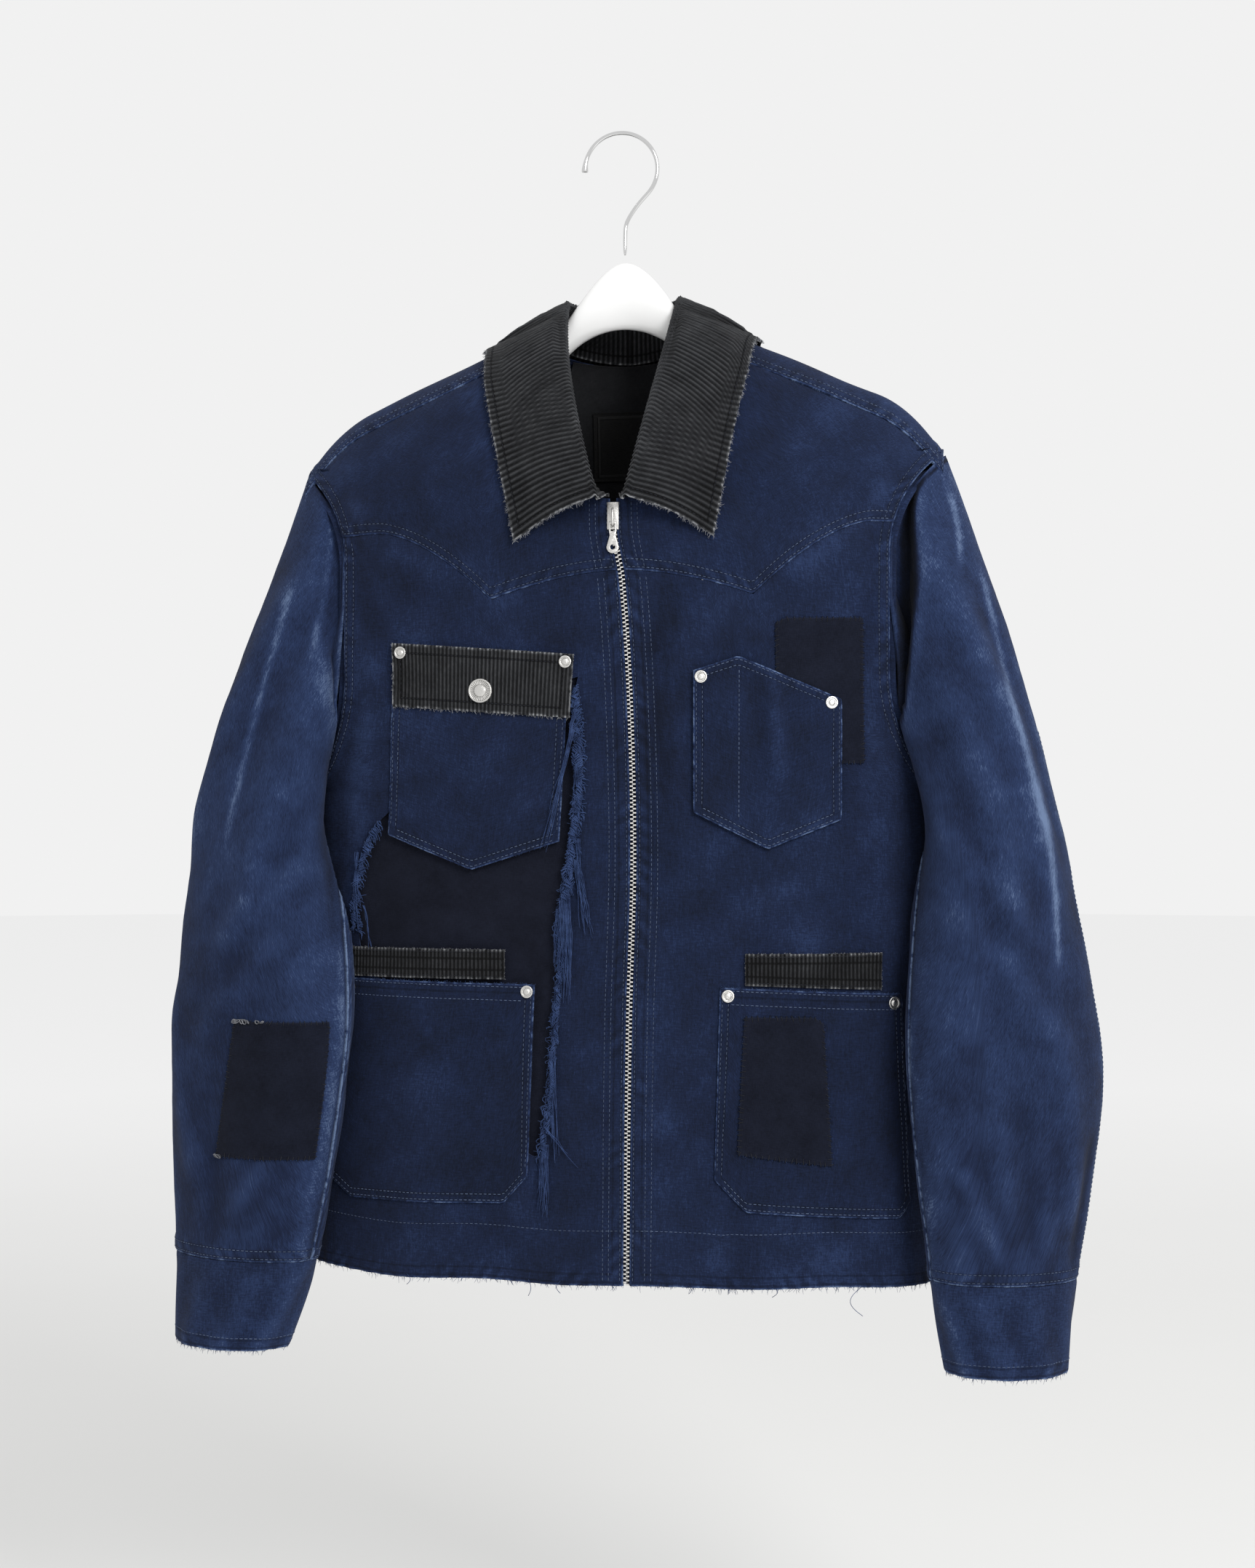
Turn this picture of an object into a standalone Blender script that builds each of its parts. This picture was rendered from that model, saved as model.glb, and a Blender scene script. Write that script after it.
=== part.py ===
"""A patched work jacket hung on a plastic hanger, as closed solids in metres.

The origin is the point inside the hanger's hook where a rail carries it. +Z is up, the jacket's
front faces -Y and +X is the wearer's left. Each cut piece of cloth is a surface of one garment
form with its own wall, and what lies on a piece is made from that form's points, moved outward.
"""

from math import asin, cos, degrees, exp, pi, radians, sin, sqrt

import bmesh
import bpy
from mathutils import Matrix, Vector

# Walls and gaps
CLOTH = 0.0018
THIN = 0.0012
POCKET = 0.0014
CORD = 0.0018
GAP = 0.0003
SEAM_EASE = 0.0008
FACET = 0.0005

# Body form: half-widths, depths and heights below the rail
BODY_POWER = 2.4
HALF_SHOULDER = 0.262
HALF_CHEST = 0.2345
HALF_HEM = 0.240
FRONT_CHEST, FRONT_HEM = 0.076, 0.095
BACK_CHEST, BACK_HEM = 0.072, 0.086
HEM = -0.860
UNDERARM = -0.500
CHEST = -0.300
TURN = 0.160
RIDGE_NECK, RIDGE_SLOPE = -0.120, 0.44
RIDGE_DROP, RIDGE_DROP_FROM, RIDGE_DROP_RUN = 0.0265, 0.193, 0.0525
LEAN_SHOULDER, LEAN_HEM, LEAN_RUN = 0.024, -0.012, 0.690

# Seams
ARM_TOP = 0.2433
ARM_MID = 0.2045
ARM_TOP_FADE, ARM_LOW_FADE = -0.330, -0.415
SHOULDER_SEAM = 0.019
NECK_HALF, NECK_FRONT, NECK_BACK = 0.072, -0.285, -0.170
NECK_X = 0.003
NECK_CELLS = 4
FRONT_CELLS = 13
YOKE_CENTRE, YOKE_POINT, YOKE_ARM = -0.338, 0.0195, -0.3055
YOKE_POINT_X, YOKE_RUN = 0.097, 0.085
BACK_YOKE = -0.335
ZIP_HALF = 0.0024
TAPE_WIDTH = 0.013

# Collar
COLLAR_WALL = 0.0022
BACK_SHARE = 0.42
FOLD_HALF, FOLD_TOP, FOLD_BACK = 0.043, -0.1235, 0.045
TIP_IN = Vector((0.0105, -0.098, -0.284))
TIP_OUT_X, TIP_OUT_Z = 0.074, -0.315
LEAF_SIDE_X, LEAF_SIDE_Z, LEAF_BACK_Z = 0.1065, -0.163, -0.200

# Rip in the wearer's right front: (height, x) stations of its torn edges
RIP_ROWS = [-0.420 - 0.0175 * k for k in range(21)]
RIP_RIGHT = ((-0.420, -0.0237), (-0.4545, -0.0205), (-0.4947, -0.0203), (-0.529, -0.0230),
             (-0.5636, -0.0286), (-0.5923, -0.0343), (-0.621, -0.0324), (-0.667, -0.0368),
             (-0.724, -0.0412), (-0.770, -0.0480))
RIP_LEFT = ((-0.520, -0.1738), (-0.538, -0.1834), (-0.559, -0.1886), (-0.583, -0.1931),
            (-0.606, -0.1915))
RIP_UPPER_EDGE = ((-0.1400, -0.492), (-0.0850, -0.446), (-0.0500, -0.424))
RIP_LOWER_EDGE = ((-0.0700, -0.760), (-0.1000, -0.690), (-0.1300, -0.655), (-0.1880, -0.634))

# Sleeve sections: height, outer edge (x, y), inner edge (x, y), half-thickness
SLEEVE_LEFT = (
    (-0.250, 0.243, 0.000, 0.207, 0.000, 0.022),
    (-0.350, 0.279, -0.004, 0.222, -0.012, 0.052),
    (-0.470, 0.313, -0.020, 0.224, -0.048, 0.057),
    (-0.600, 0.339, -0.034, 0.220, -0.082, 0.050),
    (-0.710, 0.356, -0.040, 0.220, -0.090, 0.045),
    (-0.850, 0.338, -0.043, 0.236, -0.087, 0.038),
    (-0.930, 0.328, -0.046, 0.250, -0.085, 0.037),
)
SLEEVE_RIGHT = (
    (-0.250, 0.243, 0.000, 0.207, 0.000, 0.022),
    (-0.350, 0.275, -0.002, 0.205, -0.020, 0.052),
    (-0.470, 0.311, -0.014, 0.191, -0.060, 0.055),
    (-0.600, 0.330, -0.026, 0.190, -0.088, 0.047),
    (-0.710, 0.337, -0.034, 0.197, -0.092, 0.043),
    (-0.850, 0.332, -0.038, 0.222, -0.088, 0.038),
    (-0.930, 0.328, -0.040, 0.250, -0.086, 0.037),
)
CUFF_SEAM, CUFF_HEM = -0.850, -0.9165
CAP_BLEND = 0.55
BODY_CLEARANCE = 0.0034
BACK_SEAM_ANGLE = radians(-38)
RECESS_DEPTH, RECESS_AT, RECESS_RUN = 0.013, 0.016, 0.011

# Inside the neck: the lining's half-widths below and above, its heights, and the label
LINING_LOW, LINING_HIGH = 0.094, 0.044
LINING_FOOT, LINING_TOP = -0.325, -0.1745
LABEL_HALF, LABEL_LOW, LABEL_HIGH, LABEL_WALL = 0.0305, -0.256, -0.202, 0.0009

# Corduroy wales on the flap and the bands
WALE_PITCH, WALE_RISE = 0.0030, 0.0007

# Hanger
HOOK_WIRE = 0.00175
WIRE_ROUNDNESS = 2
HOOK_RING = 0.028
HOOK_X, STEM_X = -0.001, 0.002
HUMP_TOP, HUMP_FALL, HUMP_HALF, HUMP_X = -0.093, 0.044, 0.042, 0.002
ARCH_TOP = -0.149
HANGER_HALF = 0.222
HANGER_BAR = 0.027

# Slider and pull
SLIDER_TOP, SLIDER_BOTTOM = -0.288, -0.308
PULL_AXIS_Z = -0.3032
PLATE, BRIDGE_WIRE, BRIDGE_CLEAR = 0.0016, 0.00075, 0.0024
PULL_LENGTH, PULL_WALL = 0.0225, 0.0013

RIVET_RADIUS, BUTTON_RADIUS = 0.00465, 0.0090
STRAND = 0.0009

# Frayed yarns: the strip of their roots, how uneven they are, every how many is long, and their lengths
ROOT_OFF, ROOT_WIDTH, ROOT_SUNK, ROOT_WALL = 0.0005, 0.0016, 0.0016, 0.0013
UNEVEN, LONG_EVERY = 2.399, 14
LONG_FALL, SHORT_REACH = (0.030, 0.085), (0.0030, 0.0056)

FRONT, BACK = -1, 1


def clamp(value, low=0.0, high=1.0):
    """Hold value between low and high."""
    return max(low, min(high, value))


def mix(start, end, share):
    """Point or number that lies share of the way from start to end."""
    return start + (end - start) * share


def through(stations, height, column):
    """Smooth value of one column of the stations at a height, highest station first."""
    rows = [(s[0], s[column]) for s in stations]
    if height >= rows[0][0]:
        return rows[0][1]
    if height <= rows[-1][0]:
        return rows[-1][1]
    k = max(i for i, row in enumerate(rows[:-1]) if row[0] >= height)

    def slope(i):
        low, high = max(i - 1, 0), min(i + 1, len(rows) - 1)
        return (rows[high][1] - rows[low][1]) / (rows[high][0] - rows[low][0])

    span = rows[k + 1][0] - rows[k][0]
    t = (height - rows[k][0]) / span
    ease = t * t * (3 - 2 * t)
    start = slope(k) * span * t * (1 - t) ** 2
    end = slope(k + 1) * span * t * t * (t - 1)
    return mix(rows[k][1], rows[k + 1][1], ease) + start + end


# Garment form

def ridge(x):
    """Height of the shoulder line at x, falling faster past the hanger's end."""
    past = max(0.0, (abs(x) - RIDGE_DROP_FROM) / RIDGE_DROP_RUN)
    return RIDGE_NECK - RIDGE_SLOPE * abs(x) - RIDGE_DROP * past ** 2


def half_width(z):
    """Half-width of the body's oval at a height."""
    if z > UNDERARM:
        return mix(HALF_CHEST, HALF_SHOULDER, clamp((z - UNDERARM) / 0.25))
    return mix(HALF_CHEST, HALF_HEM, clamp((UNDERARM - z) / (UNDERARM - HEM)))


def half_depth(side, z):
    """Depth of the oval's front or back half at a height."""
    share = clamp((CHEST - z) / 0.45)
    if side == FRONT:
        return mix(FRONT_CHEST, FRONT_HEM, share ** 0.8)
    return mix(BACK_CHEST, BACK_HEM, share)


def section(x, z):
    """Share of the full depth that the oval has at x."""
    return (1 - min(1.0, abs(x) / half_width(z)) ** BODY_POWER) ** (1 / BODY_POWER)


def drape(side, x, z):
    """Soft upright folds that deepen toward the hem."""
    grow = clamp((-0.500 - z) / 0.36)
    if side == FRONT:
        return grow * (0.0035 * sin(x / 0.026 + 0.6) + 0.0010 * sin(x / 0.014 - 1.1))
    return grow * 0.0060 * sin(x / 0.034 + 0.4) - 0.010 * grow * exp(-((x / 0.05) ** 2))


def body_depth(side, x, z):
    """Signed y of the body's outer face at x and z, before the lean."""
    below = clamp((ridge(x) - z) / TURN)
    rounding = sqrt(1 - (1 - below) ** 2)
    return side * (half_depth(side, z) + drape(side, x, z)) * section(x, z) * rounding


def leaned(point):
    """Move a point as the hanging jacket leans, one shoulder a little higher."""
    share = clamp((-0.17 - point.z) / LEAN_RUN)
    return Vector((point.x, point.y, point.z + point.x * mix(LEAN_SHOULDER, LEAN_HEM, share)))


def on_body(side, x, z, level=0.0):
    """Point of the outer face at x and z, moved outward by level."""
    step = 0.002
    here = Vector((x, body_depth(side, x, z), z))
    if level:
        along = Vector((2 * step, body_depth(side, x + step, z) - body_depth(side, x - step, z), 0))
        up = Vector((0, body_depth(side, x, z + step) - body_depth(side, x, z - step), 2 * step))
        here += along.cross(up).normalized() * (-side * level)
    return leaned(here)


def zip_x(z):
    """Sideways place of the zip, which wanders as the front hangs."""
    stations = ((-0.285, 0.0025), (-0.312, 0.0035), (-0.345, 0.0095), (-0.437, 0.0160),
                (-0.552, 0.0190), (-0.666, 0.0165), (-0.860, 0.0150))
    return through(stations, z, 1)


def armhole_x(z):
    """Sideways place of the armhole seam, wide at the shoulder and at the underarm."""
    arm_top_z = ridge(ARM_TOP)
    up = clamp((z - ARM_TOP_FADE) / (arm_top_z - ARM_TOP_FADE))
    down = clamp((ARM_LOW_FADE - z) / (ARM_LOW_FADE - UNDERARM))
    return ARM_MID + (ARM_TOP - ARM_MID) * up ** 2.3 + (HALF_CHEST - ARM_MID) * down ** 2


def side_x(z):
    """Edge of a front or back panel: just inside the armhole, or on the side seam below it."""
    return armhole_x(z) - GAP / 2 * clamp((z - UNDERARM) / 0.01) if z > UNDERARM else half_width(z)


def neckline(x):
    """Height of the front neckline, x measured from the middle of the neck."""
    reach = min(1.0, abs(x) / NECK_HALF) ** 2.2
    return NECK_FRONT + (ridge(NECK_HALF) - NECK_FRONT) * (1 - sqrt(1 - reach))


def neck_shift(x):
    """Sideways drift of the neckline, nothing at the shoulder and full at the front's middle."""
    return NECK_X * (1 - min(1.0, abs(x) / NECK_HALF) ** 2)


def yoke_seam(x):
    """Height of the front yoke's lower seam, with one point each side of the zip."""
    away = abs(x - zip_x(YOKE_CENTRE))
    if away < YOKE_POINT_X:
        return YOKE_CENTRE - YOKE_POINT * (away / YOKE_POINT_X) ** 1.8
    left = clamp(1 - (away - YOKE_POINT_X) / YOKE_RUN)
    return YOKE_ARM - (YOKE_ARM - YOKE_CENTRE + YOKE_POINT) * left ** 1.6


def angle_of(x, z):
    """Angle round the oval of a point at x."""
    turn = asin(clamp(abs(x) / half_width(z)) ** (BODY_POWER / 2))
    return turn if x >= 0 else -turn


def x_of(angle, z):
    """Sideways place of an angle round the oval."""
    reach = half_width(z) * abs(sin(angle)) ** (2 / BODY_POWER)
    return reach if angle >= 0 else -reach


def panel_point(side, u, v, start, end, low, high):
    """Point of a panel at u between two upright edges and v between two level edges."""
    x, z = mix(start(CHEST), end(CHEST), u), 0.0
    for _ in range(10):
        z = mix(low(x), high(x), v)
        first, last = angle_of(start(z), z), angle_of(end(z), z)
        x = x_of(mix(first, last, u), z)
    apart = side * GAP / 2 * clamp((abs(x) / half_width(z) - 0.98) / 0.02)
    return leaned(Vector((x, body_depth(side, x, z) + apart, z)))


def tight(share, cells, narrow=0.03):
    """Grid share with narrow first and last cells, so that neighbours meet squarely at a seam."""
    cell = round(share * cells)
    if cell in (0, cells):
        return float(cell > 0)
    return mix(narrow, 1 - narrow, (cell - 1) / (cells - 2))


def kinked(share, cells, at_cell, kink):
    """Grid share whose row at_cell lands on the share kink, where the underarm turns."""
    cell = share * cells
    if cell <= at_cell:
        return kink * cell / at_cell
    return mix(kink, 1.0, (cell - at_cell) / (cells - at_cell))


def front_share(share):
    """Share of a front's or front yoke's turn: wider cells to the side, the last one narrow."""
    cell = round(share * FRONT_CELLS)
    return 1.0 if cell == FRONT_CELLS else 0.985 * (cell / (FRONT_CELLS - 1)) ** 1.25


# Mesh helpers

def material(name, colour, roughness=0.85, metallic=0.0):
    """Plain Principled material."""
    found = bpy.data.materials.get(name)
    if found:
        return found
    made = bpy.data.materials.new(name)
    made.use_nodes = True
    shader = made.node_tree.nodes["Principled BSDF"]
    shader.inputs["Base Color"].default_value = (*colour, 1)
    shader.inputs["Roughness"].default_value = roughness
    shader.inputs["Metallic"].default_value = metallic
    return made


def add_object(name, data, finish, collection):
    """Object in the jacket's collection with one material."""
    made = bpy.data.objects.new(name, data)
    data.materials.append(finish)
    collection.objects.link(made)
    return made


def sheet(name, place, columns, rows, wall, finish, collection, inward, closed=False):
    """Cloth wall over the surface that place(u, v) gives for u and v from 0 to 1.

    inward is a function from a face's centre to a point on the garment's inner side. The given
    surface is the wall's outer face.
    """
    bm = bmesh.new()
    bmesh.ops.create_grid(bm, x_segments=columns, y_segments=rows, size=0.5)
    for vert in bm.verts:
        vert.co = place(clamp(vert.co.x + 0.5), clamp(vert.co.y + 0.5))
    if closed:
        bmesh.ops.remove_doubles(bm, verts=bm.verts, dist=1e-6)
    bm.normal_update()
    outward = sum((f.normal.dot(f.calc_center_median() - inward(f.calc_center_median()))
                   * f.calc_area() for f in bm.faces))
    if outward < 0:
        bmesh.ops.reverse_faces(bm, faces=bm.faces)
    data = bpy.data.meshes.new(name)
    bm.to_mesh(data)
    bm.free()
    data.shade_smooth()
    made = add_object(name, data, finish, collection)
    solid = made.modifiers.new("Wall", "SOLIDIFY")
    solid.thickness = wall
    solid.offset = -1
    return made


def body_axis(point):
    """Point on the body's upright axis at the same height."""
    return Vector((0, 0, point.z - 0.03))


def applique(name, side, left, right, low, high, level, wall, finish, collection, columns=8, rows=6):
    """Piece that lies on a panel: its outer face is level above the panel's outer face.

    left and right give x at a height share v, low and high give z at x.
    """
    def place(u, v):
        x, z = mix(left(v), right(v), u), 0.0
        z = mix(low(x), high(x), v)
        return on_body(side, x, z, level)

    return sheet(name, place, columns, rows, wall, finish, collection, body_axis)


def line(first, last):
    """Straight edge between two values."""
    return lambda share: mix(first, last, share)


def chain(*points):
    """Level edge through (x, z) points, straight between them, in order of x."""
    def height(x):
        for (x0, z0), (x1, z1) in zip(points, points[1:]):
            if x <= x1:
                return mix(z0, z1, clamp((x - x0) / (x1 - x0)))
        return points[-1][1]
    return height


def solid_of(made, collection):
    """Mesh object with a curve object's evaluated shape; the curve is removed."""
    bpy.context.view_layer.update()
    shape = made.evaluated_get(bpy.context.evaluated_depsgraph_get())
    data = bpy.data.meshes.new_from_object(shape)
    bm = bmesh.new()
    bm.from_mesh(data)
    bmesh.ops.remove_doubles(bm, verts=bm.verts, dist=1e-5)
    bm.to_mesh(data)
    bm.free()
    name, placed = made.name, made.matrix_world.copy()
    bpy.data.objects.remove(made)
    solid = bpy.data.objects.new(name, data)
    solid.matrix_world = placed
    collection.objects.link(solid)
    return solid


def wire(name, points, radius, finish, collection, thickness=None):
    """Round wire through points, its thickness scaled point by point."""
    curve = bpy.data.curves.new(name, "CURVE")
    curve.dimensions = "3D"
    curve.bevel_depth = radius
    curve.bevel_resolution = WIRE_ROUNDNESS
    curve.use_fill_caps = True
    spline = curve.splines.new("POLY")
    spline.points.add(len(points) - 1)
    for k, (knot, point) in enumerate(zip(spline.points, points)):
        knot.co = (*point, 1)
        knot.radius = thickness(k / (len(points) - 1)) if thickness else 1.0
    return add_object(name, curve, finish, collection)


def plate(name, outlines, thickness, finish, collection):
    """Flat plate in the XY plane from closed outlines, the first outside and the rest holes."""
    curve = bpy.data.curves.new(name, "CURVE")
    curve.dimensions = "2D"
    curve.fill_mode = "BOTH"
    curve.extrude = thickness / 2
    for outline in outlines:
        spline = curve.splines.new("POLY")
        spline.points.add(len(outline) - 1)
        for knot, (x, y) in zip(spline.points, outline):
            knot.co = (x, y, 0, 1)
        spline.use_cyclic_u = True
    return add_object(name, curve, finish, collection)


def arc(centre, radius, start, end, steps):
    """Points along an arc in degrees."""
    angles = [radians(mix(start, end, k / steps)) for k in range(steps + 1)]
    return [(centre[0] + radius * cos(a), centre[1] + radius * sin(a)) for a in angles]


def join(target, other, kind, cutters):
    """Apply a Boolean of other to target and keep other as a cutter."""
    step = target.modifiers.new(other.name, "BOOLEAN")
    step.operation = kind
    step.object = other
    for owner in list(other.users_collection):
        owner.objects.unlink(other)
    cutters.objects.link(other)
    other.hide_render = True
    other.display_type = "WIRE"


# Cloth pieces

def add_yokes(finish, collection):
    """Two front yokes and the back yoke, which wraps over the shoulders."""
    for name, sign in (("yoke_front_right", -1), ("yoke_front_left", 1)):
        def start(z, sign=sign):
            return zip_x(z) + sign * ZIP_HALF

        def end(z, sign=sign):
            return sign * side_x(z)

        def low(x):
            return yoke_seam(x) + GAP / 2

        def high(x):
            return min(neckline(x - neck_shift(x)), ridge(x) - SHOULDER_SEAM - 1.5 * GAP)

        def place(u, v, start=start, end=end):
            return panel_point(FRONT, front_share(u), tight(v, 6), start, end, low, high)

        sheet(name, place, FRONT_CELLS, 6, CLOTH, finish, collection, body_axis)

    def back_place(u, v):
        v = tight(v, 10)
        cell = round(abs(2 * u - 1) * 12)
        sign = -1 if u < 0.5 else 1
        x = ARM_TOP * cell / 12
        for _ in range(10):
            if cell <= NECK_CELLS:
                x = NECK_HALF * cell / NECK_CELLS
                upper = sqrt(max(0.0, ridge(x) - mix(NECK_BACK, ridge(NECK_HALF), (x / NECK_HALF) ** 2)))
            else:
                upper = -sqrt(SHOULDER_SEAM - GAP)
            lower = sqrt(ridge(x) - BACK_YOKE - GAP / 2)
            root = mix(lower, upper, v)
            z = ridge(x) - root * root
            if cell > NECK_CELLS:
                past = (cell - NECK_CELLS - 1) / (11 - NECK_CELLS)
                x = mix(NECK_HALF + 0.0015, side_x(z), past)
        side = BACK if root > 0 else FRONT
        return leaned(Vector((sign * x, body_depth(side, x * sign, z), z)))

    sheet("yoke_back", back_place, 24, 10, CLOTH, finish, collection,
          lambda point: Vector((point.x, 0, -0.4)))


def add_fronts(finish, collection, cutters):
    """Two front panels; the wearer's right one has a long rip."""
    def low(x):
        return HEM + 0.0012 * sin(x / 0.021)

    def high(x):
        return yoke_seam(x) - GAP / 2

    panels = {}
    for name, sign in (("front_right", -1), ("front_left", 1)):
        def start(z, sign=sign):
            return zip_x(z) + sign * ZIP_HALF

        def end(z, sign=sign):
            return sign * side_x(z)

        def place(u, v, start=start, end=end):
            v = kinked(v, 12, 8, (UNDERARM - HEM) / (YOKE_ARM - HEM))
            return panel_point(FRONT, front_share(u), v, start, end, low, high)

        panels[name] = sheet(name, place, FRONT_CELLS, 12, CLOTH, finish, collection, body_axis)

    outline = [(-0.0225, -0.416)] + [(rip_right_x(z), z) for z in RIP_ROWS]
    outline += [*RIP_LOWER_EDGE, *((x, z) for z, x in reversed(RIP_LEFT)), *RIP_UPPER_EDGE]
    cutter = plate("rip_cutter", [outline], 0.06, finish, cutters)
    cutter.rotation_euler = (radians(90), 0, 0)
    cutter.location = (0, -0.085, 0)
    join(panels["front_right"], solid_of(cutter, cutters), "DIFFERENCE", cutters)


def rip_right_x(z):
    """Right edge of the rip, a torn line that drifts outward as it falls."""
    return through(RIP_RIGHT, z, 1)


def rip_left_x(z):
    """Left edge of the rip."""
    return through(RIP_LEFT, z, 1)


def add_back(finish, collection):
    """Back panel from armhole and side seams, under the back yoke."""
    def place(u, v):
        v = kinked(v, 9, 6, (UNDERARM - HEM) / (BACK_YOKE - HEM))
        return panel_point(BACK, tight(u, 18, 0.008), v, lambda z: -side_x(z), side_x,
                           lambda x: HEM + 0.0015 * sin(x / 0.03), lambda x: BACK_YOKE - GAP / 2)

    sheet("back_panel", place, 18, 9, CLOTH, finish, collection, body_axis)


def add_insides(dark, black, label, collection):
    """What shows through the rip and inside the neck."""
    behind = -(CLOTH + GAP + 2 * FACET)
    applique("rip_underlay", FRONT, lambda v: -0.1945 + 0.2 * max(0.0, v - 0.70), line(-0.0080, -0.0080),
             lambda x: -0.800, lambda x: -0.402, behind - FACET, THIN, dark, collection, 8, 10)
    applique("back_lining", BACK, line(-LINING_LOW, -LINING_HIGH), line(LINING_LOW, LINING_HIGH),
             lambda x: LINING_FOOT, lambda x: LINING_TOP + 2.2 * x * x, behind - FACET, THIN, black,
             collection, 6, 5)
    applique("neck_label", BACK, line(-LABEL_HALF, -LABEL_HALF), line(LABEL_HALF, LABEL_HALF),
             lambda x: LABEL_LOW, lambda x: LABEL_HIGH, behind - THIN - GAP - 2 * FACET, LABEL_WALL, label,
             collection, 2, 2)


def add_tapes(finish, collection):
    """Two zip tapes behind the front edges, meeting at the zip's middle."""
    for name, sign in (("zip_tape_right", -1), ("zip_tape_left", 1)):
        def place(u, v, sign=sign):
            z = mix(HEM + 0.002, NECK_FRONT - 0.002, v)
            x = zip_x(z) + sign * mix(GAP / 2, TAPE_WIDTH, u)
            return on_body(FRONT, x, z, -(CLOTH + GAP + 2 * FACET))

        sheet(name, place, 1, 18, 0.0010, finish, collection, body_axis)


def sleeve_section(stations, angle, z):
    """Point of the sleeve's free section at an angle: 0 outer, 90 front, 180 inner, 270 back."""
    outer = Vector((through(stations, z, 1), through(stations, z, 2)))
    inner = Vector((through(stations, z, 3), through(stations, z, 4)))
    middle, reach = (outer + inner) / 2, (outer - inner) / 2
    across = Vector((reach.y, -reach.x)).normalized() * through(stations, z, 5)
    return middle + reach * cos(angle) + across * sin(angle)


def armhole_point(angle):
    """Point of the armhole seam at an angle, on the body's outer face."""
    top, bottom = ridge(ARM_TOP), UNDERARM
    z = (top + bottom) / 2 + (top - bottom) / 2 * cos(angle)
    x = armhole_x(z) + GAP / 2 + SEAM_EASE * clamp((z - ARM_TOP_FADE) / 0.030)
    side = FRONT if sin(angle) >= 0 else BACK
    return Vector((x, body_depth(side, x, z), z))


def clear_of_body(point, margin):
    """Push a sleeve point out of the body's oval, so that the sleeve lies against it."""
    side = FRONT if point.y < 0 else BACK
    x, z = abs(point.x), point.z
    lift = side * (abs(body_depth(side, x, z)) + margin) - point.y
    over = clamp((side_x(z) + 0.004 - x) / 0.004) if side * lift > 0 else 0.0
    upper = Vector((point.x, point.y + lift * over, z))
    wide, deep = half_width(z) + margin, half_depth(side, z) + 0.004 + margin
    inside = (x / wide) ** BODY_POWER + (abs(point.y) / deep) ** BODY_POWER
    grow = inside ** (-1 / BODY_POWER) if 0 < inside < 1 else 1.0
    lower = Vector((point.x * grow, point.y * grow, z))
    return mix(upper, lower, clamp((-0.360 - z) / 0.060))


def sleeve_point(sign, angle, t, level=0.0):
    """Point of a sleeve's outer face at an angle and at t from armhole to cuff seam."""
    stations = SLEEVE_LEFT if sign > 0 else SLEEVE_RIGHT

    def place(angle, t):
        seam = armhole_point(angle)
        z = mix(seam.z, CUFF_SEAM, t)
        free = sleeve_section(stations, angle, z)
        start = sleeve_section(stations, angle, seam.z)
        hold = clamp(1 - t / CAP_BLEND) ** 2
        x = free.x + (seam.x - start.x) * hold
        y = free.y + (seam.y - start.y) * hold
        run = t * (seam.z - CUFF_SEAM)
        near = exp(-((run - RECESS_AT) / RECESS_RUN) ** 2) * clamp(run / 0.006)
        facing = clamp(1 - abs(degrees(angle) - 92) / 42)
        y += RECESS_DEPTH * near * facing * (1.0 if sign > 0 else 0.5)
        point = clear_of_body(Vector((x, y, z)), BODY_CLEARANCE * clamp(0.25 + t / 0.04))
        return leaned(Vector((sign * point.x, point.y, point.z)))

    here = place(angle, t)
    if level:
        round_it = place(angle + 0.02, t) - place(angle - 0.02, t)
        down_it = place(angle, t + 0.004) - place(angle, t - 0.004)
        normal = round_it.cross(down_it).normalized()
        middle = sleeve_section(stations, 0, here.z) + sleeve_section(stations, pi, here.z)
        away = Vector((here.x - sign * middle.x / 2, here.y - middle.y / 2, 0))
        here += normal * (level if normal.dot(away) > 0 else -level)
    return here


def sleeve_axis(sign):
    """Function from a sleeve point to the sleeve's middle at its height."""
    stations = SLEEVE_LEFT if sign > 0 else SLEEVE_RIGHT

    def middle(point):
        both = sleeve_section(stations, 0, point.z) + sleeve_section(stations, pi, point.z)
        return Vector((sign * both.x / 2, both.y / 2, point.z - 0.02))
    return middle


def add_sleeves(finish, collection):
    """Two-piece sleeves, seamed at the back of the arm and at the underarm, and their cuffs."""
    for hand, sign in (("right", -1), ("left", 1)):
        spans = (("top", BACK_SEAM_ANGLE + 0.003, pi - 0.016, 12),
                 ("under", pi + 0.016, 2 * pi + BACK_SEAM_ANGLE - 0.003, 8))
        for piece, first, last, columns in spans:
            def place(u, v, first=first, last=last, columns=columns, sign=sign):
                t = mix(0.0024, 0.9995, v ** 1.35)
                return sleeve_point(sign, mix(first, last, tight(u, columns)), t)

            sheet(f"sleeve_{hand}_{piece}", place, columns, 12, CLOTH, finish, collection, sleeve_axis(sign))

        def cuff_place(u, v, sign=sign):
            stations = SLEEVE_LEFT if sign > 0 else SLEEVE_RIGHT
            z = mix(CUFF_SEAM - 0.0003, CUFF_HEM, v)
            spot = sleeve_section(stations, 2 * pi * u, z)
            point = clear_of_body(Vector((spot.x, spot.y, z)), BODY_CLEARANCE)
            return leaned(Vector((sign * point.x, point.y, point.z)))

        sheet(f"cuff_{hand}", cuff_place, 24, 2, CLOTH, finish, collection, sleeve_axis(sign), closed=True)


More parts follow.
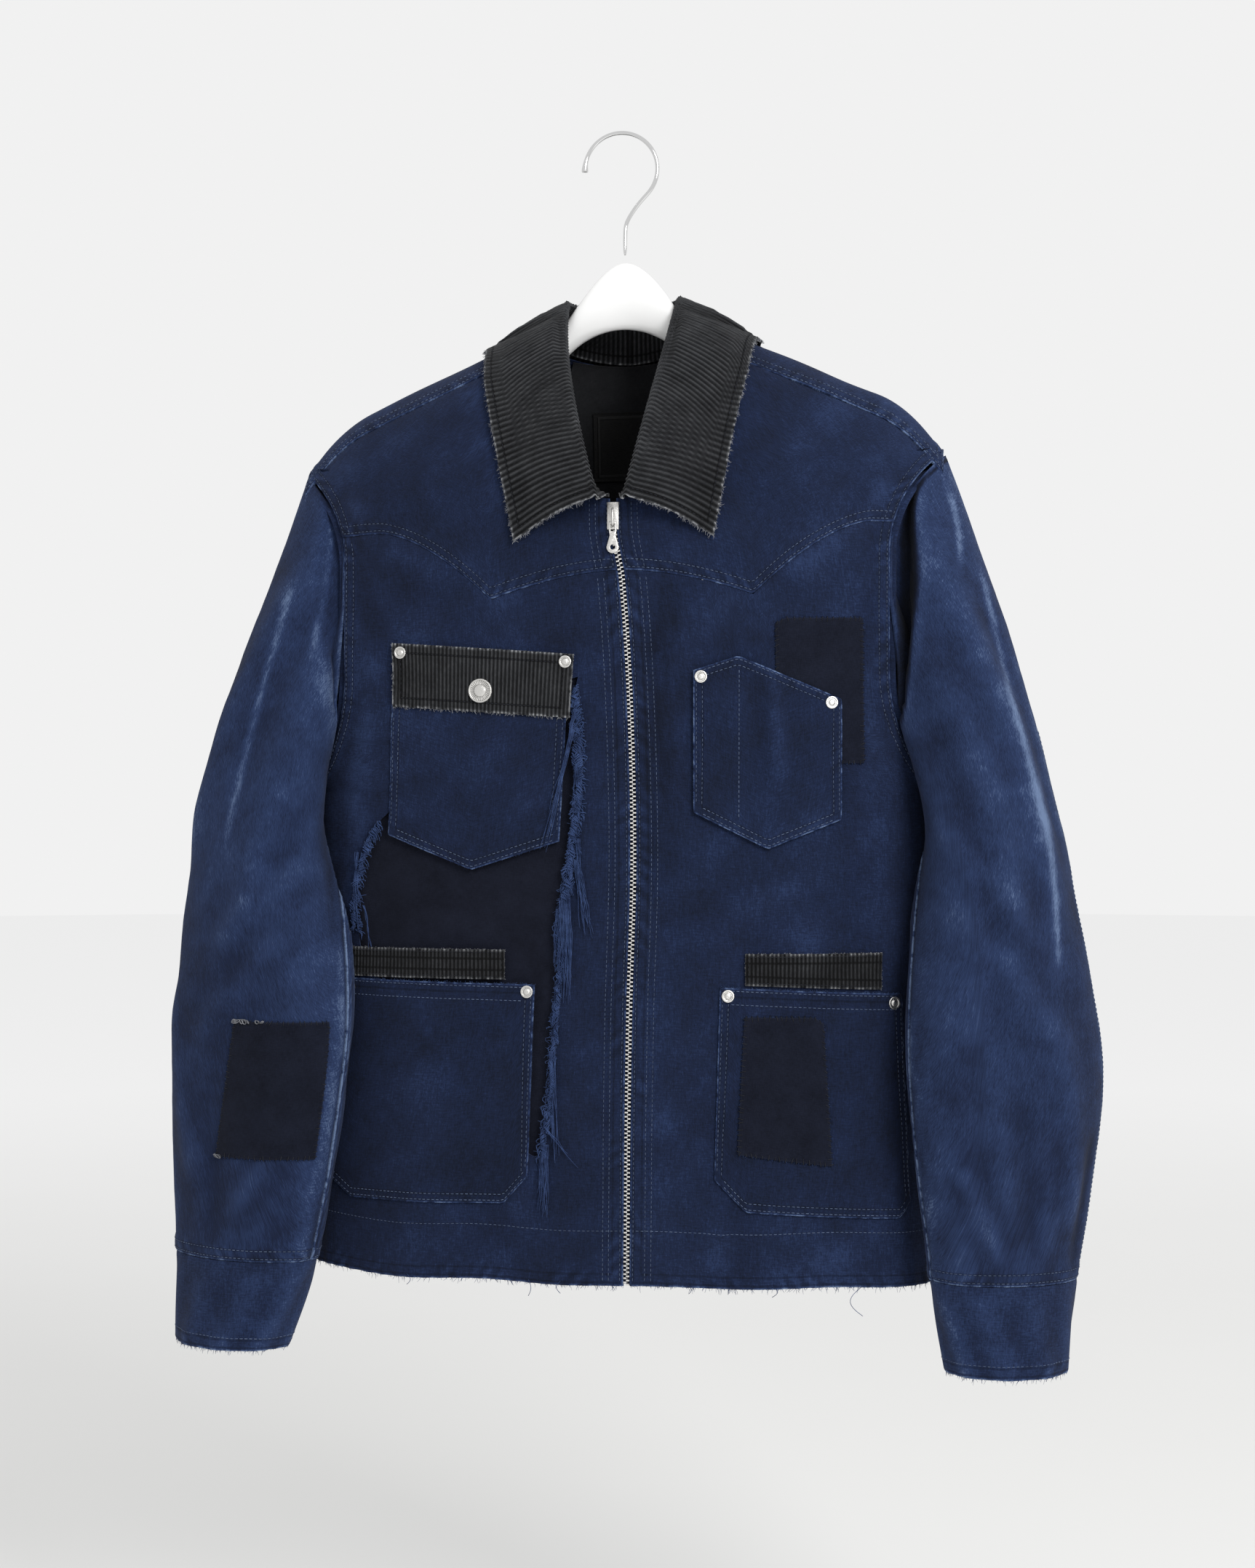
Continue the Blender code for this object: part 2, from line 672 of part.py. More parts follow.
def add_pockets(blue, dark, cord, collection):
    """Chest and hip pockets, flap, bands and patches, each on the form of its panel."""
    on = GAP + FACET + POCKET
    patch_on = GAP + FACET + THIN
    applique("chest_pocket_right", FRONT, line(-0.1665, -0.1625), line(-0.0355, -0.0290),
             chain((-0.1665, -0.5319), (-0.1017, -0.5577), (-0.0355, -0.5367)),
             chain((-0.1665, -0.3940), (-0.0290, -0.4055)), on, POCKET, blue, collection, 6, 5)
    flap_edges = (line(-0.1620, -0.1632), line(-0.0282, -0.0255))
    flap_low = chain((-0.1632, -0.4355), (-0.0255, -0.4466))
    flap_high = chain((-0.1632, -0.3881), (-0.0255, -0.3995))
    corduroy("pocket_flap", flap_edges, flap_low, flap_high, on + GAP + FACET + CORD, cord, collection, 1)
    applique("patch_chest_left", FRONT, line(0.1240, 0.1215), line(0.1845, 0.1852),
             lambda x: -0.4810, chain((0.1215, -0.3790), (0.1290, -0.3752), (0.1852, -0.3756)),
             patch_on, THIN, dark, collection, 5, 5)
    applique("chest_pocket_left", FRONT, line(0.0629, 0.0625), line(0.1687, 0.1692),
             chain((0.0625, -0.5159), (0.1165, -0.5430), (0.1692, -0.5218)),
             chain((0.0625, -0.4127), (0.0949, -0.4025), (0.1692, -0.4344)),
             patch_on + on, POCKET, blue, collection, 6, 5)
    applique("hip_pocket_right", FRONT, line(-0.2170, -0.2019), line(-0.0580, -0.0534),
             chain((-0.2170, -0.7900), (-0.1964, -0.8052), (-0.0763, -0.8025), (-0.0580, -0.7820)),
             chain((-0.2019, -0.6397), (-0.0534, -0.6418)), on, POCKET, blue, collection, 10, 5)
    applique("hip_pocket_left", FRONT, line(0.0785, 0.0821), line(0.2180, 0.2120),
             chain((0.0785, -0.7820), (0.1007, -0.8051), (0.2107, -0.8107), (0.2180, -0.7990)),
             chain((0.0821, -0.6428), (0.2120, -0.6483)), on, POCKET, blue, collection, 10, 5)
    corduroy("corduroy_band_right", (line(-0.1974, -0.1976), line(-0.0758, -0.0760)),
             lambda x: -0.6382, lambda x: -0.6163, GAP + FACET + CORD, cord, collection, 1)
    corduroy("corduroy_band_left", (line(0.1005, 0.1004), line(0.1976, 0.1976)),
             chain((0.1004, -0.6415), (0.1976, -0.6450)), lambda x: -0.6186, GAP + FACET + CORD, cord,
             collection, 1)
    applique("patch_hip_left", FRONT, line(0.0950, 0.1000), line(0.1623, 0.1565),
             chain((0.0950, -0.7632), (0.1623, -0.7713)),
             chain((0.0950, -0.6642), (0.1500, -0.6645), (0.1623, -0.6724)),
             on + patch_on, THIN, dark, collection, 5, 5)

    def sleeve_patch(u, v):
        angle = radians(mix(mix(86, 96, v), 160, u))
        height = mix(-0.7720, -0.6700, v)
        start = armhole_point(angle).z
        return sleeve_point(-1, angle, (start - height) / (start - CUFF_SEAM), patch_on)

    sheet("patch_sleeve_right", sleeve_patch, 6, 5, THIN, dark, collection, sleeve_axis(-1))


def corduroy(name, edges, low, high, level, finish, collection, rows):
    """Applique whose outer face has raised upright wales over a plain inside."""
    left, right = edges
    wales = max(2, round((right(0.5) - left(0.5)) / WALE_PITCH))
    columns = 2 * wales
    inner = level - CORD
    bm = bmesh.new()
    bmesh.ops.create_grid(bm, x_segments=columns, y_segments=rows, size=0.5)

    def place(u, v, lift):
        x = mix(left(v), right(v), u)
        return on_body(FRONT, x, mix(low(x), high(x), v), lift)

    front = list(bm.verts)
    shares = {vert: (clamp(vert.co.x + 0.5), clamp(vert.co.y + 0.5)) for vert in front}
    for vert, (u, v) in shares.items():
        ridge_row = round(u * columns) % 2 == 1
        vert.co = place(u, v, level if ridge_row else level - WALE_RISE)
    rim = [edge for edge in bm.edges if edge.is_boundary]
    skirt = bmesh.ops.extrude_edge_only(bm, edges=rim)["geom"]
    moved = {vert for vert in skirt if isinstance(vert, bmesh.types.BMVert)}
    for vert in moved:
        twin = min(shares, key=lambda other: (other.co - vert.co).length_squared)
        vert.co = place(*shares[twin], inner)
    back_rim = [edge for edge in bm.edges if edge.is_boundary]
    bmesh.ops.contextual_create(bm, geom=back_rim)
    bmesh.ops.triangulate(bm, faces=[f for f in bm.faces if len(f.verts) > 4])
    bmesh.ops.recalc_face_normals(bm, faces=bm.faces)
    data = bpy.data.meshes.new(name)
    bm.to_mesh(data)
    bm.free()
    return add_object(name, data, finish, collection)


# Collar

def neck_point(share):
    """Point of the neck seam: share 0 is the back's middle and 1 the front's middle."""
    if share <= BACK_SHARE:
        x = NECK_HALF * sin(share / BACK_SHARE * pi / 2)
        z = mix(NECK_BACK, ridge(NECK_HALF), (x / NECK_HALF) ** 2)
        return Vector((x, body_depth(BACK, x, z), z))
    turn = (share - BACK_SHARE) / (1 - BACK_SHARE) * pi / 2
    x = NECK_HALF * abs(cos(turn)) ** (1 / 1.1)
    z = NECK_FRONT + (ridge(NECK_HALF) - NECK_FRONT) * (1 - sin(turn))
    return Vector((x, body_depth(FRONT, x, z), z))


def fold_point(share):
    """Point of the collar's fold, its highest line."""
    if share <= BACK_SHARE:
        turn = share / BACK_SHARE * pi / 2
        return Vector((FOLD_HALF * sin(turn), 0.004 + (FOLD_BACK - 0.004) * cos(turn), FOLD_TOP))
    q = (share - BACK_SHARE) / (1 - BACK_SHARE)
    return Vector((mix(FOLD_HALF, TIP_IN.x, q ** 1.4), mix(0.004, TIP_IN.y, sin(q * pi / 2) ** 0.8),
                   mix(FOLD_TOP, TIP_IN.z, q)))


def leaf_point(share):
    """Point of the leaf's outer edge, before it is laid on the body."""
    if share <= BACK_SHARE:
        turn = share / BACK_SHARE * pi / 2
        z = mix(LEAF_BACK_Z, LEAF_SIDE_Z, sin(turn) ** 3)
        deep = body_depth(BACK, 0, LEAF_BACK_Z) + 0.004
        return Vector((LEAF_SIDE_X * sin(turn), deep * cos(turn), z))
    q = (share - BACK_SHARE) / (1 - BACK_SHARE)
    x = mix(LEAF_SIDE_X, TIP_OUT_X, q ** 0.9)
    z = mix(LEAF_SIDE_Z, TIP_OUT_Z, q)
    return Vector((x, mix(0, body_depth(FRONT, x, z), clamp(q / 0.2)) - 0.003, z))


def laid_on_body(point, clearance):
    """Point moved out of the body's form by at least a clearance."""
    side = FRONT if point.y < 0 else BACK
    deep = half_depth(side, point.z) * section(point.x, point.z)
    across = point.y / deep
    down = 1 - clamp((ridge(point.x) - point.z) / TURN, -1, 1)
    size = sqrt(across ** 2 + down ** 2)
    normal = Vector((0, across / deep, down / TURN)).normalized()
    surface = Vector((point.x, across / size * deep, ridge(point.x) - TURN * (1 - down / size)))
    gap = (point - surface).dot(normal)
    return point if gap > clearance else surface + normal * clearance


def collar_point(across, along):
    """Point of the collar: across from stand to leaf edge, along from right to left front."""
    side = -1 if along < 0 else 1
    share = abs(along)
    seam, fold, edge = neck_point(share), fold_point(share), leaf_point(share)
    away = Vector((edge.x - fold.x, edge.y - fold.y, 0)).normalized()
    seam += (Vector((0, 0, -0.15)) - seam).normalized() * (COLLAR_WALL + 0.0025)
    seam.x = max(seam.x, 0.0035) if share > BACK_SHARE else seam.x
    roll = 0.0032
    stand_top = fold - away * roll * 0.8 - Vector((0, 0, roll * 1.2))
    leaf_top = fold + away * roll * 1.2 - Vector((0, 0, roll * 0.8))
    if across < 0.40:
        point = mix(seam, stand_top, across / 0.40)
    elif across < 0.5:
        point = mix(stand_top, fold, (across - 0.40) / 0.1)
    elif across < 0.6:
        point = mix(fold, leaf_top, (across - 0.5) / 0.1)
    else:
        w = (across - 0.6) / 0.4
        point = mix(leaf_top, edge, w) + Vector((0, 0, 0.004 * sin(pi * w)))
        point = laid_on_body(point, COLLAR_WALL + GAP + 5 * FACET)
    drift = neck_shift(seam.x) if share > BACK_SHARE else 0.0
    return leaned(Vector((side * point.x + drift, point.y, point.z)))


def add_collar(finish, collection):
    """Collar whose stand rises from the neck seam and whose leaf falls over the yokes."""
    def place(u, v):
        return collar_point(v, 2 * u - 1)

    def inner(point):
        return Vector((0, 0, -0.33)) if point.z < -0.127 else Vector((point.x, point.y, -0.2))

    sheet("collar", place, 32, 10, COLLAR_WALL, finish, collection, inner)


# Trims

def face_out(made, side, x, z, level):
    """Seat a turned piece on a panel, its axis along the panel's normal."""
    seat = on_body(side, x, z, level)
    normal = (on_body(side, x, z, level + 0.001) - seat).normalized()
    made.matrix_world = Matrix.Translation(seat) @ normal.to_track_quat("Z", "Y").to_matrix().to_4x4()
    return made


def turned(name, profile, steps, finish, collection):
    """Turned piece from a profile that runs down its outer side."""
    data = bpy.data.meshes.new(name)
    data.from_pydata([(r, 0, z) for r, z in profile], [(k, k + 1) for k in range(len(profile) - 1)], [])
    made = add_object(name, data, finish, collection)
    spin = made.modifiers.new("Turn", "SCREW")
    spin.steps = spin.render_steps = steps
    spin.use_merge_vertices = True
    spin.merge_threshold = 0.0001
    return made


def add_fasteners(metal, collection):
    """Rivets at the pocket corners and the flap's button."""
    r = RIVET_RADIUS
    rivet = ((0, 0.0019), (r * 0.25, 0.0018), (r * 0.32, 0.0012), (r * 0.75, 0.0014),
             (r, 0.0008), (r, 0), (0, 0))
    pocket = GAP + FACET + POCKET
    flap, upper = pocket + GAP + FACET + CORD, pocket + GAP + FACET + THIN
    places = (("flap_rivet_right", -0.1562, -0.3955, flap), ("flap_rivet_left", -0.0315, -0.4050, flap),
              ("chest_rivet_right", 0.0679, -0.4175, upper), ("chest_rivet_left", 0.1619, -0.4370, upper),
              ("hip_right_rivet_inner", -0.0590, -0.6470, pocket),
              ("hip_right_rivet_outer", -0.1960, -0.6465, pocket),
              ("hip_left_rivet_inner", 0.0880, -0.6490, pocket),
              ("hip_left_rivet_outer", 0.2060, -0.6550, pocket))
    for name, x, z, level in places:
        face_out(turned(name, rivet, 10, metal, collection), FRONT, x, z, level + GAP)
    r = BUTTON_RADIUS
    button = ((0, 0.0030), (r * 0.55, 0.0030), (r * 0.62, 0.0036), (r * 0.88, 0.0036), (r, 0.0026),
              (r * 0.94, 0.0012), (r * 0.40, 0.0009), (r * 0.40, 0), (0, 0))
    face_out(turned("flap_button", button, 16, metal, collection), FRONT, -0.0944, -0.4254, flap + GAP)


def add_slider(metal, collection, cutters):
    """Zip slider with its bridge, and the pull tab that swings on it."""
    middle_z = (SLIDER_TOP + SLIDER_BOTTOM) / 2
    x = zip_x(middle_z)
    face = body_depth(FRONT, x, PULL_AXIS_Z) - GAP * 2
    half, post, length = 0.0042, 0.0013, SLIDER_TOP - SLIDER_BOTTOM
    outline = [(-half, -PLATE), (half, -PLATE), (half, 0), (post, 0), (post, CLOTH),
               (-post, CLOTH), (-post, 0), (-half, 0)]
    slider = plate("zip_slider", [outline], length, metal, collection)
    slider.location = (x, face, middle_z)
    slider = solid_of(slider, collection)
    front = face - PLATE
    crown = front - BRIDGE_CLEAR - BRIDGE_WIRE
    low, high = PULL_AXIS_Z - 0.0022, PULL_AXIS_Z + 0.0105
    rise = 0.0016
    path = [(x, front + 0.0004, low), (x, crown + rise, low), (x, crown + rise * 0.3, low + rise * 0.3),
            (x, crown, low + rise), (x, crown, high - rise), (x, crown + rise * 0.3, high - rise * 0.3),
            (x, crown + rise, high), (x, front + 0.0004, high)]
    bridge = solid_of(wire("slider_bridge", path, BRIDGE_WIRE, metal, collection), collection)
    join(slider, bridge, "UNION", cutters)

    bar, slot, top = 0.0008, 0.0062, 0.0028
    foot = PULL_LENGTH - 0.0046
    outer = [(-top, bar), (-top, -slot), (-0.0022, -slot - 0.003)]
    outer += arc((0, -foot), 0.0046, 180, 360, 8)
    outer += [(0.0022, -slot - 0.003), (top, -slot), (top, bar)]
    window = [(-0.0016, -bar), (0.0016, -bar), (0.0016, -slot), (-0.0016, -slot)]
    hole = arc((0, -foot), 0.0019, 0, 330, 11)
    pull = plate("zip_pull", [outer, window, hole], PULL_WALL, metal, collection)
    pull.rotation_euler = (radians(90), 0, 0)
    pull.location = (x, front - BRIDGE_CLEAR / 2, PULL_AXIS_Z)


def add_fringe(name, edge_x, first, last, step, toward, finish, collection):
    """Frayed yarns along a torn edge, their roots in a narrow strip just off the cloth.

    The strip is one row of cells; every second cell's outer face is drawn out into a strand.
    """
    cells = int(abs(last - first) / step)
    bm = bmesh.new()
    bmesh.ops.create_grid(bm, x_segments=cells, y_segments=1, size=0.5)
    for vert in bm.verts:
        z = mix(first, last, clamp(vert.co.x + 0.5))
        x = edge_x(z) + toward * (ROOT_OFF + (ROOT_WIDTH if vert.co.y > 0 else 0))
        vert.co = on_body(FRONT, x, z, -ROOT_SUNK)
    bm.normal_update()
    if sum(face.normal.y for face in bm.faces) > 0:
        bmesh.ops.reverse_faces(bm, faces=bm.faces)
    base = list(bm.faces)
    made = bmesh.ops.extrude_face_region(bm, geom=base)["geom"]
    for vert in (v for v in made if isinstance(v, bmesh.types.BMVert)):
        vert.co.y -= ROOT_WALL
    bmesh.ops.reverse_faces(bm, faces=base)
    bm.normal_update()
    tops = [face for face in made if isinstance(face, bmesh.types.BMFace)]
    tops.sort(key=lambda face: -face.calc_center_median().z)
    for k, face in enumerate(tops):
        if k % 2 == 0:
            draw_out(bm, face, k, toward)
    bmesh.ops.recalc_face_normals(bm, faces=bm.faces)
    if bm.calc_volume(signed=True) < 0:
        bmesh.ops.reverse_faces(bm, faces=bm.faces)
    data = bpy.data.meshes.new(name)
    bm.to_mesh(data)
    bm.free()
    add_object(name, data, finish, collection)


def draw_out(bm, face, order, toward):
    """Extrude one strand from a face of the strip, out from the cloth and then along or down it."""
    wave = 0.5 + 0.5 * sin(order * UNEVEN)
    root, heading = face.calc_center_median(), face.normal.copy()
    if order % LONG_EVERY == 6:
        fall, out = mix(*LONG_FALL, wave), 0.0030 + 0.0012 * (order % (3 * LONG_EVERY)) / LONG_EVERY
        path = [(0.0004, out, 0.0004)] + [(0.10 * fall * k / 5, out, fall * k / 5) for k in range(1, 6)]
    else:
        reach, out = mix(*SHORT_REACH, wave), 0.0012 + 0.0008 * wave
        path = [(0.0003, 0.8 * out, 0), (reach * 0.5, out, reach * 0.2), (reach, out, reach * 0.7)]
    goals = [on_body(FRONT, root.x + toward * x, root.z - z, level) for x, level, z in path]
    for k, goal in enumerate(goals):
        ahead = goals[min(k + 1, len(goals) - 1)] - (goals[k - 1] if k else root)
        turn = heading.rotation_difference(ahead.normalized())
        face = bmesh.ops.extrude_discrete_faces(bm, faces=[face])["faces"][0]
        here = face.calc_center_median()
        for vert in face.verts:
            corner = (vert.co - here).normalized() * mix(STRAND, STRAND / 2, k / (len(goals) - 1))
            corner.rotate(turn)
            vert.co = goal + corner
        heading = ahead.normalized()


# Hanger

def add_hanger(plastic, metal, collection):
    """Plastic hanger body and its wire hook."""
    data = bpy.data.meshes.new("hanger_body")
    bm = bmesh.new()
    bmesh.ops.create_uvsphere(bm, u_segments=12, v_segments=26, radius=1.0)
    for vert in bm.verts:
        along = clamp(vert.co.z, -1, 1)
        x = HANGER_HALF * (2 / pi) * asin(along)
        girth = sqrt(max(0.0, vert.co.x ** 2 + vert.co.y ** 2))
        spread = min(1.0, girth * 3.2)
        unit = Vector((vert.co.x, vert.co.y)) / girth if girth > 1e-6 else Vector((0, 0))
        under = ridge(x) - CLOTH - mix(0.0088, 0.0022, clamp((abs(x) - 0.085) / 0.050))
        top = max(HUMP_TOP - HUMP_FALL * (abs(x - HUMP_X) / HUMP_HALF) ** 1.6, under)
        low = max(ARCH_TOP - 0.018 * (x / 0.045) ** 2, under - HANGER_BAR)
        low = min(low, top - HANGER_BAR * 0.9)
        thick = mix(0.0070, 0.0155, clamp(abs(x) / 0.2))
        vert.co = leaned(Vector((x, unit.x * spread * thick,
                                 (top + low) / 2 + unit.y * spread * (top - low) / 2)))
    bmesh.ops.recalc_face_normals(bm, faces=bm.faces)
    bm.to_mesh(data)
    bm.free()
    data.shade_smooth()
    add_object("hanger_body", data, plastic, collection)

    centre = (HOOK_X, -HOOK_RING + HOOK_WIRE)
    ring = arc(centre, HOOK_RING, 184, -50, 20)
    stem_top = -0.068
    last = ring[-1]
    bend = [(mix(last[0], STEM_X, 0.45), last[1] - 0.0075), (STEM_X + 0.0012, stem_top + 0.002)]
    stem = [(STEM_X, stem_top - 0.004), (STEM_X, HUMP_TOP + GAP)]
    path = [(x, 0.0, z) for x, z in ring + bend + stem]

    def thickness(share):
        return 1.0 + 0.9 * exp(-((share / 0.035) ** 2))

    wire("hanger_hook", path, HOOK_WIRE, metal, collection, thickness)


def main():
    """Build every piece of the jacket and its hanger."""
    for old in list(bpy.data.objects):
        bpy.data.objects.remove(old)
    jacket = bpy.data.collections.new("patched_work_jacket")
    cutters = bpy.data.collections.new("cutters")
    bpy.context.scene.collection.children.link(jacket)
    bpy.context.scene.collection.children.link(cutters)
    blue = material("indigo_canvas", (0.018, 0.036, 0.105))
    dark = material("dark_patch", (0.010, 0.011, 0.022))
    black = material("black_lining", (0.006, 0.006, 0.008))
    label = material("label_cloth", (0.010, 0.010, 0.014))
    cord = material("charcoal_corduroy", (0.030, 0.030, 0.032))
    tape = material("zip_tape", (0.014, 0.020, 0.050))
    yarn = material("blue_yarn", (0.025, 0.050, 0.150))
    steel = material("silver_metal", (0.75, 0.75, 0.76), 0.3, 1.0)
    white = material("white_plastic", (0.86, 0.87, 0.88), 0.25)
    add_yokes(blue, jacket)
    add_fronts(blue, jacket, cutters)
    add_back(blue, jacket)
    add_insides(dark, black, label, jacket)
    add_tapes(tape, jacket)
    add_sleeves(blue, jacket)
    add_pockets(blue, dark, cord, jacket)
    add_collar(cord, jacket)
    add_fasteners(steel, jacket)
    add_slider(steel, jacket, cutters)
    add_fringe("rip_fringe_front", rip_right_x, -0.424, -0.766, 0.0064, -1, yarn, jacket)
    add_fringe("rip_fringe_side", rip_left_x, -0.524, -0.602, 0.0055, 1, yarn, jacket)
    add_hanger(white, steel, jacket)


main()
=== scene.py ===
"""Patched work jacket on a hanger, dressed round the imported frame.

Lengths are metres. +Z is up, the jacket's front faces -Y and +X is the wearer's left. Every cloth
piece is a thin shell on the garment's form, which is the form that the frame's solids have.
"""

import logging
from dataclasses import dataclass, field
from enum import Enum
from math import cos, pi, radians, sin
from typing import Callable, Iterable, Optional, Sequence

import bpy
import numpy as np
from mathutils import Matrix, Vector


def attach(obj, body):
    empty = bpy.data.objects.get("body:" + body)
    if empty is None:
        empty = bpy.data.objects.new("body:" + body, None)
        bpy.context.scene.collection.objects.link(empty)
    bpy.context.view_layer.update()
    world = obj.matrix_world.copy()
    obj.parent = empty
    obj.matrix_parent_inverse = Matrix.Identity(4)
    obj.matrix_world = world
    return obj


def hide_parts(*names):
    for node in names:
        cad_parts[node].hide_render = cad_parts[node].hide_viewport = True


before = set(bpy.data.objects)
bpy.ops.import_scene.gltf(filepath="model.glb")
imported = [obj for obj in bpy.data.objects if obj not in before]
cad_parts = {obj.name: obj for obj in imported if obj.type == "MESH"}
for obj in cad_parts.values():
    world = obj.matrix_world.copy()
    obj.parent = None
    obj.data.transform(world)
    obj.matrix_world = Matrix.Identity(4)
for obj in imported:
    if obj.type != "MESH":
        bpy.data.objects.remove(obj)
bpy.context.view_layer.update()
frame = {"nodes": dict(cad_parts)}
LOG = logging.getLogger("jacket")
BODY = "jacket"
Array = np.ndarray
Piece = bpy.types.Object
Socket = bpy.types.NodeSocket
EdgeLine = Callable[[np.ndarray], np.ndarray]
Colour = tuple[float, float, float]

CLOTH, THIN, POCKET, CORD, GAP, FACET = 0.0018, 0.0012, 0.0014, 0.0018, 0.0003, 0.0005
FRONT, BACK = -1, 1
# Stitch rows from an edge, and the pitch and slant of a seam's roping
SEAM_ROWS, POCKET_ROW = (0.0024, 0.0084), 0.0066
ROPE_PITCH, ROPE_SLANT = 0.0125, 0.018


def clamp(value: Array, low: float = 0.0, high: float = 1.0) -> Array:
    """Hold values between low and high."""
    return np.clip(value, low, high)


def mix(start: Array, end: Array, share: Array) -> Array:
    """Values that lie share of the way from start to end."""
    return start + (end - start) * share


def smooth(value: Array) -> Array:
    """Ease values from 0 to 1."""
    held = clamp(value)
    return held * held * (3 - 2 * held)


def unit(vectors: Array) -> Array:
    """Scale vectors to a length of one."""
    return vectors / np.maximum(np.linalg.norm(vectors, axis=-1, keepdims=True), 1e-9)


def through(stations: Sequence[Sequence[float]], height: Array, column: int) -> Array:
    """Smooth values of one column of the stations, highest station first.

    Args:
        stations: Rows that start with a height.
        height: Heights to read at.
        column: Column to read.

    Returns:
        The column's values at those heights.
    """
    table = np.array(stations)
    z, value = table[:, 0], table[:, column]
    k = clamp(np.searchsorted(-z, -np.asarray(height, float), side="right") - 1, 0, len(z) - 2).astype(int)
    low, high = np.maximum(np.arange(len(z)) - 1, 0), np.minimum(np.arange(len(z)) + 1, len(z) - 1)
    slope = (value[high] - value[low]) / (z[high] - z[low])
    span = z[k + 1] - z[k]
    t = clamp((height - z[k]) / span)
    ends = slope[k] * span * t * (1 - t) ** 2 + slope[k + 1] * span * t * t * (t - 1)
    return mix(value[k], value[k + 1], smooth(t)) + ends


def chain(*points: tuple[float, float]) -> EdgeLine:
    """Edge of straight runs through (x, z) points in order of x."""
    xs, zs = zip(*points)
    return lambda x: np.interp(x, xs, zs)


def line(first: float, last: float) -> EdgeLine:
    """Straight edge between two values."""
    return lambda share: mix(first, last, share)


def level(value: float) -> EdgeLine:
    """Edge of one value."""
    return lambda share: value + 0 * share


@dataclass(frozen=True)
class Fold:
    """A soft ridge or trough along a segment.

    Attributes:
        start: First end, in the surface's own two coordinates.
        end: Last end.
        reach: Half-width over which it fades.
        height: Height, below zero for a trough.
    """

    start: tuple[float, float]
    end: tuple[float, float]
    reach: float
    height: float

    def at(self, a: Array, b: Array) -> Array:
        """Height of the fold at points (a, b)."""
        da, db = self.end[0] - self.start[0], self.end[1] - self.start[1]
        span = da * da + db * db
        t = ((a - self.start[0]) * da + (b - self.start[1]) * db) / span
        held = clamp(t)
        away = (a - self.start[0] - held * da) ** 2 + (b - self.start[1] - held * db) ** 2
        fade = smooth((0.5 - np.abs(held - 0.5)) * 4 + 0.15)
        return self.height * np.exp(-away / self.reach ** 2) * fade


def ripple(a: Array, b: Array, size: float, seed: int) -> Array:
    """Gentle uneven waves between -1 and 1, about size from crest to crest."""
    rng = np.random.default_rng(seed)
    total = 0 * a
    for _ in range(6):
        turn, phase, scale = rng.uniform(0, pi), rng.uniform(0, 2 * pi), rng.uniform(0.7, 1.6)
        total = total + np.sin((a * cos(turn) + b * sin(turn)) * 2 * pi / (size * scale) + phase)
    return total / 4


def folds(*rows: tuple[int, ...]) -> tuple[Fold, ...]:
    """Folds from rows of start, end and reach in millimetres and height in tenths of one."""
    return tuple(Fold((a / 1e3, b / 1e3), (c / 1e3, d / 1e3), reach / 1e3, height / 1e4)
                 for a, b, c, d, reach, height in rows)


# Rows of a fold's start, end and reach in millimetres, and its height in tenths of one
BODY_FOLDS = {
    FRONT: folds(
        (-215, -275, -120, -350, 16, 30), (-205, -330, -150, -430, 12, -16),
        (215, -270, 130, -360, 16, 28), (200, -350, 160, -450, 13, -18),
        (-185, -420, -196, -600, 14, 26), (190, -430, 200, -640, 16, 30), (45, -380, 60, -560, 20, 20),
        (-45, -560, -20, -780, 22, 18), (60, -560, 75, -820, 22, -22), (125, -560, 150, -640, 18, 18),
        (-70, -820, -55, -760, 12, 16), (85, -855, 80, -800, 7, 24), (96, -855, 90, -790, 6, -18),
        (20, -450, 35, -380, 10, -10), (118, -400, 126, -500, 6, 22), (107, -410, 112, -505, 6, -16),
        (-150, -700, -120, -780, 20, 14), (-90, -660, -110, -720, 14, -12),
        (140, -700, 175, -780, 18, 14)),
    BACK: folds(
        (-120, -250, -60, -420, 22, 30), (120, -250, 70, -420, 22, 30),
        (-190, -380, -160, -600, 20, 36), (190, -380, 165, -600, 20, 34),
        (-100, -500, -115, -840, 26, 40), (90, -480, 110, -840, 26, 38),
        (-40, -560, -50, -850, 20, -30), (35, -540, 45, -850, 20, -28),
        (-180, -640, -185, -840, 16, -26), (180, -640, 185, -840, 16, -26)),
}
# The same for the sleeves, where the first of two coordinates is the arc round an arm of this radius
ARC_RADIUS = 0.07
SLEEVE_FOLDS = {
    -1: folds(
        (60, -300, 50, -560, 14, 42), (85, -330, 92, -520, 10, -30), (118, -340, 120, -640, 14, 36),
        (28, -420, 20, -700, 14, -30), (150, -480, 110, -660, 10, -26), (160, -540, 95, -620, 10, 28),
        (150, -600, 80, -690, 10, 22), (40, -640, 85, -800, 14, 32), (170, -740, 120, -820, 9, 22),
        (10, -720, 30, -840, 10, -22), (-60, -400, -50, -800, 20, 34),
        (-100, -500, -120, -780, 14, -30), (100, -700, 105, -845, 12, -22),
        (-30, -600, -10, -760, 12, 26)),
    1: folds(
        (62, -300, 78, -600, 14, 44), (40, -340, 45, -560, 11, -32), (105, -380, 110, -620, 13, 34),
        (135, -420, 128, -700, 12, -30), (160, -520, 100, -600, 10, 30), (155, -580, 85, -680, 10, 24),
        (15, -520, 20, -760, 16, 12), (90, -640, 60, -820, 14, 34), (120, -700, 100, -840, 10, -24),
        (165, -760, 130, -840, 9, 22), (-60, -380, -55, -800, 20, 34),
        (-110, -480, -110, -760, 14, -30), (40, -740, 50, -850, 10, -22),
        (-25, -620, -20, -800, 12, 26)),
}


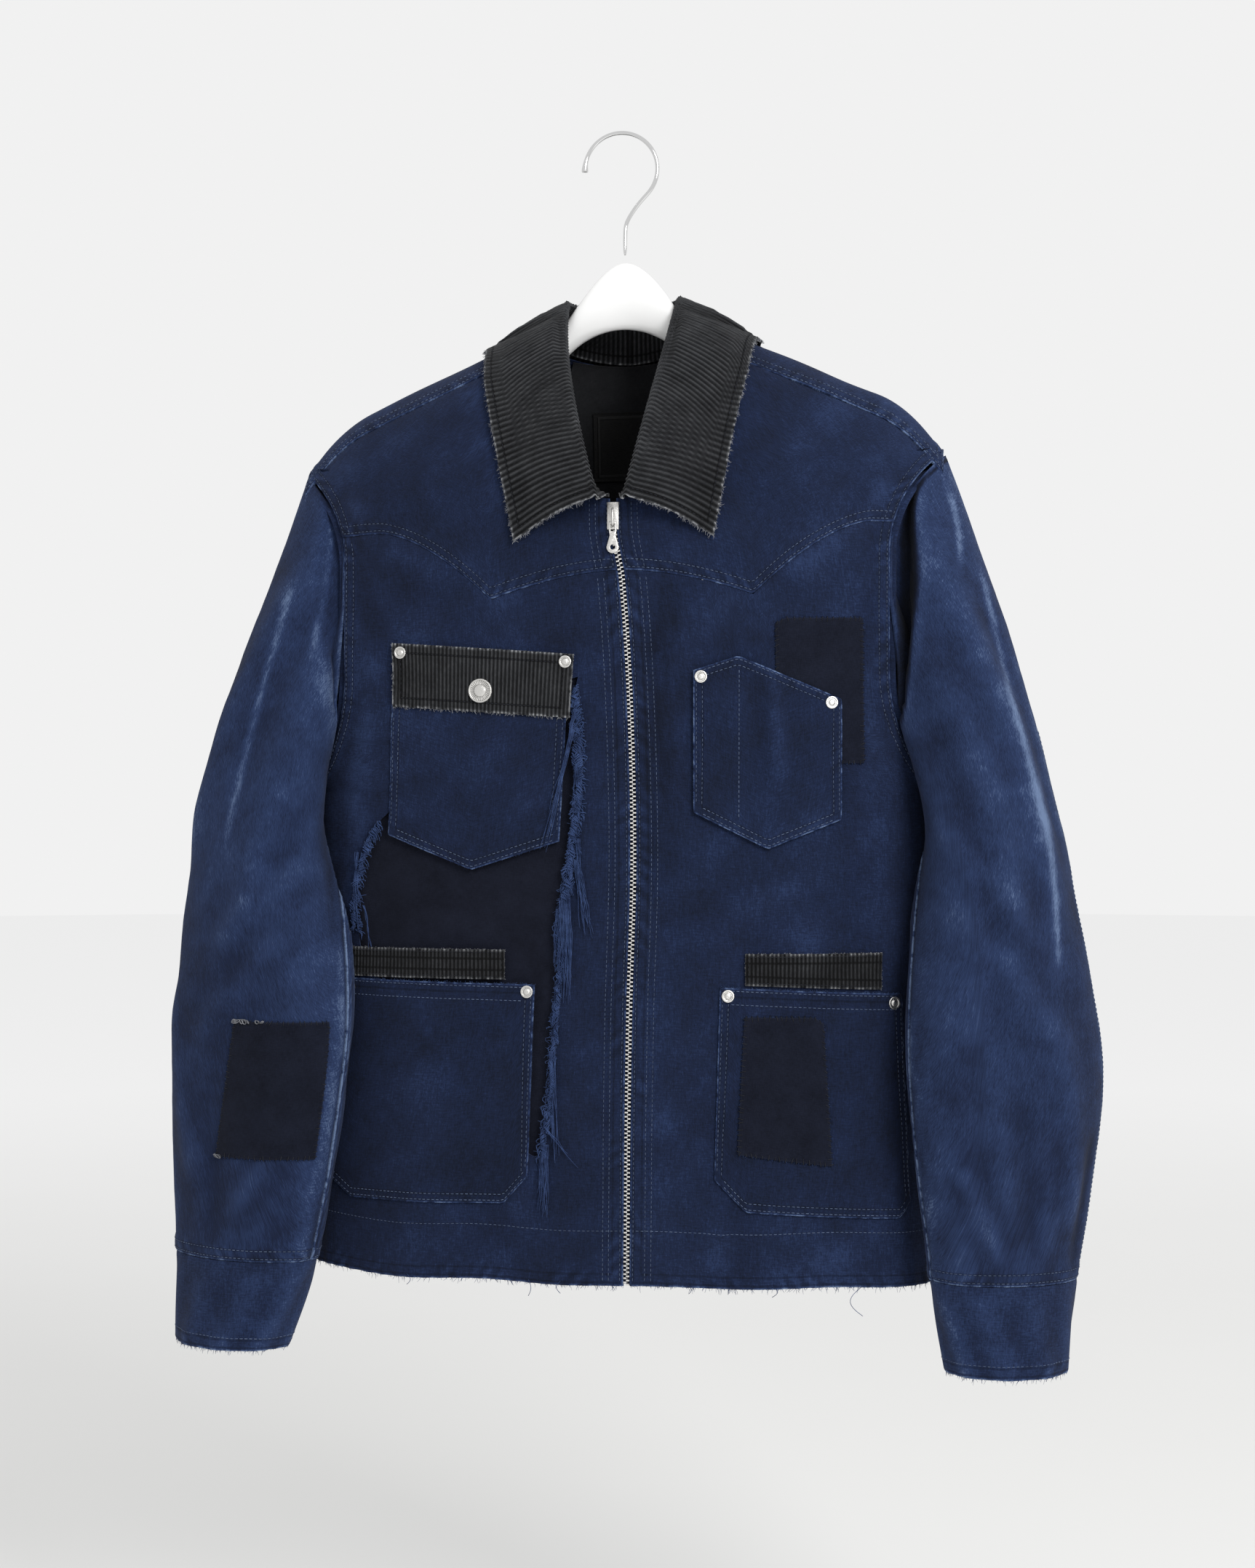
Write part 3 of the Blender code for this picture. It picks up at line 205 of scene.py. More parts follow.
@dataclass(frozen=True)
class Form:
    """The garment's outer surface: a flattened oval body under a hanger's shoulder line."""

    power: float = 2.4
    half_shoulder: float = 0.262
    half_chest: float = 0.2345
    half_hem: float = 0.240
    depths: tuple[tuple[float, float], tuple[float, float]] = ((0.076, 0.095), (0.072, 0.086))
    hem: float = -0.860
    underarm: float = -0.500
    chest: float = -0.300
    turn: float = 0.160
    arm_top: float = 0.2433
    arm_mid: float = 0.2045
    arm_fades: tuple[float, float] = (-0.330, -0.415)
    shoulder_seam: float = 0.019
    neck_half: float = 0.072
    neck_front: float = -0.285
    neck_back: float = -0.170
    yoke: tuple[float, float, float] = (-0.338, 0.0195, -0.3055)
    yoke_point: tuple[float, float] = (0.097, 0.085)
    back_yoke: float = -0.335
    zip_half: float = 0.0024
    zip_run: tuple[tuple[float, float], ...] = (
        (-0.285, 0.0025), (-0.312, 0.0035), (-0.345, 0.0095), (-0.437, 0.0160),
        (-0.552, 0.0190), (-0.666, 0.0165), (-0.860, 0.0150))

    def ridge(self, x: Array) -> Array:
        """Height of the shoulder line at x."""
        past = np.maximum(0.0, (np.abs(x) - 0.193) / 0.0525)
        return -0.120 - 0.44 * np.abs(x) - 0.0265 * past ** 2

    def half_width(self, z: Array) -> Array:
        """Half-width of the body's oval at a height."""
        upper = mix(self.half_chest, self.half_shoulder, clamp((z - self.underarm) / 0.25))
        lower = mix(self.half_chest, self.half_hem, clamp((self.underarm - z) / (self.underarm - self.hem)))
        return np.where(z > self.underarm, upper, lower)

    def half_depth(self, side: int, z: Array) -> Array:
        """Depth of the oval's front or back half at a height."""
        share = clamp((self.chest - z) / 0.45)
        near, far = self.depths[0 if side == FRONT else 1]
        return mix(near, far, share ** 0.8 if side == FRONT else share)

    def drape(self, side: int, x: Array, z: Array) -> Array:
        """Soft upright folds that deepen toward the hem."""
        grow = clamp((-0.500 - z) / 0.36)
        if side == FRONT:
            return grow * (0.0035 * np.sin(x / 0.026 + 0.6) + 0.0010 * np.sin(x / 0.014 - 1.1))
        return grow * 0.0060 * np.sin(x / 0.034 + 0.4) - 0.010 * grow * np.exp(-((x / 0.05) ** 2))

    def depth(self, side: int, x: Array, z: Array) -> Array:
        """Signed y of the outer face at x and z, before the lean."""
        rounding = np.sqrt(np.maximum(0.0, 1 - (1 - clamp((self.ridge(x) - z) / self.turn)) ** 2))
        oval = (1 - np.minimum(1.0, np.abs(x) / self.half_width(z)) ** self.power) ** (1 / self.power)
        return side * (self.half_depth(side, z) + self.drape(side, x, z)) * oval * rounding

    def lean(self, points: Array) -> Array:
        """Move points as the hanging jacket leans, one shoulder a little higher."""
        share = clamp((-0.17 - points[..., 2]) / 0.690)
        out = points.copy()
        out[..., 2] += points[..., 0] * mix(0.024, -0.012, share)
        return out

    def relief(self, side: int, x: Array, z: Array) -> Array:
        """Height of the cloth's creases over the form, none beside the zip and the seams."""
        total = sum(fold.at(x, z) for fold in BODY_FOLDS[side]) + 0.0007 * ripple(x, z, 0.060, 3 + side)
        total = total + 0.00012 * ripple(x, z, 0.021, 7 + side)
        if side == FRONT:
            total = total * smooth((np.abs(x - self.zip_x(z)) - 0.006) / 0.020)
        inside = smooth((self.side_x(z) - np.abs(x)) / 0.030 + 0.15)
        return total * inside * smooth((self.ridge(x) - z) / 0.05)

    def zip_x(self, z: Array) -> Array:
        """Sideways place of the zip."""
        return through(self.zip_run, z, 1)

    def armhole_x(self, z: Array) -> Array:
        """Sideways place of the armhole seam."""
        top = self.ridge(self.arm_top)
        up = clamp((z - self.arm_fades[0]) / (top - self.arm_fades[0]))
        down = clamp((self.arm_fades[1] - z) / (self.arm_fades[1] - self.underarm))
        above = (self.arm_top - self.arm_mid) * up ** 2.3
        return self.arm_mid + above + (self.half_chest - self.arm_mid) * down ** 2

    def side_x(self, z: Array) -> Array:
        """Edge of a panel: the armhole above the underarm, the side seam below."""
        inset = GAP / 2 * clamp((z - self.underarm) / 0.01)
        return np.where(z > self.underarm, self.armhole_x(z) - inset, self.half_width(z))

    def neckline(self, x: Array) -> Array:
        """Height of the front neckline at x."""
        away = x - 0.003 * (1 - clamp(np.abs(x) / self.neck_half) ** 2)
        reach = clamp(np.abs(away) / self.neck_half) ** 2.2
        return self.neck_front + (self.ridge(self.neck_half) - self.neck_front) * (1 - np.sqrt(1 - reach))

    def yoke_seam(self, x: Array) -> Array:
        """Height of the front yoke's lower seam."""
        centre, point, arm = self.yoke
        at, run = self.yoke_point
        away = np.abs(x - self.zip_x(np.array(centre)))
        inner = centre - point * clamp(away / at) ** 1.8
        outer = arm - (arm - centre + point) * clamp(1 - (away - at) / run) ** 1.6
        return np.where(away < at, inner, outer)

    def turned_x(self, start: Array, end: Array, share: Array, z: Array) -> Array:
        """Place at a share of the turn round the oval between two edges at a height."""
        wide = self.half_width(z)
        angles = [np.sign(e) * np.arcsin(clamp(np.abs(e) / wide) ** (self.power / 2)) for e in (start, end)]
        angle = mix(angles[0], angles[1], share)
        return np.sign(angle) * wide * np.abs(np.sin(angle)) ** (2 / self.power)

    def surface(self, side: int, x: Array, z: Array) -> Array:
        """Points of the bare form."""
        return self.lean(np.stack([x, self.depth(side, x, z), z], axis=-1))


FORM = Form()


class Surface:
    """An outer face of the garment that its cloth, patches and sewing lie on."""

    def base(self, a: Array, b: Array) -> Array:
        """Points of the bare form at the surface's own coordinates."""
        raise NotImplementedError

    def relief(self, a: Array, b: Array) -> Array:
        """Height of the creases over the form."""
        return 0 * a

    def core(self, points: Array) -> Array:
        """Points inside the form, one for each outer point."""
        return points * np.array((0.0, 0.0, 1.0))

    def normal(self, a: Array, b: Array, step: float = 0.002) -> Array:
        """Outward unit normals of the bare form.

        Args:
            a: First coordinate of the surface.
            b: Second coordinate.
            step: Distance over which the slope is taken.

        Returns:
            Unit normals.
        """
        across = self.base(a + step, b) - self.base(a - step, b)
        along = self.base(a, b + step) - self.base(a, b - step)
        found = unit(np.cross(across, along))
        here = self.base(a, b)
        facing = np.sum(found * (here - self.core(here)), axis=-1, keepdims=True)
        return np.where(facing < 0, -found, found)

    def at(self, a: Array, b: Array, lift: float | Array = 0.0) -> Array:
        """Points of the creased face, moved out by a lift."""
        a, b = np.broadcast_arrays(np.asarray(a, float), np.asarray(b, float))
        height = np.asarray(self.relief(a, b) + lift)
        return self.base(a, b) + self.normal(a, b) * height[..., None]


@dataclass(frozen=True)
class BodySurface(Surface):
    """Front or back of the body, by x and height."""

    side: int = FRONT

    def base(self, a: Array, b: Array) -> Array:
        """Points of the bare body."""
        return FORM.surface(self.side, a, b)

    def relief(self, a: Array, b: Array) -> Array:
        """Height of the body's creases."""
        return FORM.relief(self.side, a, b)


@dataclass(frozen=True)
class ShoulderSurface(Surface):
    """Top of the body, by x and the signed root of the drop below the shoulder line, back above zero."""

    def base(self, a: Array, b: Array) -> Array:
        """Points over the shoulder line."""
        z = FORM.ridge(a) - b * b
        y = np.where(b > 0, FORM.depth(BACK, a, z), FORM.depth(FRONT, a, z))
        return FORM.lean(np.stack([a, y, z], axis=-1))

    def relief(self, a: Array, b: Array) -> Array:
        """Soft hollows over the shoulders, and the back's creases below."""
        z = FORM.ridge(a) - b * b
        low = smooth((b - 0.18) / 0.15) * FORM.relief(BACK, a, np.minimum(z, FORM.ridge(a) - 0.05))
        return low + 0.0006 * ripple(a, b * 0.4, 0.05, 21) * smooth((FORM.side_x(z) - np.abs(a)) / 0.02)

    def core(self, points: Array) -> Array:
        """Points well under the shoulder line."""
        return points * np.array((1.0, 0.0, 0.0)) + np.array((0.0, 0.0, -0.4))


@dataclass(frozen=True)
class Arm(Surface):
    """One sleeve, by angle round the arm and share of the way from armhole to cuff seam.

    Attributes:
        sign: -1 for the wearer's right arm, 1 for the left.
        runs: Rows of height, outer x and y, inner x and y, and half thickness.
        recess: Depth of the dark fold beside the armhole.
        cuff_seam: Height of the cuff's seam.
        blend: Share of the way over which the armhole's shape fades.
    """

    sign: int
    runs: tuple[tuple[float, ...], ...]
    recess: float
    cuff_seam: float = -0.850
    blend: float = 0.55

    def section(self, angle: Array, z: Array) -> tuple[Array, Array]:
        """Free section at a height: angle 0 is outside, 90 degrees in front, 180 inside."""
        ox, oy, ix, iy, half = (through(self.runs, z, k) for k in range(1, 6))
        rx, ry = (ox - ix) / 2, (oy - iy) / 2
        size = np.hypot(rx, ry)
        x = (ox + ix) / 2 + rx * np.cos(angle) + ry / size * half * np.sin(angle)
        y = (oy + iy) / 2 + ry * np.cos(angle) - rx / size * half * np.sin(angle)
        return x, y

    def seam(self, angle: Array) -> tuple[Array, Array, Array]:
        """Armhole seam on the body's outer face."""
        top, bottom = FORM.ridge(FORM.arm_top), FORM.underarm
        z = (top + bottom) / 2 + (top - bottom) / 2 * np.cos(angle)
        x = FORM.armhole_x(z) + GAP / 2 + 0.0008 * clamp((z - FORM.arm_fades[0]) / 0.030)
        y = np.where(np.sin(angle) >= 0, FORM.depth(FRONT, x, z), FORM.depth(BACK, x, z))
        return x, y, z

    def clear(self, x: Array, y: Array, z: Array, margin: float | Array) -> Array:
        """Push points out of the body's oval, so that the sleeve lies against it."""
        side = np.where(y < 0, -1, 1)
        wing = np.abs(x)
        deep = np.where(y < 0, np.abs(FORM.depth(FRONT, wing, z)), np.abs(FORM.depth(BACK, wing, z)))
        lift = side * (deep + margin) - y
        over = np.where(side * lift > 0, clamp((FORM.side_x(z) + 0.004 - np.abs(x)) / 0.004), 0.0)
        wide = FORM.half_width(z) + margin
        half = np.where(y < 0, FORM.half_depth(FRONT, z), FORM.half_depth(BACK, z)) + 0.004 + margin
        inside = (np.abs(x) / wide) ** FORM.power + (np.abs(y) / half) ** FORM.power
        grow = np.where((inside > 0) & (inside < 1), np.maximum(inside, 1e-9) ** (-1 / FORM.power), 1.0)
        low = clamp((-0.360 - z) / 0.060)
        return np.stack([mix(x, x * grow, low), mix(y + lift * over, y * grow, low), z], axis=-1)

    def base(self, a: Array, b: Array) -> Array:
        """Points of the bare sleeve, and of the cuff where b is above 1."""
        a, b = np.broadcast_arrays(np.asarray(a, float), np.asarray(b, float))
        sx, sy, sz = self.seam(a)
        z = mix(sz, self.cuff_seam, b)
        x, y = self.section(a, z)
        start = self.section(a, sz)
        hold = clamp(1 - b / self.blend) ** 2
        x, y = x + (sx - start[0]) * hold, y + (sy - start[1]) * hold
        aside = x - FORM.armhole_x(z)
        wide = through(RECESS, z, 1)
        near = smooth(aside / 0.004) * smooth((wide - aside) / 0.007) * clamp(wide / 0.010)
        y = y + self.recess * near * clamp(np.sin(a) / 0.3)
        found = self.clear(x, y, z, 0.0034 * clamp(0.25 + b / 0.04))
        return FORM.lean(found * np.array((self.sign, 1.0, 1.0)))

    def share(self, angle: Array, z: Array) -> Array:
        """Share of the way to the cuff seam that a height has at an angle."""
        top = self.seam(angle)[2]
        return (top - z) / (top - self.cuff_seam)

    def relief(self, a: Array, b: Array) -> Array:
        """Height of the sleeve's long creases and elbow folds, none at its seams."""
        top = self.seam(a)[2]
        z = mix(top, self.cuff_seam, b)
        turn = (a + pi / 2) % (2 * pi) - pi / 2
        arc = ARC_RADIUS * np.where(turn > pi, turn - 2 * pi, turn)
        total = sum(fold.at(arc, z) for fold in SLEEVE_FOLDS[self.sign])
        total = total + 0.0008 * ripple(arc, z, 0.055, 11 + self.sign) + 0.00012 * ripple(arc, z, 0.019, 15)
        inner = smooth(np.abs(turn - pi) / 0.25)
        return total * smooth(b / 0.06) * smooth((1.03 - b) / 0.06 + 0.2) * inner

    def core(self, points: Array) -> Array:
        """Middle of the sleeve at each point's height."""
        ends = [np.stack(self.section(np.array(turn), points[..., 2]), axis=-1) for turn in (0.0, pi)]
        middle = (ends[0] + ends[1]) / 2 * np.array((self.sign, 1.0))
        return np.concatenate([middle, points[..., 2:3]], axis=-1)

    def normal(self, a: Array, b: Array, step: float = 0.006) -> Array:
        """Outward unit normals of the bare sleeve."""
        return super().normal(a, b, step)


RECESS = ((-0.270, 0.004), (-0.325, 0.021), (-0.390, 0.017), (-0.430, 0.012), (-0.458, 0.0))
ARM_RIGHT = Arm(-1, (
    (-0.250, 0.243, 0, 0.207, 0, 0.022), (-0.350, 0.275, -0.002, 0.205, -0.020, 0.052),
    (-0.470, 0.311, -0.014, 0.191, -0.060, 0.055), (-0.600, 0.330, -0.026, 0.190, -0.088, 0.047),
    (-0.710, 0.337, -0.034, 0.197, -0.092, 0.043), (-0.850, 0.332, -0.038, 0.222, -0.088, 0.038),
    (-0.930, 0.328, -0.040, 0.250, -0.086, 0.037)), 0.008)
ARM_LEFT = Arm(1, (
    (-0.250, 0.243, 0, 0.207, 0, 0.022), (-0.350, 0.279, -0.004, 0.222, -0.012, 0.052),
    (-0.470, 0.313, -0.020, 0.224, -0.048, 0.057), (-0.600, 0.339, -0.034, 0.220, -0.082, 0.050),
    (-0.710, 0.356, -0.040, 0.220, -0.090, 0.045), (-0.850, 0.338, -0.043, 0.236, -0.087, 0.038),
    (-0.930, 0.328, -0.046, 0.250, -0.085, 0.037)), 0.018)
FACE = {FRONT: BodySurface(FRONT), BACK: BodySurface(BACK)}


@dataclass(frozen=True)
class CollarSurface(Surface):
    """The collar, by share across from stand to leaf edge and share along from right to left front."""

    wall: float = 0.0022
    back: float = 0.42
    fold: tuple[float, float, float] = (0.043, -0.1235, 0.045)
    tip_in: tuple[float, float, float] = (0.0105, -0.098, -0.284)
    tip_out: tuple[float, float] = (0.074, -0.315)
    leaf: tuple[float, float, float] = (0.1065, -0.163, -0.200)

    def neck(self, share: Array) -> Array:
        """Neck seam: share 0 is the back's middle and 1 the front's middle."""
        half = FORM.neck_half
        turn = clamp((share - self.back) / (1 - self.back)) * pi / 2
        bx = half * np.sin(clamp(share / self.back) * pi / 2)
        bz = mix(FORM.neck_back, FORM.ridge(half), (bx / half) ** 2)
        fx = half * np.abs(np.cos(turn)) ** (1 / 1.1)
        fz = FORM.neck_front + (FORM.ridge(half) - FORM.neck_front) * (1 - np.sin(turn))
        behind = (share <= self.back)[..., None]
        rear = np.stack([bx, FORM.depth(BACK, bx, bz), bz], axis=-1)
        return np.where(behind, rear, np.stack([fx, FORM.depth(FRONT, fx, fz), fz], axis=-1))

    def crest(self, share: Array) -> Array:
        """The fold, the collar's highest line."""
        half, top, deep = self.fold
        turn = clamp(share / self.back) * pi / 2
        q = clamp((share - self.back) / (1 - self.back))
        rear = np.stack([half * np.sin(turn), 0.004 + (deep - 0.004) * np.cos(turn), top + 0 * turn], axis=-1)
        tip_x, tip_y, tip_z = self.tip_in
        near = np.stack([mix(half, tip_x, q ** 1.4), mix(0.004, tip_y, np.sin(q * pi / 2) ** 0.8),
                         mix(top, tip_z, q)], axis=-1)
        return np.where((share <= self.back)[..., None], rear, near)

    def hem(self, share: Array) -> Array:
        """The leaf's outer edge, before it is laid on the body."""
        side_x, side_z, back_z = self.leaf
        turn = clamp(share / self.back) * pi / 2
        q = clamp((share - self.back) / (1 - self.back))
        deep = FORM.depth(BACK, np.array(0.0), np.array(back_z)) + 0.004
        rear_z = mix(back_z, side_z, np.sin(turn) ** 3)
        rear = np.stack([side_x * np.sin(turn), deep * np.cos(turn), rear_z], axis=-1)
        x, z = mix(side_x, self.tip_out[0], q ** 0.9), mix(side_z, self.tip_out[1], q)
        y = FORM.depth(FRONT, x, z) * clamp(q / 0.2) - 0.003
        return np.where((share <= self.back)[..., None], rear, np.stack([x, y, z], axis=-1))

    def laid(self, points: Array, clearance: float) -> Array:
        """Points moved out of the body's form by at least a clearance.

        Args:
            points: Points of the collar.
            clearance: Least distance from the form.

        Returns:
            Moved points.
        """
        x, y, z = points[..., 0], points[..., 1], points[..., 2]
        oval = (1 - np.minimum(1.0, np.abs(x) / FORM.half_width(z)) ** FORM.power) ** (1 / FORM.power)
        deep = np.where(y < 0, FORM.half_depth(FRONT, z), FORM.half_depth(BACK, z)) * oval
        across, down = y / deep, 1 - clamp((FORM.ridge(x) - z) / FORM.turn, -1, 1)
        size = np.sqrt(across ** 2 + down ** 2)
        out = unit(np.stack([0 * x, across / deep, down / FORM.turn], axis=-1))
        face = np.stack([x, across / size * deep, FORM.ridge(x) - FORM.turn * (1 - down / size)], axis=-1)
        gap = np.sum((points - face) * out, axis=-1, keepdims=True)
        return points + out * np.maximum(0.0, clearance - gap)

    def base(self, a: Array, b: Array) -> Array:
        """Points of the collar's seen face."""
        a, b = np.broadcast_arrays(np.asarray(a, float), np.asarray(b, float))
        share, side = clamp(np.abs(b)), np.where(b < 0, -1, 1)
        front = share > self.back
        seam, fold, edge = self.neck(share), self.crest(share), self.hem(share)
        away = unit((edge - fold) * np.array((1.0, 1.0, 0.0)))
        seam = seam + unit(np.array((0.0, 0.0, -0.15)) - seam) * (self.wall + 0.0025)
        seam[..., 0] = np.where(front, np.maximum(seam[..., 0], 0.0035), seam[..., 0])
        roll, down = 0.0032, np.array((0.0, 0.0, 1.0))
        stand = fold - away * roll * 0.8 - down * roll * 1.2
        leaf = fold + away * roll * 1.2 - down * roll * 0.8
        w = clamp((a - 0.6) / 0.4)[..., None]
        lying = mix(leaf, edge, w) + down * 0.004 * np.sin(pi * w)
        lying = self.laid(lying, self.wall + GAP + 7 * FACET)
        parts = [mix(seam, stand, (a / 0.40)[..., None]), mix(stand, fold, ((a - 0.4) / 0.1)[..., None]),
                 mix(fold, leaf, ((a - 0.5) / 0.1)[..., None]), lying]
        found = np.select([(a < edge)[..., None] for edge in (0.40, 0.5, 0.6)], parts[:3], parts[3])
        drift = np.where(front, 0.003 * (1 - clamp(np.abs(seam[..., 0]) / FORM.neck_half) ** 2), 0.0)
        found[..., 0] = side * found[..., 0] + drift
        return FORM.lean(found)

    def relief(self, a: Array, b: Array) -> Array:
        """Gentle waves of the leaf."""
        return (0.0007 * ripple(a * 0.1, b * 0.3, 0.06, 31)) * smooth((a - 0.6) / 0.2)

    def core(self, points: Array) -> Array:
        """A point under the neck."""
        return 0 * points + np.array((0.0, 0.0, -0.33))


COLLAR = CollarSurface()


class Edge(Enum):
    """How an edge of a sheet of cloth is finished."""

    PLAIN = "plain"
    SEWN = "sewn"
    UNDER = "under"
    RAW = "raw"
    HEM = "hem"


WORN = (Edge.SEWN, Edge.RAW, Edge.HEM)
EDGE_ROWS = (0.0, 0.0007, 0.0016, 0.0030, 0.0046, 0.0064, 0.0086, 0.0112)
FAR = 1.0


def edge_profile(kind: Edge, away: Array, along: Array) -> Array:
    """Height of the cloth near one edge.

    Args:
        kind: The edge's finish.
        away: Distance from the edge.
        along: Distance along it.

    Returns:
        Heights that are added along the cloth's normal.
    """
    roll = -0.00055 * np.exp(-(away / 0.0010) ** 2)
    if kind is Edge.SEWN:
        lines = sum(np.exp(-((away - row) / 0.0009) ** 2) for row in SEAM_ROWS)
        fat = 0.00065 * smooth((0.0125 - away) / 0.003)
        turns = 2 * pi * (along / ROPE_PITCH + away / ROPE_SLANT)
        rope = 0.00020 * np.sin(turns + 2.2 * np.sin(along / 0.019))
        rope = rope * (0.55 + 0.45 * np.sin(along / 0.031 + 1.7 * np.sin(along / 0.047)))
        return roll * 1.4 + fat - 0.0003 * lines + rope * smooth((0.014 - away) / 0.005)
    if kind is Edge.UNDER:
        tuck = -0.0005 * np.exp(-(away / 0.002) ** 2)
        return tuck + 0.00022 * np.sin(along / 0.0019) * np.exp(-away / 0.006)
    if kind is Edge.HEM:
        return roll + 0.0007 * np.sin(along / 0.0021 + np.sin(along / 0.013)) * np.exp(-away / 0.010)
    if kind is Edge.RAW:
        return roll + 0.00035 * np.sin(along / 0.0016 + 2 * np.sin(along / 0.009)) * np.exp(-away / 0.004)
    return roll * 0.6


def spaced(length: float, cell: float, fine: Sequence[float]) -> Array:
    """Shares of a length with fine rows at both ends and even cells between.

    Args:
        length: The whole length.
        cell: Size of an even cell.
        fine: Distances of the rows from an end.

    Returns:
        Rising shares from 0 to 1.
    """
    ends = np.array([row for row in fine if row < length * 0.4])
    middle = max(2, round((length - 2 * ends[-1]) / cell))
    inner = np.linspace(ends[-1], length - ends[-1], middle + 1)[1:-1]
    return np.concatenate([ends, inner, length - ends[::-1]]) / length


def build_mesh(name: str, points: Array, quads: Array, triangles: Optional[Array] = None,
               maps: Optional[dict[str, Array]] = None) -> Piece:
    """Make a mesh object from arrays.

    Args:
        name: The object's name.
        points: Vertices, one row each.
        quads: Corners of the four-sided faces.
        triangles: Corners of the three-sided faces.
        maps: UV maps by name, one row for each vertex.

    Returns:
        The linked object, shaded smooth below a right angle.
    """
    quads = np.asarray(quads, np.int32).reshape(-1, 4)
    triangles = np.asarray([] if triangles is None else triangles, np.int32).reshape(-1, 3)
    corners = np.concatenate([quads.ravel(), triangles.ravel()]).astype(np.int32)
    sizes = np.concatenate([np.full(len(quads), 4), np.full(len(triangles), 3)])
    data = bpy.data.meshes.new(name)
    data.vertices.add(len(points))
    data.vertices.foreach_set("co", np.asarray(points, np.float32).ravel())
    data.loops.add(len(corners))
    data.loops.foreach_set("vertex_index", corners)
    data.polygons.add(len(sizes))
    data.polygons.foreach_set("loop_start", np.concatenate([[0], np.cumsum(sizes)[:-1]]).astype(np.int32))
    for key, rows in (maps or {}).items():
        layer = data.uv_layers.new(name=key)
        layer.data.foreach_set("uv", np.asarray(rows, np.float32)[corners].ravel())
    data.update(calc_edges=True)
    data.validate()
    data.shade_smooth()
    made = bpy.data.objects.new(name, data)
    bpy.context.collection.objects.link(made)
    return made


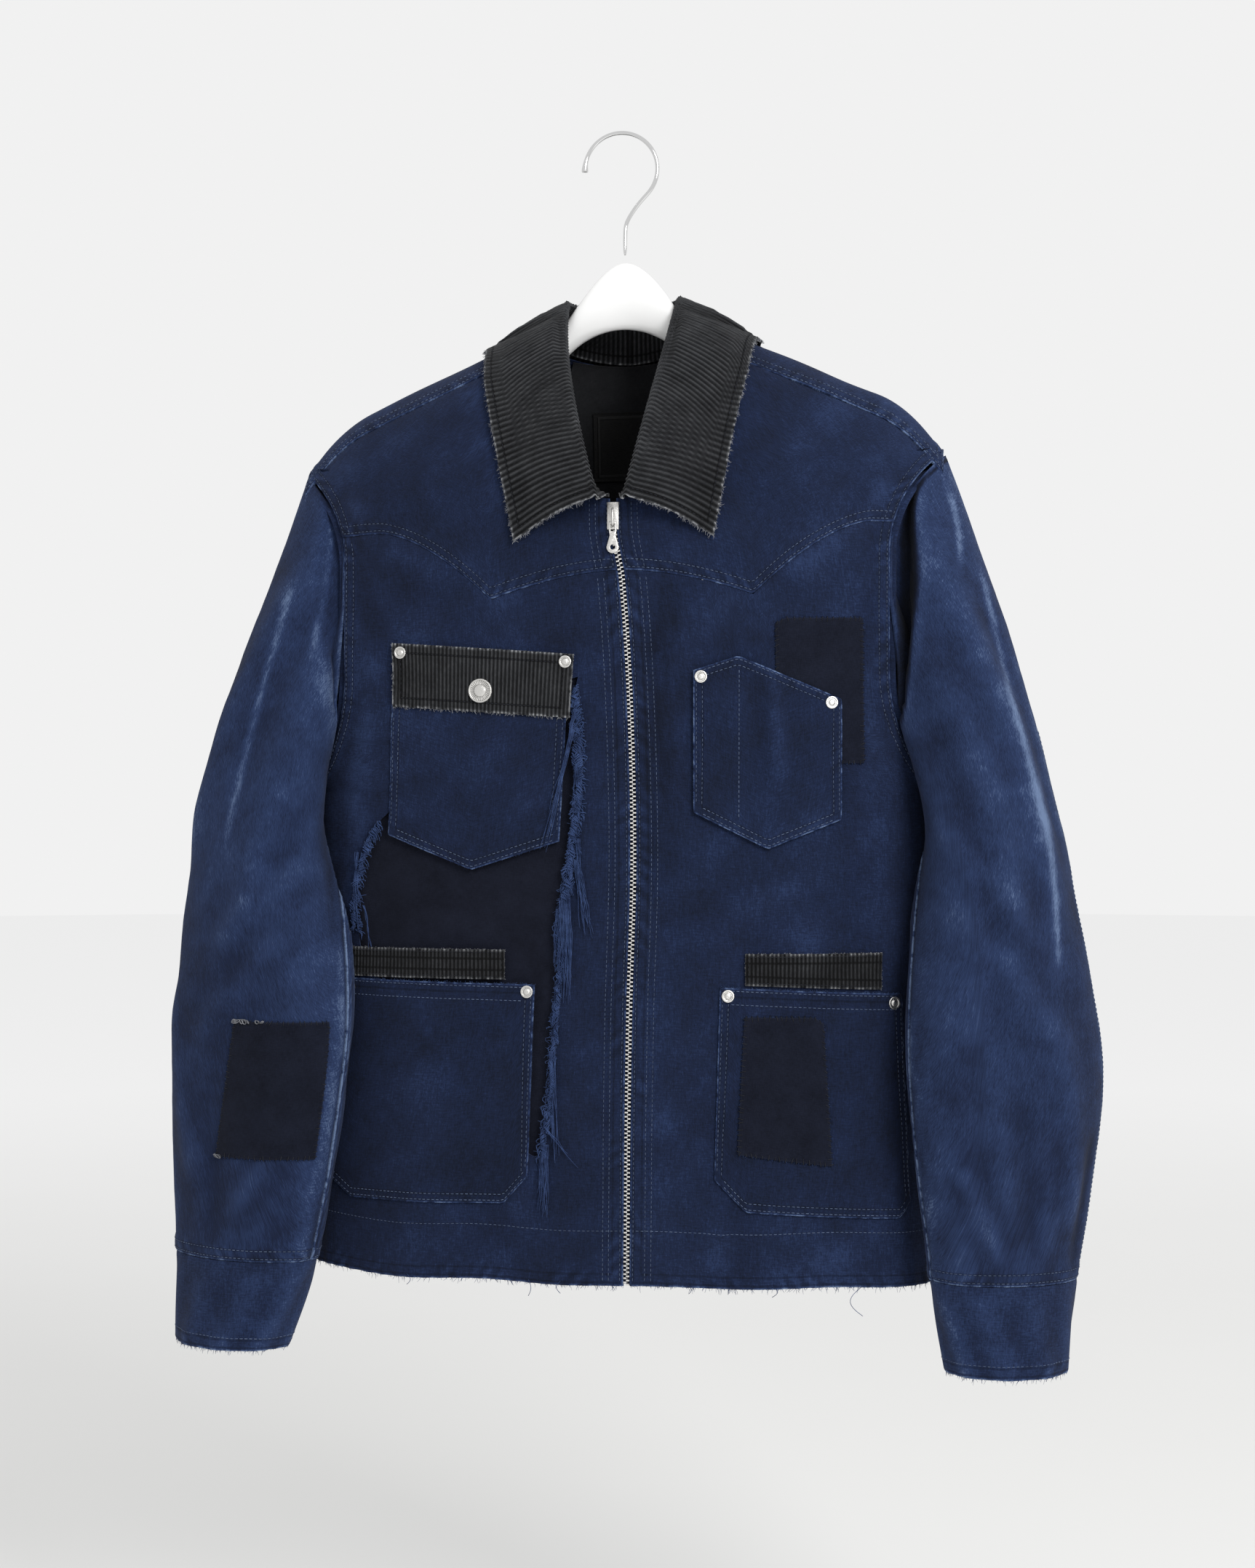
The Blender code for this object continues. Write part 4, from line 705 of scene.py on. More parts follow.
@dataclass
class Sheet:
    """A thin shell of cloth on a surface, with finished edges.

    Attributes:
        name: Name of the piece.
        place: Outer points at shares across and along.
        core: Points inside, one for each outer point.
        wall: Thickness.
        cell: Size of an even cell.
        edges: Finish of the first and last column and of the first and last row.
        closed: True for a tube, whose columns run all round.
        wale: Pitch of raised cords that run along, or none.
        wale_height: Height of a cord over the cloth.
        tone: Light and dark tone at the shares and heights given: worn fading and stains, and on the sleeves
            painted highlights along creases and painted shade in the armhole's recess.
    """

    name: str
    place: Callable[[Array, Array], Array]
    core: EdgeLine
    wall: float = CLOTH
    cell: float = 0.0036
    edges: tuple[Edge, Edge, Edge, Edge] = (Edge.SEWN, Edge.SEWN, Edge.SEWN, Edge.SEWN)
    closed: bool = False
    wale: float = 0.0
    wale_height: float = 0.00042
    tone: Optional[Callable[[Array, Array, Array], tuple[Array, Array]]] = None
    points: Array = field(init=False, repr=False)
    normals: Array = field(init=False, repr=False)
    away: list[Array] = field(init=False, repr=False)
    curve: Array = field(init=False, repr=False)
    cord: Array = field(init=False, repr=False)

    def __post_init__(self) -> None:
        """Lay out the outer face and its normals."""
        probe = np.linspace(0, 1, 33)
        rough = self.place(*np.meshgrid(probe, probe))
        wide = np.linalg.norm(np.diff(rough, axis=1), axis=-1).sum(axis=1).mean()
        long = np.linalg.norm(np.diff(rough, axis=0), axis=-1).sum(axis=0).mean()
        if self.closed:
            across = np.linspace(0, 1, round(wide / self.cell) + 1)
        elif self.wale:
            across = np.linspace(0, 1, 4 * round(wide / self.wale) + 1)
        else:
            across = spaced(wide, self.cell, EDGE_ROWS)
        along = spaced(long, self.cell, EDGE_ROWS)
        u, v = np.meshgrid(across, along)
        points = self.place(u, v)
        self.normals = self.facing(points)
        s = self.run(points, 1)
        t = self.run(points, 0)
        self.away = [s, s[:, -1:] - s, t, t[-1:, :] - t]
        self.curve = self.bend(points, s, t)
        self.cord = 0 * s
        rise = sum(edge_profile(self.edges[k], self.away[k], t if k < 2 else s)
                   for k in range(2 if self.closed else 0, 4))
        if self.wale:
            self.cord = np.cos(2 * pi * s / (s[:, -1:] / round(wide / self.wale)))
            ends = smooth(self.away[3] / 0.0012) * smooth(self.away[2] / 0.0012)
            rise = rise + self.wale_height * self.cord * ends
        self.points = points + self.normals * np.asarray(rise)[..., None]

    def run(self, points: Array, axis: int) -> Array:
        """Distance along the rows or columns from their start."""
        step = np.linalg.norm(np.diff(points, axis=axis), axis=-1)
        start = np.zeros_like(points[..., 0].take([0], axis=axis))
        return np.concatenate([start, np.cumsum(step, axis=axis)], axis=axis)

    def bend(self, points: Array, s: Array, t: Array) -> Array:
        """How sharply the cloth bends outward at each point, in turns of a radian a metre."""
        total = 0 * s
        for axis, run in ((1, s), (0, t)):
            step = np.maximum(np.gradient(run, axis=axis), 1e-5)
            ahead = unit(np.gradient(points, axis=axis))
            total = total - np.sum(np.gradient(ahead, axis=axis) * self.normals, axis=-1) / step
        total = clamp(total, -60, 60)
        for _ in range(5):
            for axis in (0, 1):
                after, before = np.roll(total, -1, axis), np.roll(total, 1, axis)
                edge = [slice(None), slice(None)]
                edge[axis] = -1
                after[tuple(edge)] = total[tuple(edge)]
                edge[axis] = 0
                before[tuple(edge)] = total[tuple(edge)]
                total = (total * 2 + after + before) / 4
        return total

    def facing(self, points: Array) -> Array:
        """Outward unit normals of a grid of points."""
        if self.closed:
            wrapped = np.concatenate([points[:, -2:-1], points, points[:, 1:2]], axis=1)
            across = (wrapped[:, 2:] - wrapped[:, :-2])
        else:
            across = np.gradient(points, axis=1)
        found = unit(np.cross(across, np.gradient(points, axis=0)))
        return found if np.sum(found * (points - self.core(points))) > 0 else -found

    def mesh(self) -> Piece:
        """Make the closed shell with its three maps."""
        rows, columns = self.points.shape[:2]
        outer, inner = self.points, self.points - self.normals * self.wall
        grid = np.arange(rows * columns).reshape(rows, columns)
        shift = rows * columns
        a, b, c, d = grid[:-1, :-1], grid[:-1, 1:], grid[1:, 1:], grid[1:, :-1]
        face = np.stack([a, b, c, d], axis=-1).reshape(-1, 4)
        first = self.points[0, 0]
        turn = np.cross(self.points[0, 1] - first, self.points[1, 0] - first)
        if np.dot(turn, self.normals[0, 0]) < 0:
            face = face[:, ::-1]
        back = face[:, ::-1] + shift
        rims = [grid[0, :], grid[-1, ::-1]] + ([] if self.closed else [grid[:, -1], grid[::-1, 0]])
        sides = []
        for rim in rims:
            side = np.stack([rim[:-1], rim[:-1] + shift, rim[1:] + shift, rim[1:]], axis=-1)
            sides.append(side if np.dot(turn, self.normals[0, 0]) > 0 else side[:, ::-1])
        faces = np.concatenate([face, back, *sides])
        s, t = self.away[0], self.away[2]
        live = [np.where(kind in WORN or (self.wale > 0 and kind is Edge.PLAIN), away, FAR)
                for kind, away in zip(self.edges, self.away)]
        near_x = np.full_like(s, FAR) if self.closed else np.minimum(live[0], live[1])
        near_y = np.minimum(live[2], live[3])
        light, dark = self.tone(outer, s, t) if self.tone else (0 * s, 0 * s)
        # Painted highlights on outward bends and painted shade in inward bends and creases; on corduroy,
        # paler wale tops from wear and painted highlight, with painted shade between the wales.
        light = light + 0.0060 * np.maximum(self.curve, 0) + (0.5 * self.cord + 0.5) * (self.wale > 0)
        dark = dark + 0.0090 * np.maximum(-self.curve, 0)
        maps = {"cloth": np.stack([s, t], axis=-1), "seam": np.stack([near_x, near_y], axis=-1),
                "wear": np.stack([light, dark], axis=-1)}
        maps = {key: np.concatenate([rows_of.reshape(-1, 2)] * 2) for key, rows_of in maps.items()}
        points = np.concatenate([outer.reshape(-1, 3), inner.reshape(-1, 3)])
        made = build_mesh(self.name, points, faces, maps=maps)
        if self.closed:
            weld_seam(made)
        mark_sharp(made)
        return made

    def line(self, edge: int, away: float, trim: tuple[float, float] = (0.0, 0.0)) -> tuple[Array, Array]:
        """Line at a distance from an edge.

        Args:
            edge: 0 and 1 for the first and last column, 2 and 3 for the first and last row.
            away: Distance from it.
            trim: Lengths left off at the line's start and end.

        Returns:
            Points and normals along the line.
        """
        far = self.away[edge]
        along = edge < 2
        points, normals = self.points, self.normals
        if not along:
            far, points, normals = far.T, points.transpose(1, 0, 2), normals.transpose(1, 0, 2)
        if edge in (1, 3):
            far, points, normals = far[:, ::-1], points[:, ::-1], normals[:, ::-1]
        k = np.argmax(far >= away, axis=1)
        row = np.arange(len(far))
        span = np.maximum(far[row, k] - far[row, k - 1], 1e-9)
        share = ((away - far[row, k - 1]) / span)[:, None]
        found = mix(points[row, k - 1], points[row, k], share)
        facing = unit(mix(normals[row, k - 1], normals[row, k], share))
        length = np.concatenate([[0], np.cumsum(np.linalg.norm(np.diff(found, axis=0), axis=-1))])
        keep = (length >= trim[0]) & (length <= length[-1] - trim[1])
        return found[keep], facing[keep]


def choose(made: Piece) -> None:
    """Make a piece the only one selected, and the active one."""
    bpy.ops.object.select_all(action="DESELECT")
    made.select_set(True)
    bpy.context.view_layer.objects.active = made


def weld_seam(made: Piece) -> None:
    """Merge the doubled column where a tube closes."""
    choose(made)
    bpy.ops.object.mode_set(mode="EDIT")
    bpy.ops.mesh.select_all(action="SELECT")
    bpy.ops.mesh.remove_doubles(threshold=1e-5)
    bpy.ops.object.mode_set(mode="OBJECT")


def mark_sharp(made: Piece, angle: float = 50.0) -> None:
    """Shade a piece smooth up to an angle in degrees."""
    choose(made)
    bpy.ops.object.shade_smooth_by_angle(angle=radians(angle))


@dataclass
class Panels:
    """Body panels: yokes, fronts and back."""

    zip_half: float = FORM.zip_half
    hem_wave: float = 0.0012
    sheets: dict[str, Sheet] = field(default_factory=dict)

    def panel(self, side: int, start: EdgeLine, end: EdgeLine,
              low: EdgeLine, high: EdgeLine) -> Callable[[Array, Array], Array]:
        """Placing function of a panel between two upright and two level edges.

        Args:
            side: FRONT or BACK.
            start: Sideways place of the first upright edge at a height.
            end: Sideways place of the last one.
            low: Height of the lower edge at a sideways place.
            high: Height of the upper edge.

        Returns:
            Function from shares to creased outer points.
        """
        face = FACE[side]

        def place(u: Array, v: Array) -> Array:
            """Points at shares across and up."""
            x = 0 * u
            for _ in range(10):
                z = mix(low(x), high(x), v)
                x = FORM.turned_x(start(z), end(z), u, z)
            points = face.at(x, z)
            gape = GAP / 2 * clamp((np.abs(x) / FORM.half_width(z) - 0.98) / 0.02)
            points[..., 1] += side * gape
            return points
        return place

    def front_edges(self, sign: int) -> tuple[EdgeLine, EdgeLine]:
        """Zip edge and side edge of a front."""
        return (lambda z: FORM.zip_x(z) + sign * self.zip_half), (lambda z: sign * FORM.side_x(z))

    def shoulders(self, u: Array, v: Array) -> Array:
        """Points of the back yoke, which wraps over both shoulders."""
        share, sign = np.abs(2 * u - 1), np.sign(2 * u - 1)
        inner = 4 / 12
        x = FORM.arm_top * share
        lower = 0 * x
        for _ in range(12):
            ridge = FORM.ridge(x)
            lower = np.sqrt(ridge - FORM.back_yoke - GAP / 2)
            neck = np.sqrt(np.maximum(0.0, ridge - mix(FORM.neck_back, FORM.ridge(FORM.neck_half),
                                                       (x / FORM.neck_half) ** 2)))
            upper = np.where(share <= inner, neck, -np.sqrt(FORM.shoulder_seam - GAP))
            root = mix(lower, upper, v)
            z = ridge - root * root
            x = np.where(share <= inner, FORM.neck_half * share / inner,
                         mix(FORM.neck_half, FORM.side_x(z), (share - inner) / (1 - inner)))
        return ShoulderSurface().at(sign * x, root)

    def build(self) -> dict[str, Sheet]:
        """Lay out the five panels."""
        hem = Edge.HEM
        for name, sign in (("right", -1), ("left", 1)):
            start, end = self.front_edges(sign)
            self.sheets[f"front_{name}"] = Sheet(
                f"denim_front_{name}", self.panel(
                    FRONT, start, end, lambda x: FORM.hem + self.hem_wave * np.sin(x / 0.021),
                    lambda x: FORM.yoke_seam(x) - GAP / 2),
                FACE[FRONT].core, edges=(Edge.SEWN, Edge.SEWN, hem, Edge.UNDER), tone=body_tone)
            self.sheets[f"yoke_front_{name}"] = Sheet(
                f"denim_yoke_front_{name}", self.panel(
                    FRONT, start, end, lambda x: FORM.yoke_seam(x) + GAP / 2,
                    lambda x: np.minimum(FORM.neckline(x), FORM.ridge(x) - FORM.shoulder_seam - 1.5 * GAP)),
                FACE[FRONT].core, edges=(Edge.SEWN, Edge.SEWN, Edge.SEWN, Edge.UNDER), tone=body_tone)
        self.sheets["back_panel"] = Sheet(
            "denim_back", self.panel(BACK, lambda z: -FORM.side_x(z), FORM.side_x,
                                     lambda x: FORM.hem + 0.0015 * np.sin(x / 0.03),
                                     lambda x: FORM.back_yoke - GAP / 2 + 0 * x),
            FACE[BACK].core, cell=0.0047, edges=(Edge.SEWN, Edge.SEWN, hem, Edge.UNDER), tone=body_tone)
        self.sheets["yoke_back"] = Sheet(
            "denim_yoke_back", self.shoulders, ShoulderSurface().core, cell=0.0040,
            edges=(Edge.SEWN, Edge.SEWN, Edge.SEWN, Edge.SEWN), tone=body_tone)
        return self.sheets


def body_tone(points: Array, s: Array, t: Array) -> tuple[Array, Array]:
    """Light and dark wear of the body's cloth."""
    x, z = points[..., 0], points[..., 2]
    light = 0.08 * ripple(x, z, 0.16, 41) + 0.07 * ripple(x, z, 0.05, 43)
    stain = np.exp(-((x - 0.041) / 0.013) ** 2) * smooth((-0.33 - z) / 0.03) * smooth((z + 0.62) / 0.16)
    stain = stain * (0.6 + 0.6 * ripple(6 * x, z, 0.05, 47))
    return clamp(light), 0.6 * stain + clamp(-light)


def hip_tone(points: Array, s: Array, t: Array) -> tuple[Array, Array]:
    """Light and dark wear of the hip pockets, a little darker than the body."""
    light, dark = body_tone(points, s, t)
    return 0.7 * light, dark + 0.16


# Painted greyish highlights along creases down the sleeves: hand, then height and sideways place
CREASE_HIGHLIGHTS = (
    (1, ((-0.3290, 0.2691), (-0.3796, 0.2805), (-0.4325, 0.2931), (-0.4903, 0.3082), (-0.5456, 0.3207),
         (-0.6400, 0.3265))),
    (1, ((-0.2665, 0.2440), (-0.3040, 0.2540), (-0.3500, 0.2555))),
    (-1, ((-0.2830, 0.2170), (-0.3466, 0.2198), (-0.4100, 0.2290))),
    (-1, ((-0.3400, 0.2430), (-0.4426, 0.2678), (-0.5500, 0.2890))),
)


def sleeve_tone(points: Array, s: Array, t: Array) -> tuple[Array, Array]:
    """Light and dark tone of the sleeves, paler than the body, with painted highlights along creases and
    painted shade in the recess beside the left armhole.
    """
    x, z = points[..., 0], points[..., 2]
    light = 0.16 + 0.05 * ripple(x, z, 0.14, 51) + 0.03 * ripple(x, z, 0.04, 53)
    # Painted shade in the recess beside the left armhole, on the front: light is taken out and dark is put
    # in.
    aside = (np.abs(x) - FORM.armhole_x(z)) / np.maximum(through(RECESS, z, 1), 0.001)
    shade = np.where((x > 0) & (points[..., 1] < 0), 1.0, 0.0) * smooth((1.02 - aside) / 0.2)
    shade = shade * smooth((z + 0.458) / 0.02) * smooth((aside - 0.22) / 0.25)
    # Painted highlights along the creases, on the front only.
    for hand, table in CREASE_HIGHLIGHTS:
        near = np.exp(-((x - hand * through(table, z, 1)) / 0.0028) ** 2) * (points[..., 1] < 0)
        light = light + 0.34 * near * smooth((table[0][0] - z) / 0.02) * smooth((z - table[-1][0]) / 0.03)
    return clamp(light - 0.08 * smooth((-0.55 - z) / 0.2)) * (1 - shade), 1.3 * shade


@dataclass
class Sleeves:
    """Two-piece sleeves with turned cuffs."""

    back_seam: float = radians(-38)
    cuff_hem: float = -0.9165
    sheets: dict[str, Sheet] = field(default_factory=dict)

    def build(self) -> dict[str, Sheet]:
        """Lay out both sleeves and cuffs."""
        for hand, arm in (("right", ARM_RIGHT), ("left", ARM_LEFT)):
            spans = (("top", self.back_seam + 0.003, pi - 0.016, 0.0036),
                     ("under", pi + 0.016, 2 * pi + self.back_seam - 0.003, 0.0042))
            for piece, first, last, cell in spans:
                def place(u: Array, v: Array, first: float = first, last: float = last,
                          arm: Arm = arm) -> Array:
                    """Points at shares round and down the arm."""
                    return arm.at(mix(first, last, u), mix(0.0024, 0.9995, v))

                self.sheets[f"sleeve_{hand}_{piece}"] = Sheet(
                    f"denim_sleeve_{hand}_{piece}", place, arm.core, cell=cell,
                    edges=(Edge.SEWN, Edge.PLAIN, Edge.UNDER, Edge.SEWN), tone=sleeve_tone)

            def round_cuff(u: Array, v: Array, arm: Arm = arm) -> Array:
                """Points at shares round and down the cuff."""
                z = mix(arm.cuff_seam - 0.0003, self.cuff_hem, v)
                x, y = arm.section(2 * pi * u, z)
                found = FORM.lean(arm.clear(x, y, z, 0.0034) * np.array((arm.sign, 1.0, 1.0)))
                swell = 0.0008 * np.sin(2 * pi * u * 9 + 3 * v) * smooth(v / 0.3)
                return found + unit((found - arm.core(found)) * np.array((1.0, 1.0, 0.0))) * swell[..., None]

            self.sheets[f"cuff_{hand}"] = Sheet(
                f"denim_cuff_{hand}", round_cuff, arm.core, closed=True,
                edges=(Edge.PLAIN, Edge.PLAIN, Edge.UNDER, Edge.RAW), tone=sleeve_tone)
        return self.sheets


@dataclass
class Applied:
    """Pieces that lie on the body's front or inside it, each lifted off the form."""

    on: float = GAP + FACET + POCKET
    patch_on: float = GAP + FACET + THIN
    band_on: float = GAP + FACET + CORD
    behind: float = -(CLOTH + GAP + 3 * FACET)
    sheets: dict[str, Sheet] = field(default_factory=dict)

    def add(self, node: str, name: str, sides: tuple[Callable, Callable], low: Callable, high: Callable,
            lift: float, wall: float, edges: tuple[Edge, Edge, Edge, Edge], side: int = FRONT,
            **options: object) -> None:
        """Lay out one piece.

        Args:
            node: The frame node that it stands for.
            name: The piece's name.
            sides: Left and right edges, by share up.
            low: Lower edge's height, by x.
            high: Upper edge's height.
            lift: Height of the outer face over the form.
            wall: Thickness.
            edges: Finish of the left, right, lower and upper edges.
            side: FRONT or BACK.
            options: Further fields of the sheet.
        """
        face, (left, right) = FACE[side], sides

        def place(u: Array, v: Array) -> Array:
            """Points at shares across and up."""
            x = mix(left(v), right(v), u)
            return face.at(x, mix(low(x), high(x), v), lift)

        self.sheets[node] = Sheet(name, place, face.core, wall=wall, edges=edges, **options)

    def build(self) -> dict[str, Sheet]:
        """Lay out pockets, bands, patches and linings."""
        sewn = (Edge.RAW,) * 4
        plain = (Edge.PLAIN,) * 4
        strip = (Edge.UNDER, Edge.UNDER, Edge.PLAIN, Edge.PLAIN)
        on, patch_on, band_on, behind = self.on, self.patch_on, self.band_on, self.behind
        self.add("chest_pocket_right", "chest_pocket_right_cloth",
                 (line(-0.1665, -0.1625), line(-0.0355, -0.0290)),
                 chain((-0.1665, -0.5319), (-0.1017, -0.5577), (-0.0355, -0.5367)),
                 chain((-0.1665, -0.3940), (-0.0290, -0.4055)), on, POCKET, sewn, tone=body_tone)
        self.add("pocket_flap", "corduroy_flap", (line(-0.1620, -0.1632), line(-0.0282, -0.0255)),
                 chain((-0.1632, -0.4355), (-0.0255, -0.4466)), chain((-0.1632, -0.3881), (-0.0255, -0.3995)),
                 on + GAP + FACET + CORD, CORD, plain, wale=0.003)
        self.add("patch_chest_left", "dark_patch_chest", (line(0.1240, 0.1215), line(0.1845, 0.1852)),
                 level(-0.4810), chain((0.1215, -0.3790), (0.1290, -0.3752), (0.1852, -0.3756)),
                 patch_on, THIN, sewn)
        self.add("chest_pocket_left", "chest_pocket_left_cloth", (line(0.0629, 0.0625), line(0.1687, 0.1692)),
                 chain((0.0625, -0.5159), (0.1165, -0.5430), (0.1692, -0.5218)),
                 chain((0.0625, -0.4127), (0.0949, -0.4025), (0.1692, -0.4344)), patch_on + on, POCKET, sewn,
                 tone=body_tone)
        self.add("hip_pocket_right", "hip_pocket_right_cloth",
                 (line(-0.2170, -0.2019), line(-0.0580, -0.0534)),
                 chain((-0.2170, -0.7900), (-0.1964, -0.8052), (-0.0763, -0.8025), (-0.0580, -0.7820)),
                 chain((-0.2019, -0.6397), (-0.0534, -0.6418)), on, POCKET, sewn, tone=hip_tone)
        self.add("hip_pocket_left", "hip_pocket_left_cloth", (line(0.0785, 0.0821), line(0.2180, 0.2120)),
                 chain((0.0785, -0.7820), (0.1007, -0.8051), (0.2107, -0.8107), (0.2180, -0.7990)),
                 chain((0.0821, -0.6428), (0.2120, -0.6483)), on, POCKET, sewn, tone=hip_tone)
        self.add("corduroy_band_right", "corduroy_strip_right",
                 (line(-0.1974, -0.1976), line(-0.0758, -0.0760)), level(-0.6382), level(-0.6163),
                 band_on, CORD, strip, wale=0.003)
        self.add("corduroy_band_left", "corduroy_strip_left", (line(0.1005, 0.1004), line(0.1976, 0.1976)),
                 chain((0.1004, -0.6415), (0.1976, -0.6450)), level(-0.6186),
                 band_on, CORD, strip, wale=0.003)
        self.add("patch_hip_left", "dark_patch_hip", (line(0.0950, 0.1000), line(0.1623, 0.1565)),
                 chain((0.0950, -0.7632), (0.1623, -0.7713)),
                 chain((0.0950, -0.6642), (0.1500, -0.6645), (0.1623, -0.6724)), on + patch_on, THIN, sewn)
        self.add("rip_underlay", "dark_underlay",
                 ((lambda v: -0.1945 + 0.2 * np.maximum(0.0, v - 0.70)), line(-0.0080, -0.0080)),
                 level(-0.800), level(-0.402), behind, THIN, plain, cell=0.0045)
        self.add("back_lining", "black_neck_lining", (line(-0.094, -0.044), line(0.094, 0.044)),
                 level(-0.325), lambda x: -0.1680 + 2.2 * x * x, behind, THIN, plain, side=BACK, cell=0.0050)
        self.add("neck_label", "bare_neck_label", (line(-0.0305, -0.0305), line(0.0305, 0.0305)),
                 level(-0.256), level(-0.202), behind - THIN - GAP - FACET, 0.0009, plain, side=BACK)
        for hand, sign in (("right", -1), ("left", 1)):
            def tape(u: Array, v: Array, sign: int = sign) -> Array:
                """Points at shares across and up a zip tape."""
                z = mix(FORM.hem + 0.002, FORM.neck_front - 0.002, v)
                x = FORM.zip_x(z) + sign * mix(GAP / 2, 0.013, u)
                return FACE[FRONT].at(x, z, -(CLOTH + GAP + 2 * FACET))

            self.sheets[f"zip_tape_{hand}"] = Sheet(f"woven_tape_{hand}", tape, FACE[FRONT].core, wall=0.0010,
                                                    edges=plain, cell=0.004)

        def sleeve_patch(u: Array, v: Array) -> Array:
            """Points at shares round and up the sleeve's patch."""
            angle = np.radians(mix(mix(86, 96, v), 160, u))
            return ARM_RIGHT.at(angle, ARM_RIGHT.share(angle, mix(-0.7720, -0.6700, v)), patch_on)

        self.sheets["patch_sleeve_right"] = Sheet(
            "dark_patch_sleeve", sleeve_patch, ARM_RIGHT.core, wall=THIN, edges=sewn)
        return self.sheets


@dataclass
class Collar:
    """Corduroy collar with raised wales across its leaf."""

    wall: float = 0.0022

    def build(self) -> Sheet:
        """Lay out the collar in one piece."""
        def place(u: Array, v: Array) -> Array:
            """Points at shares along from right to left front and across from the neck seam."""
            return COLLAR.at(v, 2 * u - 1)
        return Sheet("corduroy_collar", place, COLLAR.core, wall=self.wall, cell=0.0045,
                     edges=(Edge.PLAIN,) * 4, wale=0.0039, wale_height=0.00058)


class Graph:
    """Small helper that builds one material's nodes."""

    def __init__(self, name: str) -> None:
        """Make the material with its shader."""
        self.material = bpy.data.materials.new(name)
        self.material.use_nodes = True
        self.tree = self.material.node_tree
        self.shader = self.tree.nodes["Principled BSDF"]

    def put(self, socket: Socket, value: object) -> None:
        """Link a node's output into a socket, or set its value."""
        if isinstance(value, Socket):
            self.tree.links.new(value, socket)
        elif value is not None:
            socket.default_value = value

    def math(self, kind: str, first: object, second: object = None, third: object = None) -> Socket:
        """Arithmetic on one to three values.

        Args:
            kind: Operation of the maths node.
            first: First value or socket.
            second: Second one, if any.
            third: Third one, if any.

        Returns:
            The result's socket.
        """
        node = self.tree.nodes.new("ShaderNodeMath")
        node.operation = kind
        for socket, value in zip(node.inputs, (first, second, third)):
            self.put(socket, value)
        return node.outputs[0]

    def total(self, *terms: tuple[object, float]) -> Socket:
        """Sum of values times weights."""
        found = self.math("MULTIPLY", terms[0][0], terms[0][1])
        for value, weight in terms[1:]:
            found = self.math("MULTIPLY_ADD", value, weight, found)
        return found

    def fade(self, value: object, low: float, high: float, start: float = 0.0, end: float = 1.0) -> Socket:
        """Smooth step of a value from low to high.

        Args:
            value: The value.
            low: Where the step starts.
            high: Where it ends.
            start: Result at low.
            end: Result at high.

        Returns:
            The result's socket.
        """
        node = self.tree.nodes.new("ShaderNodeMapRange")
        node.interpolation_type = "SMOOTHSTEP"
        for socket, item in zip(node.inputs, (value, low, high, start, end)):
            self.put(socket, item)
        return node.outputs[0]

    def uv(self, name: str) -> tuple[Socket, Socket, Socket]:
        """A UV map as a vector and its two parts."""
        node = self.tree.nodes.new("ShaderNodeUVMap")
        node.uv_map = name
        parts = self.tree.nodes.new("ShaderNodeSeparateXYZ")
        self.put(parts.inputs[0], node.outputs[0])
        return node.outputs[0], parts.outputs[0], parts.outputs[1]

    def place(self) -> Socket:
        """Object coordinates."""
        return self.tree.nodes.new("ShaderNodeTexCoord").outputs["Object"]

    def stretch(self, vector: Socket, scale: tuple[float, float, float],
                turn: float = 0.0) -> Socket:
        """Scale and turn coordinates."""
        node = self.tree.nodes.new("ShaderNodeMapping")
        node.inputs["Scale"].default_value = scale
        node.inputs["Rotation"].default_value = (0, 0, radians(turn))
        self.put(node.inputs[0], vector)
        return node.outputs[0]

    def noise(self, vector: Socket, scale: float, detail: float = 2.0,
              rough: float = 0.5) -> Socket:
        """Noise value round one half.

        Args:
            vector: Coordinates.
            scale: Waves a unit.
            detail: Octaves.
            rough: Share of the finer octaves.

        Returns:
            The noise's socket.
        """
        node = self.tree.nodes.new("ShaderNodeTexNoise")
        self.put(node.inputs["Vector"], vector)
        node.inputs["Scale"].default_value = scale
        node.inputs["Detail"].default_value = detail
        node.inputs["Roughness"].default_value = rough
        return node.outputs[0]

    def ramp(self, value: Socket, stops: Sequence[tuple[float, Colour]]) -> Socket:
        """Colour of a value between stops.

        Args:
            value: The value.
            stops: Place and colour of each stop.

        Returns:
            The colour's socket.
        """
        node = self.tree.nodes.new("ShaderNodeValToRGB")
        entries = node.color_ramp.elements
        while len(entries) < len(stops):
            entries.new(0.5)
        for entry, (place, colour) in zip(entries, stops):
            entry.position = place
            entry.color = (*colour, 1)
        self.put(node.inputs[0], value)
        return node.outputs[0]

    def hollow(self, reach: float) -> Socket:
        """How open the surface is within a short reach: 0 in a groove, 1 on a plain face."""
        node = self.tree.nodes.new("ShaderNodeAmbientOcclusion")
        node.samples = 6
        node.only_local = True
        node.inputs["Distance"].default_value = reach
        return node.outputs["AO"]

    def bump(self, height: Socket, depth: float, under: object = None) -> Socket:
        """Normal from a height in units of a depth in metres.

        Args:
            height: The height.
            depth: Depth of one unit.
            under: Normal it adds to, if any.

        Returns:
            The normal's socket.
        """
        node = self.tree.nodes.new("ShaderNodeBump")
        node.inputs["Distance"].default_value = depth
        self.put(node.inputs["Height"], height)
        self.put(node.inputs["Normal"], under)
        return node.outputs[0]

